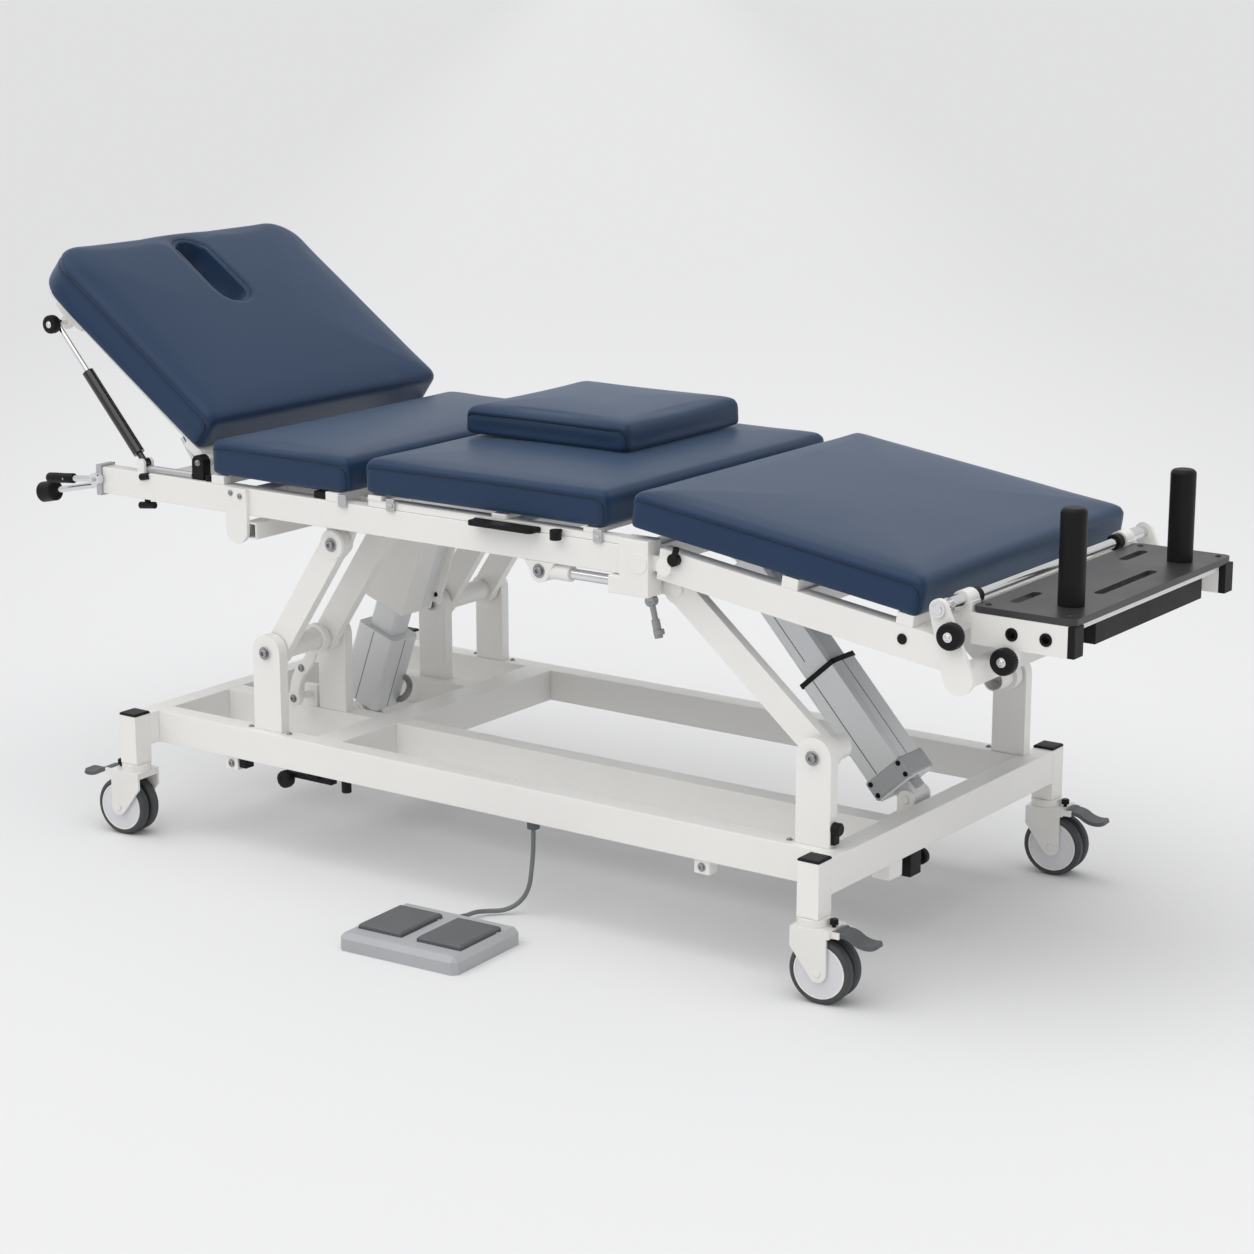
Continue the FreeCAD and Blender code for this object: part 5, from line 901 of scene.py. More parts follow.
# Fittings that repeat
@dataclass(frozen=True)
class SocketBolt:
    """A cap screw with a washer and a socket, its head along an axis."""

    radius: float
    height: float
    washer: float
    socket: float
    edge: float = 0.8 * MM
    sheet: float = 1.4 * MM
    sunk: float = 0.4 * MM
    socket_taper: float = 0.92
    socket_rim: float = 0.35
    socket_tip: float = 0.3

    def shape(self, seat: Sequence[float], direction: Sequence[float]) -> np.ndarray:
        """Profile from under the washer, over the head and down into the socket, turned about its axis.

        Args:
            seat: Where the washer lies.
            direction: The way the head points.
        Returns:
            Array of shape (profile points, points round the axis, 3).
        """
        r, h, w, s = self.radius, self.height, self.washer, self.socket
        edge, sheet, top = self.edge, self.sheet, self.sheet + h
        profile = [(0, -self.sunk), (w, -self.sunk), (w, sheet - edge / 2), (w - edge / 2, sheet),
                   (r, sheet), (r, top - edge), (r - edge, top), (s, top),
                   (s * self.socket_taper, sheet + h * self.socket_rim), (0, sheet + h * self.socket_tip)]
        return turned(profile, seat, direction, count=30)


@dataclass(frozen=True)
class GripKnob:
    """A black hand knob with a waved rim and a bright screw in its face.

    Its profile is in shares of its radius and length, its screw in shares of its radius.
    """

    radius: float
    length: float
    lobes: int = 30
    depth: float = 0.018
    points_per_lobe: int = 8
    profile: Profile = ((0, 0), (0.8, 0), (0.95, 0.08), (1, 0.22), (1, 0.78), (0.95, 0.93), (0.84, 1),
                        (0.5, 1), (0.44, 0.93), (0, 0.93))
    screw_shares: Tuple[float, ...] = (0.22, 0.1, 0.38, 0.1)

    def shape(self, seat: Sequence[float], direction: Sequence[float]) -> np.ndarray:
        """Waved rim between eased edges, with a shallow dish in the face."""
        outline = [(out * self.radius, up * self.length) for out, up in self.profile]
        return turned(outline, seat, direction, count=self.points_per_lobe * self.lobes, lobes=self.lobes,
                      depth=self.depth)

    def screw(self, seat: Sequence[float], direction: Sequence[float]) -> np.ndarray:
        """The bright screw head in the dish.

        Args:
            seat: Where the knob's back face lies.
            direction: The way the knob points.
        Returns:
            Array of shape (profile points, points round the axis, 3).
        """
        along = frame_about(direction)[0]
        bolt = SocketBolt(*(share * self.radius for share in self.screw_shares))
        dish = self.profile[-1][1] * self.length
        return bolt.shape(np.asarray(seat, float) + dish * along, direction)


# Pads
@dataclass
class Pad:
    """An upholstered pad swelled from its CAD solid's size in its own flat frame."""

    node: str
    body: str
    tilt: Tilt = field(default_factory=Tilt)
    corner: Pair = (16 * MM, 16 * MM)
    wrapped_head: bool = True
    slot_hole: bool = False
    shrink: float = 3.5 * MM
    voxel: float = 6.0 * MM
    pressure: float = 4.0
    edge: float = 15.0 * MM
    foot_edge: float = 6.0 * MM
    crown: float = 8.0 * MM
    draw: float = 2.0 * MM
    pinch: float = 1.9 * MM
    pinch_half: float = 4.5 * MM
    evening: int = 40
    lift: float = 0.4 * MM
    pole: float = 0.1 * MM
    per_corner: int = 12
    edge_rings: int = 6
    crown_rings: int = 9
    crown_start: float = 0.08
    crown_reach: float = 0.86
    under_reach: float = 0.3
    under_ease: Pair = (0.3, 0.25)
    corner_loss: float = 0.5
    corner_least: float = 0.2
    corner_most: float = 0.9
    side_start: float = 0.9
    held_height: float = 2.5 * MM
    cloth_quality: int = 4
    cloth_mass: float = 0.3
    cloth_bending: float = 6.0
    cloth_frames: int = 20
    panel_corner: float = 26 * MM
    hole_width: float = 72 * MM
    hole_length: float = 180 * MM
    hole_seam: float = 7 * MM
    hole_rim: float = 25 * MM
    hole_near: float = 0.55
    hole_under: float = 1.0 * MM
    hole_clear: float = 20 * MM
    fill: float = 0.8

    def __post_init__(self) -> None:
        """Measure the CAD solid in the pad's flat frame, and where its slot lies."""
        points = self.tilt.flatten(get_points(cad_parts[self.node]))
        self.low = points.min(axis=0)
        self.high = points.max(axis=0)
        self.centre = (self.low + self.high) / 2
        self.size = self.high - self.low
        if self.slot_hole:
            inner = np.abs(points[:, 1]) < self.hole_near * self.hole_width
            under = points[:, 2] < self.low[2] + self.hole_under
            inside = np.abs(points[:, 0] - self.centre[0]) < self.size[0] / 2 - self.hole_rim
            rim = points[inner & under & inside]
            self.hole_x = (rim[:, 0].min() + rim[:, 0].max()) / 2

    def rings(self) -> np.ndarray:
        """Rings from the middle of the underside, up the sides and over the crown.

        Returns:
            Array of shape (rings, points, 3) in the flat frame.  A ring at inset i and height h is the
            rounded outline made smaller by i, its sides pulled in by draw (1 - t^2) along each side.
        """
        length, width = self.size[0] - 2 * self.shrink, self.size[1] - 2 * self.shrink
        top = self.size[2] - self.crown - self.shrink
        edge, under, narrow = self.edge, self.foot_edge, min(length, width)
        turn = np.linspace(0.0, math.pi / 2, self.edge_rings)
        levels = [(0.0, self.under_reach * narrow), (0.0, under),
                  (self.under_ease[0] * under, self.under_ease[1] * under), (under, 0.0)]
        levels += [(top - edge + edge * math.sin(a), edge - edge * math.cos(a)) for a in turn]
        reach = self.crown_reach * (narrow / 2)
        levels += [(top + self.crown * (1 - (1 - s) ** 2), edge + s * (reach - edge))
                   for s in np.linspace(self.crown_start, 1.0, self.crown_rings)]
        rings = []
        for height, inset in levels:
            half_x, half_y = length / 2 - inset, width / 2 - inset
            largest = self.corner_most * min(half_x, half_y)
            rounding = [min(max(radius - self.corner_loss * inset, self.corner_least * radius), largest)
                        for radius in self.corner]
            outline = rounded_outline(2 * half_x, 2 * half_y, rounding, self.per_corner)
            sides = np.clip(np.abs(outline) / np.array([half_x, half_y]), 0, 1)
            pull = self.draw * (1 - sides[:, ::-1] ** 2) * np.sign(outline) * (sides > self.side_start)
            rings.append(np.column_stack([outline - pull, np.full(len(outline), height)]))
        poles = [np.tile([0.0, 0.0, height], (len(rings[0]), 1))
                 for height in (levels[0][0], levels[-1][0] + self.pole)]
        stack = np.stack([poles[0], *rings, poles[1]])
        return stack + np.array([self.centre[0], self.centre[1], self.low[2] + self.lift])

    def build(self) -> None:
        """Make the pad that stands for its CAD node: rings, slot, even mesh, swelling and seam."""
        obj = surface(self.node + "_upholstery", [self.rings()], sharp=180.0)
        if self.slot_hole:
            self.cut_slot(obj)
        remesh = obj.modifiers.new("even", "REMESH")
        remesh.mode = "VOXEL"
        remesh.voxel_size = self.voxel
        bake(obj)
        self.swell(obj)
        rounder = obj.modifiers.new("round", "SUBSURF")
        rounder.levels = rounder.render_levels = 1
        bake(obj)
        self.sew(obj)
        obj.data.polygons.foreach_set("use_smooth", np.ones(len(obj.data.polygons), bool))
        put_points(obj, self.tilt.place(get_points(obj)))
        fit(obj, self.body, LEATHER)
        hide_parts(self.node)

    def cut_slot(self, obj: bpy.types.Object) -> None:
        """Cut the face slot with a slab of its outline.

        Args:
            obj: The pad.
        """
        ends = [(-self.hole_clear, 0.0), (self.size[2] + self.hole_clear, 0.0)]
        shape = slab(self.hole_length, self.hole_width, 0.99 * (self.hole_width / 2), ends,
                     (self.hole_x, 0.0, self.low[2]))
        tool = surface("slot_cutter", [shape], sharp=180.0)
        cut = obj.modifiers.new("slot", "BOOLEAN")
        cut.object = tool
        cut.solver = "EXACT"
        bake(obj)
        bpy.data.objects.remove(tool)

    def swell(self, obj: bpy.types.Object) -> None:
        """Blow the cover up with cloth and keep each point within the shrink of its start.

        Args:
            obj: The pad.
        """
        start = get_points(obj)
        held = obj.vertex_groups.new(name="held")
        under = start[:, 2] < self.low[2] + self.held_height
        held.add(np.flatnonzero(under).tolist(), 1.0, "REPLACE")
        cloth = obj.modifiers.new("cover", "CLOTH")
        settings = cloth.settings
        settings.quality = self.cloth_quality
        settings.mass = self.cloth_mass
        settings.bending_stiffness = self.cloth_bending
        settings.use_pressure = True
        settings.uniform_pressure_force = self.pressure
        settings.vertex_group_mass = "held"
        settings.effector_weights.gravity = 0.0
        scene = bpy.context.scene
        for number in range(1, self.cloth_frames + 1):
            scene.frame_set(number)
        view = bpy.context.evaluated_depsgraph_get()
        moved = get_points(obj.evaluated_get(view))
        obj.modifiers.remove(cloth)
        scene.frame_set(1)
        step = self.even_out(obj, moved - start)
        size = np.linalg.norm(step, axis=1, keepdims=True)
        limit = self.shrink / np.maximum(size, 1e-9)
        put_points(obj, start + step * np.minimum(1.0, limit))
        obj.vertex_groups.clear()

    def even_out(self, obj: bpy.types.Object, step: np.ndarray) -> np.ndarray:
        """Share each point's movement with its neighbours, so that the cover swells without creases.

        Args:
            obj: The pad.
            step: Movement of each point.
        Returns:
            The movement after rounds of half its own and half the mean of its neighbours.
        """
        ends = np.empty(2 * len(obj.data.edges), np.int32)
        obj.data.edges.foreach_get("vertices", ends)
        a, b = ends.reshape(-1, 2).T
        count = np.maximum(np.bincount(ends, minlength=len(step)), 1)[:, None]
        for _ in range(self.evening):
            total = np.zeros_like(step)
            np.add.at(total, a, step[b])
            np.add.at(total, b, step[a])
            step = 0.5 * step + 0.5 * total / count
        return step

    def sew(self, obj: bpy.types.Object) -> None:
        """Write how far each point lies from the seam, and how far along it, in metres.

        The seam runs where the side band meets the top: its distance d is the inset from the band's
        outline in plan less the depth below the band's rounded upper edge.  The cover sinks along its
        normal by pinch exp(-(d / pinch_half)^2) there.

        Args:
            obj: The pad.
        """
        p = get_points(obj)
        half = self.size[1] / 2
        mid_x, reach = self.centre[0], self.size[0] / 2
        x = p[:, 0] - mid_x
        y = np.abs(p[:, 1] - self.centre[1])
        drawn = self.draw * (1 - np.clip(x / reach, -1, 1) ** 2)
        inset = half - drawn - y
        if self.wrapped_head:
            round_x = np.maximum(-x - (reach - self.corner[1]), 0.0)
            round_y = np.maximum(y - (half - self.corner[1]), 0.0)
            in_corner = self.corner[1] - np.hypot(round_x, round_y)
            inset = np.where(round_x > 0, np.minimum(inset, in_corner), inset)
        top = self.high[2] - self.crown - 0.7 * self.edge
        r = self.panel_corner
        foot_x = np.maximum(x - (reach - r), 0.0)
        head_x = np.zeros_like(x) if self.wrapped_head else np.maximum(-x - (reach - r), 0.0)
        past = foot_x + head_x
        rise = p[:, 2] - (top - r)
        depth = r - np.where(rise > 0, np.hypot(past, np.maximum(rise, 0)), past)
        depth = np.where(past > 0, depth, top - p[:, 2])
        seam = np.maximum(inset, 0.0) - np.maximum(depth, 0.0)
        turn = np.arctan2(past, np.maximum(rise, 1e-6))
        corner_run = np.where(rise > 0, r * turn, r * math.pi / 2 - rise)
        run = np.where(past > 0, np.sign(x) * (reach - r + corner_run), x)
        if self.slot_hole:
            straight = self.hole_length / 2 - self.hole_width / 2
            over = p[:, 0] - self.hole_x
            out_x = over - np.clip(over, -straight, straight)
            ring = np.hypot(out_x, p[:, 1]) - self.hole_width / 2 - self.hole_seam
            near = np.abs(ring) < np.abs(seam)
            bend = np.arctan2(out_x, np.abs(p[:, 1]))
            seam = np.where(near, -ring, seam)
            run = np.where(near, over - out_x + bend * self.hole_width / 2, run)
        outward = np.empty(p.size)
        obj.data.vertex_normals.foreach_get("vector", outward)
        sunk = self.pinch * np.exp(-(seam / self.pinch_half) ** 2)
        put_points(obj, p - sunk[:, None] * outward.reshape(-1, 3))
        for name, values in (("seam", seam), ("run", run)):
            layer = obj.data.attributes.new(name, "FLOAT", "POINT")
            layer.data.foreach_set("value", values.astype(np.float32))


def bake(obj: bpy.types.Object) -> None:
    """Apply an object's modifiers to its mesh.

    Args:
        obj: The object.
    """
    view = bpy.context.evaluated_depsgraph_get()
    made = bpy.data.meshes.new_from_object(obj.evaluated_get(view))
    old = obj.data
    obj.modifiers.clear()
    obj.data = made
    made.name = obj.name
    bpy.data.meshes.remove(old)


@dataclass
class Upholstery:
    """The five pads of the table."""

    datum: Datum
    back_hinge: Pair = (-612.0, 707.0)
    back_degrees: float = 35.5
    back_corner: Pair = (20 * MM, 72 * MM)
    leg_hinge: Pair = (425.0, 652.0)
    leg_degrees: float = 8.0
    cushion_voxel: float = 5.0 * MM

    def build(self) -> None:
        """Make all the pads."""
        back = Tilt.about(self.datum, self.back_hinge, self.back_degrees)
        leg = Tilt.about(self.datum, self.leg_hinge, self.leg_degrees)
        pads = [
            Pad("back_pad", "back_section", back, self.back_corner, slot_hole=True),
            Pad("thorax_pad", "top_frame", wrapped_head=False),
            Pad("pelvic_pad", "carriage", wrapped_head=False),
            Pad("leg_pad", "leg_section", leg, wrapped_head=False),
            Pad("loose_cushion", "cushion", wrapped_head=False, voxel=self.cushion_voxel),
        ]
        for pad in pads:
            pad.build()


# Cord
@dataclass
class ControlCord:
    """The foot control's cord, from the rail's gland down to the floor and along it to its relief.

    The first point of its route is the gland's mouth, the last the relief's tip, in millimetres.
    """

    datum: Datum
    radius: float = 4.0 * MM
    route: Tuple[Triple, ...] = (
        (138.0, -330.0, 154.0), (138.0, -330.0, 122.0), (135.7, -332.0, 84.0), (132.0, -335.3, 45.0),
        (119.1, -346.4, 20.0), (99.4, -363.4, 7.5), (76.68, -383.03, 8.0), (67.0248, -408.2636, 11.0),
        (68.28, -432.23, 11.0))

    def build(self) -> None:
        """A smooth curve drawn along the route, replacing the CAD cord."""
        points = np.array([self.datum.at(*spot) for spot in self.route])
        curve = bpy.data.curves.new("control_cord_line", "CURVE")
        curve.dimensions = "3D"
        curve.bevel_depth = self.radius
        curve.bevel_resolution = 5
        curve.resolution_u = 14
        curve.use_fill_caps = True
        spline = curve.splines.new("NURBS")
        spline.points.add(len(points) - 1)
        spline.points.foreach_set("co", np.column_stack([points, np.ones(len(points))]).ravel())
        spline.order_u = 3
        spline.use_endpoint_u = True
        obj = bpy.data.objects.new("control_cord_line", curve)
        bpy.context.scene.collection.objects.link(obj)
        fit(obj, "base", CORD_GREY)
        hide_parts("control_cord")


# Nodes of the CAD frame by finish
@dataclass
class FrameFinish:
    """Every CAD node that stays in sight, with its finish and edge rounding."""

    plain: Dict[str, Finish] = field(default_factory=lambda: {
        "base_rails": PAINT, "base_corner_posts": PAINT, "base_post_caps": BLACK,
        "base_inner_beams": PAINT, "lift_pedestals": PAINT, "lift_base_pins": CHROME,
        "cord_glands": DARK_GREY,
        "foot_control_housing": PALE_GREY, "pedal_raise": TREAD, "pedal_lower": TREAD,
        "foot_lift_arms": PAINT, "head_lift_arms": PAINT, "head_saddles": PAINT,
        "head_actuator_housing": SILVER, "head_actuator_tube": SILVER, "head_actuator_sleeve": PAINT,
        "foot_actuator_housing": SILVER, "foot_actuator_tube": SILVER,
        "top_side_rails": PAINT, "rail_end_plates": SATIN, "top_cross_members": PAINT,
        "top_brackets": PAINT, "back_hinge_housings": BLACK, "head_pull_knob": CHROME,
        "head_lever": CHROME, "back_frame": PAINT, "gas_cylinders": GLOSS_BLACK, "gas_rods": CHROME,
        "gas_knobs": BLACK,
        "pelvic_runners": PAINT, "knee_blocks": PAINT, "guide_rods": CHROME, "release_handle": BLACK,
        "clamp_lever": STEEL, "leg_frame": PAINT, "leg_end_plates": PAINT, "foot_hinge_shaft": CHROME,
        "foot_rails": PAINT, "foot_trim": BLACK, "foot_plate": BOARD_PAINTED_SHEEN, "foot_lock_knob": BLACK,
        "foot_clamp_knob": BLACK,
    })
    round_wide: Dict[str, float] = field(default_factory=lambda: {
        "base_rails": 3.0 * MM, "base_corner_posts": 2.5 * MM, "top_side_rails": 2.5 * MM,
        "foot_control_housing": 2.0 * MM, "pedal_raise": 1.6 * MM, "pedal_lower": 1.6 * MM,
        "knee_blocks": 2.0 * MM, "leg_frame": 2.5 * MM, "foot_rails": 2.0 * MM,
    })
    round_plain: float = 1.0 * MM
    castor: Dict[str, Tuple[Finish, float]] = field(default_factory=lambda: {
        "fork": (ENAMEL, 0.8 * MM), "wheel": (TYRE, 1.5 * MM), "brake": (DARK_GREY, 1.0 * MM),
    })

    def build(self) -> None:
        """Dress all the nodes, the castors by their ends and sides."""
        for node, finish in self.plain.items():
            ease_edges(node, finish, self.round_wide.get(node, self.round_plain))
        for end in ("head", "foot"):
            for tag, _ in SIDES:
                for kind, (finish, width) in self.castor.items():
                    ease_edges(f"castor_{kind}_{end}_{tag}", finish, width)


# Fittings by sub-assembly
@dataclass
class Fittings:
    """Small pieces of one sub-assembly, their sizes and places in millimetres.

    A place is an x, y and z from the base's middle.  Where a method adds the third, it is an x and z, or
    a y and z if its name says so.  A round piece is its radius, length and edge, a ring its bore's radius,
    outer radius and length, and a box its length, width and height.
    """

    datum: Datum

    def build(self) -> None:
        """Make the sub-assembly's pieces."""
        raise NotImplementedError

    def round(self, profile: Profile, seat: Triple, facing: Facing) -> np.ndarray:
        """A profile turned about an axis from its seat."""
        return turned(profile, self.datum.at(*seat), facing.value)

    def bolt(self, bolt: SocketBolt, seat: Triple, facing: Facing) -> np.ndarray:
        """A bolt head on its seat."""
        return bolt.shape(self.datum.at(*seat), facing.value)

    def box(self, size: Triple, foot: Triple) -> np.ndarray:
        """A box with eased edges from the middle of its lower face."""
        return block(size, self.datum.at(*foot))

    def rod(self, start: Triple, end: Triple, radius: float) -> np.ndarray:
        """A round rod between two places."""
        return swept(np.linspace(self.datum.at(*start), self.datum.at(*end), 4), radius * MM, count=24)

    def bar(self, ends: Tuple[Pair, Pair], y: float, radius: float) -> np.ndarray:
        """A round rod between two places with the same y, each given as x and z."""
        start, end = ((x, y, z) for x, z in ends)
        return self.rod(start, end, radius)


@dataclass
class LiftFittings(Fittings):
    """Pivot bolts, raised bosses and the curved lever plate of the lift.

    A pivot is an x and z, and a face is how far from the middle a bolt's seat lies.
    """

    base_pivots: Tuple[Pair, ...] = ((-460.0, 376.0), (700.0, 376.0))
    saddle_pivot: Pair = (-317.0, 589.0)
    rod_pivot: Pair = (166.0, 611.0)
    pin_face: float = 340.0
    inner_face: float = 132.0
    arm_face: float = 312.0
    saddle_face: float = 316.0
    rail_face: float = 346.0
    pivot: SocketBolt = SocketBolt(8.0 * MM, 4.5 * MM, 12.0 * MM, 3.8 * MM)
    small: SocketBolt = SocketBolt(5.0 * MM, 2.6 * MM, 7.6 * MM, 2.4 * MM)
    boss: Triple = (12.6, 25.0, 2.6)
    lever_y: float = -200.0
    lever_end: Pair = (-514.0, 254.0)
    lever_start: Pair = (-468.0, 354.0)
    lever_bends: Tuple[Pair, Pair] = ((-478.0, 310.0), (-510.0, 324.0))
    lever_thick: float = 9.0
    lever_wide: float = 22.0
    lever_eye: Triple = (20.6, 28.0, 11.0)
    lever_foot: Pair = (15.0, 11.0)
    lever_bolt: Pair = (-494.0, 315.0)
    pin_radius: float = 7.0
    pin_end: float = -150.0
    lug_size: Triple = (30.0, 12.0, 42.0)
    lug_yz: Pair = (-152.0, 229.0)

    def build(self) -> None:
        """Bolts at every pivot, bosses round the saddle pins and the lever plate."""
        outer = [self.bolt(self.pivot, (x, sign * self.pin_face, z), Facing.outward(sign))
                 for x, z in self.base_pivots for _, sign in SIDES]
        x, z = self.base_pivots[0]
        inner = [self.bolt(self.pivot, (x, sign * self.inner_face, z), Facing.outward(-sign))
                 for _, sign in SIDES]
        fit(surface("base_pivot_bolts", outer + inner), "base", STEEL)
        self.pairs("saddle_pivot_bolts", "head_saddle_set", self.saddle_pivot, self.saddle_face)
        self.pairs("rod_pivot_bolts", "top_frame", self.rod_pivot, self.rail_face)
        x, z = self.saddle_pivot
        bosses = [self.round(bush(*self.boss), (x, sign * self.arm_face, z), Facing.outward(sign))
                  for _, sign in SIDES]
        fit(surface("head_arm_bosses", bosses), "head_lift_arm_set", PAINT)
        self.lever()

    def pairs(self, name: str, body: str, pivot: Pair, face: float) -> None:
        """A pivot bolt on each side at one place along the table.

        Args:
            name: Name of the piece.
            body: Body that carries it.
            pivot: The pivot's x and z.
            face: How far its seat lies from the middle.
        """
        heads = [self.bolt(self.pivot, (pivot[0], sign * face, pivot[1]), Facing.outward(sign))
                 for _, sign in SIDES]
        fit(surface(name, heads), body, STEEL)

    def lever(self) -> None:
        """A flat S from an eye round the head arms' tube down to a pin in a lug on the beam."""
        y, (end_x, end_z) = self.lever_y, self.lever_end
        top_x, top_z = self.base_pivots[0]
        spots = [self.datum.at(x, y, z) for x, z in (self.lever_start, *self.lever_bends, self.lever_end)]
        plate = ribbon(bezier(spots, count=28), Facing.FAR.value, self.lever_thick * MM,
                       self.lever_wide * MM)
        near = y - self.lever_eye[2] / 2
        eye = self.round(bush(*self.lever_eye), (top_x, near, top_z), Facing.FAR)
        foot = self.round(barrel(*self.lever_foot), (end_x, near, end_z), Facing.FAR)
        pin = self.rod((end_x, y, end_z), (end_x, self.pin_end, end_z), self.pin_radius)
        lug = self.box(self.lug_size, (end_x, *self.lug_yz))
        fit(surface("lift_lever", [plate, eye, foot, pin, lug]), "base", PAINT)
        bolt_x, bolt_z = self.lever_bolt
        heads = [self.bolt(self.small, (bolt_x, y - self.lever_thick / 2, bolt_z), Facing.NEAR),
                 self.bolt(self.small, (end_x, near, end_z), Facing.NEAR)]
        fit(surface("lift_lever_bolts", heads), "base", STEEL)


@dataclass
class ActuatorFittings(Fittings):
    """Joint lines, collars, cable sleeves and screws of the two actuators, in their leaning frames.

    A box is its size and the middle of its lower face.
    """

    screw: SocketBolt = SocketBolt(3.4 * MM, 1.6 * MM, 4.6 * MM, 1.6 * MM)
    line_edge: float = 0.2
    head_foot: Pair = (-512.0, 195.0)
    head_lean: float = 19.54
    head_lines: Tuple[Placed, ...] = (((1.4, 0.8, 146.0), (-4.0, -37.0, 23.0)),
                                      ((0.8, 1.4, 146.0), (46.0, -2.0, 23.0)))
    sleeve_routes: Tuple[Tuple[Triple, ...], ...] = (
        ((-43.0, -22.0, 81.0), (-74.0, -22.0, 84.0), (-70.0, -22.0, 38.0), (-43.0, -22.0, 30.0)),
        ((43.0, 29.0, 81.0), (72.0, 31.0, 84.0), (66.0, 31.0, 38.0), (43.0, 29.0, 30.0)))
    sleeve_radius: float = 6.0
    plug: Pair = (8.0, 15.0)
    plug_seat: Triple = (-45.0, 12.0, 78.0)
    ram_plate: Placed = ((60.0, 5.0, 150.0), (36.0, 45.8, 246.0))
    ram_plate_edge: float = 0.8
    ram_screws: Tuple[Triple, ...] = ((54.0, 43.3, 262.0), (54.0, 43.3, 380.0))
    ram_channel: Placed = ((1.6, 24.0, 168.0), (52.0, 24.0, 236.0))
    ram_channel_edge: float = 0.4
    foot_foot: Pair = (692.0, 228.0)
    foot_lean: float = -42.1
    collar: Placed = ((86.4, 72.4, 9.0), (0.0, 0.0, 255.0))
    collar_corner: float = 5.0
    collar_wall: float = 8.4
    foot_lines: Tuple[Placed, ...] = (((1.6, 0.8, 192.0), (-14.0, -35.0, 63.0)),
                                      ((0.8, 1.4, 192.0), (42.0, -8.0, 63.0)))
    tube_line: Placed = ((1.6, 0.6, 200.0), (-11.0, -27.0, 290.0))
    end_cap: Placed = ((88.0, 74.0, 38.0), (0.0, 0.0, 25.0))
    end_cap_edge: float = 3.0
    end_screws: Tuple[Triple, ...] = ((-35.0, -37.0, 33.0), (-35.0, -37.0, 55.0),
                                      (35.0, -37.0, 33.0), (35.0, -37.0, 55.0))
    relief_seat: Triple = (33.0, -18.0, 26.0)
    relief_radii: Pair = (9.6, 8.0)
    relief_step: float = 2.4
    relief_rings: int = 10

    def build(self) -> None:
        """Dress the head actuator and the foot actuator."""
        self.head(Tilt.about(self.datum, self.head_foot, self.head_lean))
        self.foot(Tilt.about(self.datum, self.foot_foot, self.foot_lean))

    def boxes(self, pieces: Sequence[Placed], tilt: Tilt, edge: float) -> List[np.ndarray]:
        """Boxes with eased edges in a leaning frame."""
        return [block(size, mm(*foot), tilt, edge) for size, foot in pieces]

    def screws(self, seats: Sequence[Triple], tilt: Tilt) -> List[np.ndarray]:
        """Screw heads on the near faces of a leaning frame."""
        return [self.screw.shape(tilt.place(mm(*seat)), Facing.NEAR.value) for seat in seats]

    def head(self, tilt: Tilt) -> None:
        """Joint lines, two braided sleeves, a plug and the plate beside the ram.

        Args:
            tilt: Frame of the head actuator, its axis upright.
        """
        lines = self.boxes(self.head_lines, tilt, self.line_edge)
        fit(surface("head_housing_lines", lines), "head_actuator", DARK_GREY)
        routes = [bezier([mm(*spot) for spot in route], count=30) for route in self.sleeve_routes]
        sleeves = [swept(tilt.place(route), self.sleeve_radius * MM, count=16) for route in routes]
        fit(surface("cable_sleeves", sleeves), "head_actuator", BRAID)
        plug = turned(barrel(*self.plug), tilt.place(mm(*self.plug_seat)), tilt.aim(Facing.HEAD.value))
        fit(surface("head_housing_cap", [plug]), "head_actuator", BLACK)
        plate = self.boxes([self.ram_plate], tilt, self.ram_plate_edge)
        fit(surface("ram_side_plate", plate), "head_actuator_ram", PAINT)
        heads = self.screws(self.ram_screws, tilt)
        fit(surface("ram_plate_screws", heads), "head_actuator_ram", BLACK)
        channel = self.boxes([self.ram_channel], tilt, self.ram_channel_edge)
        fit(surface("ram_channel", channel), "head_actuator_ram", SILVER)

    def foot(self, tilt: Tilt) -> None:
        """Collar, joint lines, end cap, screws and a ribbed cable relief.

        Args:
            tilt: Frame of the foot actuator, its axis upright.
        """
        size, foot = self.collar
        collar = hoop(size, self.collar_corner, self.collar_wall, mm(*foot), tilt)
        fit(surface("foot_housing_collar", [collar]), "foot_actuator", BLACK)
        lines = self.boxes(self.foot_lines, tilt, self.line_edge)
        fit(surface("foot_housing_lines", lines), "foot_actuator", DARK_GREY)
        tube_line = self.boxes([self.tube_line], tilt, self.line_edge)
        fit(surface("foot_tube_line", tube_line), "foot_actuator_ram", DARK_GREY)
        cap = self.boxes([self.end_cap], tilt, self.end_cap_edge)
        ribs = [(self.relief_radii[ring % 2], self.relief_step * ring) for ring in range(self.relief_rings)]
        relief = turned(in_metres([(0.0, 0.0), *ribs, (0.0, ribs[-1][1])]),
                        tilt.place(mm(*self.relief_seat)), tilt.aim(Facing.DOWN.value))
        fit(surface("foot_housing_cap", [*cap, relief]), "foot_actuator", PALE_GREY)
        heads = self.screws(self.end_screws, tilt)
        fit(surface("foot_cap_screws", heads), "foot_actuator", BLACK)


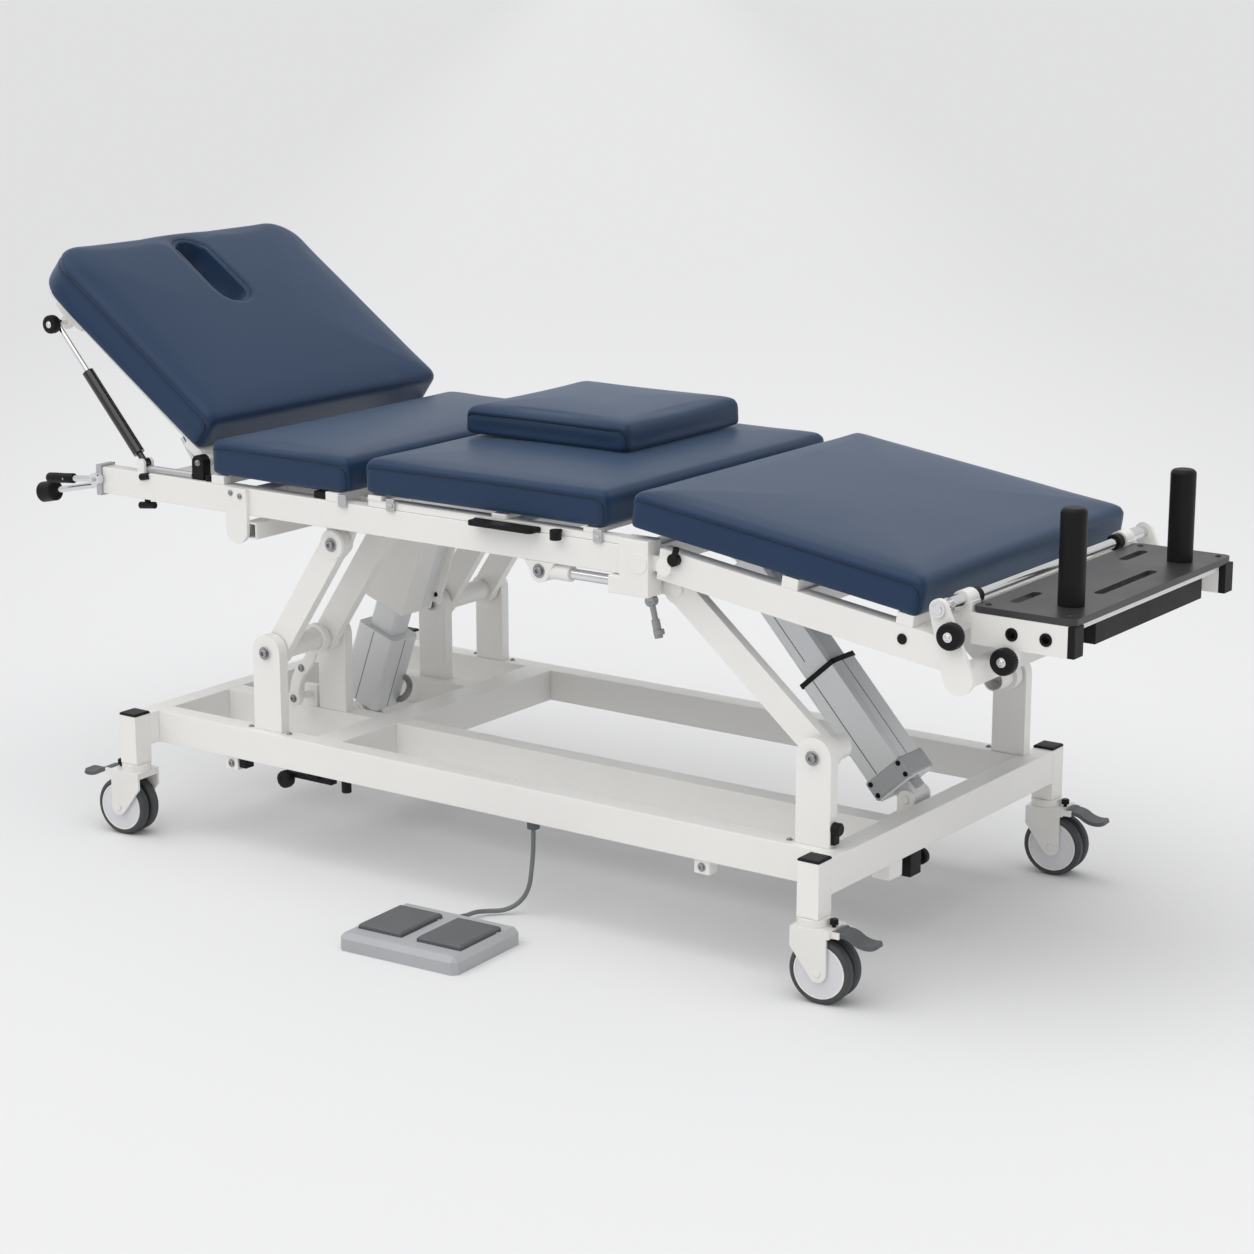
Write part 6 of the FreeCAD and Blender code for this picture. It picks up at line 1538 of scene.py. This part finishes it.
@dataclass
class TopFittings(Fittings):
    """Knobs, plugs, clips and screws along the top frame's rails, the back's stays and two grips."""

    rail_y: float = 331.0
    rail_face: float = 346.0
    screw: SocketBolt = SocketBolt(3.6 * MM, 1.6 * MM, 5.4 * MM, 1.6 * MM)
    bar_radius: float = 6.5
    tee_stem: Pair = (5.5, 13.0)
    tee_seat: Pair = (-746.0, 628.0)
    tee_bar: Tuple[Pair, Pair] = ((-764.0, 611.0), (-728.0, 615.0))
    latch: Tuple[Pair, Pair] = ((-745.0, 668.0), (-726.0, 672.0))
    plug: Pair = (8.0, 12.0)
    plug_seat: Pair = (-588.0, 675.0)
    stop_size: Triple = (34.0, 18.0, 13.0)
    stop_foot: Pair = (-315.0, 675.5)
    rest_bar: Tuple[Pair, Pair] = ((-738.0, 682.0), (-627.0, 682.0))
    clip_size: Triple = (18.0, 6.0, 22.0)
    clip_y: float = 348.5
    clip_foot: Pair = (-258.0, 669.0)
    hinge: Pair = (-612.0, 707.0)
    hinge_face: float = 337.0
    bracket_screws: Tuple[Pair, ...] = ((-517.0, 666.0), (-495.0, 662.0))
    bracket_face: float = 354.0
    stay: Tuple[Pair, Pair] = ((-652.0, 700.0), (-681.0, 741.0))
    stay_y: float = 300.0
    stay_radius: float = 5.0
    stud: Pair = (-961.0, 931.0)
    stud_reach: Pair = (306.0, 324.6)
    stud_radius: float = 4.0
    pull_end: Triple = (-857.0, -331.0, 641.0)
    pull_slope: float = 12.0
    pull_reach: float = 129.4
    pull_grip: Triple = (19.4, 38.0, 3.0)
    lever_pivot: Triple = (-851.0, -356.0, 654.0)
    lever_slope: float = 5.0
    lever_reach: float = 58.0
    lever_grip: Profile = ((0, 0), (8.6, 0), (9.5, 1.4), (9.3, 22), (9.8, 50), (9.6, 65), (8.4, 67),
                           (0, 67))

    def build(self) -> None:
        """Black fittings, bright bars and screws, the back's stays, then the two grips at the head end."""
        y = -self.rail_y
        black = [self.round(barrel(*self.tee_stem), (self.tee_seat[0], y, self.tee_seat[1]), Facing.DOWN),
                 self.bar(self.tee_bar, y, self.bar_radius),
                 self.bar(self.latch, -self.rail_face, self.bar_radius),
                 self.round(barrel(*self.plug), (self.plug_seat[0], y, self.plug_seat[1]), Facing.UP),
                 self.box(self.stop_size, (self.stop_foot[0], y, self.stop_foot[1]))]
        fit(surface("rail_black_fittings", black), "top_frame", BLACK)
        bars, clips, heads, stays, studs = [], [], [], [], []
        (clip_x, clip_z), (stud_x, stud_z) = self.clip_foot, self.stud
        for _, sign in SIDES:
            out = Facing.outward(sign)
            bars.append(self.bar(self.rest_bar, sign * self.rail_y, self.bar_radius))
            clips.append(self.box(self.clip_size, (clip_x, sign * self.clip_y, clip_z)))
            heads.append(self.bolt(self.screw, (self.hinge[0], sign * self.hinge_face, self.hinge[1]), out))
            heads += [self.bolt(self.screw, (x, sign * self.bracket_face, z), out)
                      for x, z in self.bracket_screws]
            stays.append(self.bar(self.stay, sign * self.stay_y, self.stay_radius))
            inner, outer = ((stud_x, sign * reach, stud_z) for reach in self.stud_reach)
            studs.append(self.rod(inner, outer, self.stud_radius))
        fit(surface("rail_bars", bars + clips), "top_frame", SATIN)
        fit(surface("rail_screws", heads), "top_frame", STEEL)
        fit(surface("back_stays", stays + studs), "back_section", CHROME)
        pull = self.grip(barrel(*self.pull_grip), self.pull_end, self.pull_slope, self.pull_reach)
        fit(surface("head_pull_grip", [pull]), "head_pull", BLACK)
        lever = self.grip(in_metres(self.lever_grip), self.lever_pivot, self.lever_slope, self.lever_reach)
        fit(surface("head_lever_grip", [lever]), "head_lever_arm", BLACK)

    def grip(self, profile: Profile, start: Triple, slope: float, reach: float) -> np.ndarray:
        """A grip on a rod that runs headwards and down.

        Args:
            profile: The grip's profile in metres.
            start: Where the rod starts.
            slope: How far the rod falls, in degrees.
            reach: How far along the rod the grip begins.
        Returns:
            The profile turned about the rod.
        """
        fall = math.radians(slope)
        along = np.array([-math.cos(fall), 0.0, -math.sin(fall)])
        return turned(profile, self.datum.at(*start) + reach * MM * along, along)


@dataclass
class CarriageFittings(Fittings):
    """Clips and a knob under the pelvic pad, bosses on the knee blocks and the clamp lever's rings."""

    clip_x: Pair = (-150.0, 289.0)
    hook_size: Triple = (12.0, 12.0, 6.0)
    hook_yz: Pair = (347.0, 681.0)
    clip_size: Triple = (17.0, 4.0, 22.0)
    clip_yz: Pair = (349.0, 674.0)
    knee: Triple = (375.0, 356.0, 652.0)
    boss: Triple = (17.0, 1.6, 0.5)
    stem: Tuple[Triple, Triple] = ((210.0, -340.0, 684.0), (210.0, -358.0, 684.0))
    stem_radius: float = 3.6
    knob: Pair = (10.0, 17.0)
    knob_seat: Triple = (210.0, -358.0, 688.0)
    clamp_top: Triple = (384.0, -331.0, 596.0)
    clamp_lean: float = 14.0
    clamp_rings: Tuple[Tuple[Pair, float], ...] = (((9.2, 9.0), 57.0), ((8.4, 5.0), 10.0))

    def build(self) -> None:
        """Pieces on the carriage, then the clamp lever's rings."""
        clips, bosses = [], []
        knee_x, knee_y, knee_z = self.knee
        for _, sign in SIDES:
            for x in self.clip_x:
                clips += [self.box(size, (x, sign * y, z)) for size, (y, z)
                          in ((self.hook_size, self.hook_yz), (self.clip_size, self.clip_yz))]
            bosses.append(self.round(barrel(*self.boss), (knee_x, sign * knee_y, knee_z),
                                     Facing.outward(sign)))
        fit(surface("carriage_clips", clips), "carriage", SATIN)
        fit(surface("knee_bosses", bosses), "carriage", PAINT)
        knob = [self.rod(*self.stem, self.stem_radius),
                self.round(barrel(*self.knob), self.knob_seat, Facing.DOWN)]
        fit(surface("carriage_knob", knob), "carriage", BLACK)
        lean = math.radians(self.clamp_lean)
        along = np.array([math.sin(lean), 0.0, -math.cos(lean)])
        start = self.datum.at(*self.clamp_top)
        rings = [turned(barrel(*size), start + reach * MM * along, along)
                 for size, reach in self.clamp_rings]
        fit(surface("clamp_lever_rings", rings), "clamp_lever_arm", STEEL)


@dataclass
class LegFittings(Fittings):
    """A knob at the knee and a plug on each leg rail."""

    rail_face: float = 346.0
    plug: Triple = (8.5, 1.8, 0.5)
    plug_seat: Pair = (862.0, 595.0)
    knob: Triple = (10.5, 14.0, 2.0)
    knob_seat: Triple = (443.0, -346.0, 666.0)
    wing: Tuple[Triple, Triple] = ((443.0, -354.0, 666.0), (448.0, -354.0, 687.0))
    wing_radius: float = 5.2

    def build(self) -> None:
        """Black plugs on both rails and the near knob with its wing."""
        x, z = self.plug_seat
        plugs = [self.round(barrel(*self.plug), (x, sign * self.rail_face, z), Facing.outward(sign))
                 for _, sign in SIDES]
        knob = [self.round(barrel(*self.knob), self.knob_seat, Facing.NEAR),
                self.rod(*self.wing, self.wing_radius)]
        fit(surface("leg_black_fittings", plugs + knob), "leg_section", BLACK)


@dataclass
class FootFittings(Fittings):
    """Hinge collars, hole bushes and screws of the foot end, hand knobs there and on the gas springs."""

    hand_knob: GripKnob = GripKnob(21.0 * MM, 20.6 * MM)
    lock_seat: Triple = (956.0, -354.0, 616.0)
    clamp_seat: Triple = (1010.0, -283.0, 570.0)
    gas_knob: GripKnob = GripKnob(16.9 * MM, 16.6 * MM)
    gas_seat: Triple = (-961.0, 337.0, 931.0)
    shaft: Pair = (928.0, 652.0)
    collar: Triple = (9.5, 13.5, 16.0)
    collar_y: float = 234.0
    sleeves: Tuple[Tuple[Triple, float], ...] = (((9.1, 12.5, 34.0), 289.0), ((9.1, 13.0, 5.0), 353.5))
    rail_face: float = 283.0
    holes: Tuple[Pair, ...] = ((1016.0, 611.0), (1074.0, 611.0))
    hole_rim: Triple = (6.5, 10.5, 1.2)
    hole_lining: Triple = (6.4, 7.1, 30.0)
    screw: SocketBolt = SocketBolt(3.8 * MM, 1.4 * MM, 5.2 * MM, 1.7 * MM)
    screw_x: Pair = (964.0, 1104.0)
    screw_y: float = 262.0
    plate_top: float = 647.0

    def build(self) -> None:
        """Knobs first, then what belongs to the foot section and to the hinge."""
        self.knob("foot_lock_grip", "foot_lock", self.lock_seat, self.hand_knob, Facing.NEAR)
        self.knob("foot_clamp_grip", "foot_clamp", self.clamp_seat, self.hand_knob, Facing.NEAR)
        gas_x, gas_y, gas_z = self.gas_seat
        for tag, sign in SIDES:
            self.knob("gas_grip_" + tag, "gas_rod_pair", (gas_x, sign * gas_y, gas_z), self.gas_knob,
                      Facing.outward(sign))
        x, z = self.shaft
        collars, sleeves, bushes, heads = [], [], [], []
        for _, sign in SIDES:
            out, inward = Facing.outward(sign), Facing.outward(-sign)
            collars.append(self.round(bush(*self.collar), (x, sign * self.collar_y, z), out))
            sleeves += [self.round(bush(*size), (x, sign * y, z), out) for size, y in self.sleeves]
            for hole_x, hole_z in self.holes:
                seat = (hole_x, sign * self.rail_face, hole_z)
                bushes += [self.round(bush(*self.hole_rim), seat, out),
                           self.round(bush(*self.hole_lining), seat, inward)]
            heads += [self.bolt(self.screw, (spot, sign * self.screw_y, self.plate_top), Facing.UP)
                      for spot in self.screw_x]
        fit(surface("foot_hinge_collars", collars + bushes), "foot_section", BLACK)
        fit(surface("foot_plate_screws", heads), "foot_section", GLOSS_BLACK)
        fit(surface("foot_shaft_sleeves", sleeves), "leg_section", CHROME)

    def knob(self, name: str, body: str, seat: Triple, knob: GripKnob, facing: Facing) -> None:
        """A waved knob with its bright screw.

        Args:
            name: Name of the piece.
            body: Body that carries it.
            seat: Where its back face lies.
            knob: Its sizes.
            facing: The way it points.
        """
        spot = self.datum.at(*seat)
        fit(surface(name, [knob.shape(spot, facing.value)]), body, BLACK)
        fit(surface(name + "_screw", [knob.screw(spot, facing.value)]), body, CHROME)


@dataclass
class BaseFittings(Fittings):
    """Brackets, stops and knobs under the base's rails and on a pedestal.

    A box is its size and the middle of its lower face.
    """

    brackets: Tuple[Placed, ...] = (((30.0, 24.0, 26.0), (-545.0, -332.0, 145.0)),
                                    ((30.0, 24.0, 26.0), (494.0, -332.0, 145.0)),
                                    ((34.0, 40.0, 30.0), (740.0, -167.0, 141.0)))
    stops: Tuple[Placed, ...] = (((16.0, 22.0, 20.0), (-519.0, -332.0, 151.0)),
                                 ((112.0, 16.0, 9.0), (-364.0, -332.0, 154.0)),
                                 ((24.0, 18.0, 9.0), (-352.0, -332.0, 162.0)))
    peg: Pair = (9.0, 26.0)
    peg_seat: Triple = (-279.0, -332.0, 171.0)
    end_box: Placed = ((36.0, 34.0, 42.0), (740.0, -104.0, 129.0))
    end_stem: Tuple[Triple, Triple] = ((740.0, -84.0, 146.0), (740.0, -60.0, 146.0))
    end_stem_radius: float = 5.0
    end_knob: Triple = (14.0, 13.0, 2.0)
    end_knob_seat: Triple = (740.0, -62.0, 146.0)
    pedestal_knob: Triple = (11.0, 15.0, 2.0)
    pedestal_knob_seat: Triple = (732.0, -325.0, 262.0)
    pedestal_plate: Placed = ((8.0, 16.0, 22.0), (735.5, -325.0, 236.0))
    stop_knob: GripKnob = GripKnob(16.0 * MM, 17.0 * MM, lobes=12)
    stop_knob_seat: Triple = (-412.0, -336.0, 150.0)
    bracket_bolt: SocketBolt = SocketBolt(5.0 * MM, 2.6 * MM, 7.6 * MM, 2.4 * MM)
    bracket_bolt_seats: Tuple[Triple, ...] = ((-545.0, -344.0, 157.0), (494.0, -344.0, 157.0))
    screw: SocketBolt = SocketBolt(3.6 * MM, 1.8 * MM, 5.4 * MM, 1.7 * MM)
    screw_x: Triple = (-506.0, -414.0, 654.0)
    screw_y: float = 330.0
    screw_z: float = 230.0

    def build(self) -> None:
        """White brackets with bolts, black stops and knobs, and small screws on the rails."""
        white = [self.box(*bracket) for bracket in self.brackets]
        fit(surface("base_brackets", white), "base", PAINT)
        black = [*(self.box(*stop) for stop in self.stops),
                 self.round(barrel(*self.peg), self.peg_seat, Facing.DOWN),
                 self.box(*self.end_box),
                 self.rod(*self.end_stem, self.end_stem_radius),
                 self.round(barrel(*self.end_knob), self.end_knob_seat, Facing.FAR),
                 self.round(barrel(*self.pedestal_knob), self.pedestal_knob_seat, Facing.FOOT),
                 self.box(*self.pedestal_plate)]
        fit(surface("base_black_fittings", black), "base", BLACK)
        knob = self.stop_knob.shape(self.datum.at(*self.stop_knob_seat), Facing.NEAR.value)
        fit(surface("base_stop_knob", [knob]), "base", BLACK)
        heads = [self.bolt(self.bracket_bolt, seat, Facing.NEAR) for seat in self.bracket_bolt_seats]
        heads += [self.bolt(self.screw, (x, sign * self.screw_y, self.screw_z), Facing.UP)
                  for x in self.screw_x for _, sign in SIDES]
        fit(surface("base_bolts", heads), "base", STEEL)


@dataclass
class CastorFittings(Fittings):
    """Light discs with pale rims in the wheels, axle caps and a lock screw on each fork."""

    heading: float = 5.0
    disc_seat: float = 22.5
    disc: Profile = ((0, -0.5), (44.4, -0.5), (44.4, 0.4), (15, 0.4), (14, 0.9), (0, 0.9))
    rim: Triple = (41.4, 44.4, 1.2)
    cap_seat: float = 30.5
    cap: Triple = (6.0, 2.0, 0.6)
    bridge_top: float = 124.0
    trail: float = 22.0
    screw_reach: float = 36.0
    screw: Profile = ((0, 0), (3.4, 0), (3.4, 5), (7, 5.6), (7, 13), (5.6, 14.4), (0, 14.4))

    def build(self) -> None:
        """The pieces of all four castors."""
        turn = math.radians(self.heading)
        axle = np.array([-math.sin(turn), math.cos(turn), 0.0])
        ahead = np.array([math.cos(turn), math.sin(turn), 0.0])
        for end, sense in (("head", -1), ("foot", 1)):
            for tag, _ in SIDES:
                self.castor(f"{end}_{tag}", axle, sense * ahead)

    def castor(self, name: str, axle: np.ndarray, lead: np.ndarray) -> None:
        """One castor's discs, rims, caps and screw.

        Args:
            name: End and side of the castor.
            axle: Direction of its axle.
            lead: Direction from its post to its wheels.
        """
        low, high = corners("castor_wheel_" + name)
        middle = (low + high) / 2

        def both(profile: Profile, seat: float) -> List[np.ndarray]:
            """A profile turned about the axle on both sides of the wheel."""
            return [turned(profile, middle + sign * seat * MM * axle, sign * axle) for _, sign in SIDES]

        discs, rims = both(in_metres(self.disc), self.disc_seat), both(bush(*self.rim), self.disc_seat)
        fit(surface("wheel_discs_" + name, discs), f"castor_{name}_wheels", HUB_GREY)
        fit(surface("wheel_rims_" + name, rims), f"castor_{name}_wheels", ENAMEL)
        caps = both(barrel(*self.cap), self.cap_seat)
        fit(surface("axle_caps_" + name, caps), f"castor_{name}", ENAMEL)
        post = (self.screw_reach - self.trail) * MM * lead
        seat = middle * (1, 1, 0) + post + mm(0, 0, self.bridge_top)
        screw = turned(in_metres(self.screw), seat, Facing.UP.value)
        fit(surface("fork_screw_" + name, [screw]), f"castor_{name}", BLACK)


# Studio
@dataclass
class Studio:
    """A pale floor with painted shade far back and to the sides, soft light from above and the near side,
    and the photograph's camera.
    """

    datum: Datum
    camera_at: Triple = (3063.8, -4163.9, 1688.1)
    camera_down: float = 13.76
    camera_round: float = 35.45
    lens: float = 84.9
    sensor: float = 36.0
    sight: float = 400.0
    floor_size: float = 240.0
    floor_roughness: float = 0.8
    floor_gloss: float = 0.05
    floor_front: Triple = (0.80, 0.80, 0.805)
    # The far floor colour and the two shares below are painted shade, for light falling off far back and to
    # the sides.
    floor_far_painted_shade: Triple = (0.675, 0.675, 0.68)
    sweep: Pair = (-1.0, 9.0)
    sweep_shade_share: float = 0.6
    margin: Pair = (0.8, 2.6)
    margin_shade_share: float = 0.45
    sky: float = 0.72
    sky_colour: Triple = (0.99, 0.995, 1.0)
    sky_heights: Pair = (-0.05, 0.55)
    sky_levels: Pair = (0.8, 1.12)
    key: float = 1.35
    key_turn: Triple = (20.0, -5.0, 0.0)
    key_spread: float = 80.0

    def build(self) -> None:
        """Camera, floor, world and lamp."""
        scene = bpy.context.scene
        scene.view_settings.view_transform = "Standard"
        self.camera(scene)
        self.floor()
        self.world(scene)
        self.lamp("key_light", self.key, self.key_turn, self.key_spread)

    def camera(self, scene: bpy.types.Scene) -> None:
        """The camera at the photograph's viewing angle.

        Args:
            scene: Scene that looks through it.
        """
        data = bpy.data.cameras.new("photo_camera")
        data.lens = self.lens
        data.sensor_width = self.sensor
        data.clip_end = self.sight
        obj = bpy.data.objects.new("photo_camera", data)
        obj.location = Vector(self.datum.at(*self.camera_at))
        obj.rotation_euler = (math.radians(90.0 - self.camera_down), 0.0, math.radians(self.camera_round))
        scene.collection.objects.link(obj)
        scene.camera = obj

    def floor(self) -> None:
        """A wide flat floor, palest in front and a little darker far back and to the sides: painted shade
        standing for light falling off there.
        """
        half = self.floor_size / 2
        line = np.linspace(-half, half, 3)
        x, y = np.meshgrid(line, line, indexing="ij")
        obj = surface("studio_floor", [np.stack([x, y, np.zeros_like(x)], axis=-1)], wrap=False)
        material = bpy.data.materials.new("studio_floor_paint")
        material.use_nodes = True
        graph = Graph(material.node_tree)
        shader = material.node_tree.nodes["Principled BSDF"]
        shader.inputs["Roughness"].default_value = self.floor_roughness
        shader.inputs["Specular IOR Level"].default_value = self.floor_gloss
        where = graph.add("ShaderNodeTexCoord").outputs["Object"]
        cos, sin = math.cos(math.radians(self.camera_round)), math.sin(math.radians(self.camera_round))
        depth, across = (graph.add("ShaderNodeVectorMath", {0: where, 1: axis}, operation="DOT_PRODUCT")
                         .outputs["Value"] for axis in ((-sin, cos, 0.0), (cos, sin, 0.0)))
        # Painted shade: the floor's colour darkens with depth and towards the sides, standing for light
        # falling off.
        back = graph.ramp(depth, *self.sweep, 0.0, self.sweep_shade_share)
        side_painted_shade = graph.ramp(graph.math("ABSOLUTE", across), *self.margin, 0.0, self.margin_shade_share)
        shade = graph.mix(graph.math("ADD", back, side_painted_shade, clamp=True), (*self.floor_front, 1),
                          (*self.floor_far_painted_shade, 1))
        graph.tree.links.new(shade, shader.inputs["Base Color"])
        obj.data.materials.append(material)

    def world(self, scene: bpy.types.Scene) -> None:
        """Soft light from above, a little dimmer towards the horizon.

        Args:
            scene: Scene that it lights.
        """
        world = bpy.data.worlds.new("soft_studio")
        world.use_nodes = True
        graph = Graph(world.node_tree)
        where = graph.add("ShaderNodeTexCoord").outputs["Generated"]
        height = graph.add("ShaderNodeSeparateXYZ", {0: where}).outputs["Z"]
        level = graph.ramp(height, *self.sky_heights, *self.sky_levels)
        shade = graph.mix(level, (0.0, 0.0, 0.0, 1.0), (*self.sky_colour, 1.0))
        back = world.node_tree.nodes["Background"]
        back.inputs["Strength"].default_value = self.sky
        graph.tree.links.new(shade, back.inputs["Color"])
        scene.world = world

    def lamp(self, name: str, strength: float, turn: Triple, spread: float) -> None:
        """A distant soft lamp.

        Args:
            name: Name of the lamp.
            strength: Its strength.
            turn: Its turn about X, Y and Z in degrees.
            spread: The angle it fills, in degrees, which softens its shadow.
        """
        data = bpy.data.lights.new(name, "SUN")
        data.energy = strength
        data.angle = math.radians(spread)
        obj = bpy.data.objects.new(name, data)
        obj.rotation_euler = tuple(math.radians(value) for value in turn)
        bpy.context.scene.collection.objects.link(obj)


def main() -> None:
    """Build the studio, the finishes, the pads, the cord and the fittings in order."""
    logging.basicConfig(level=logging.INFO, format="%(message)s")
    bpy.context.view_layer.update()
    datum = Datum.of_base()
    Studio(datum).build()
    ControlCord(datum).build()
    FrameFinish().build()
    for fittings in (LiftFittings, ActuatorFittings, TopFittings, CarriageFittings, LegFittings,
                     FootFittings, BaseFittings, CastorFittings):
        fittings(datum).build()
    Upholstery(datum).build()


if __name__ == "__main__":
    main()
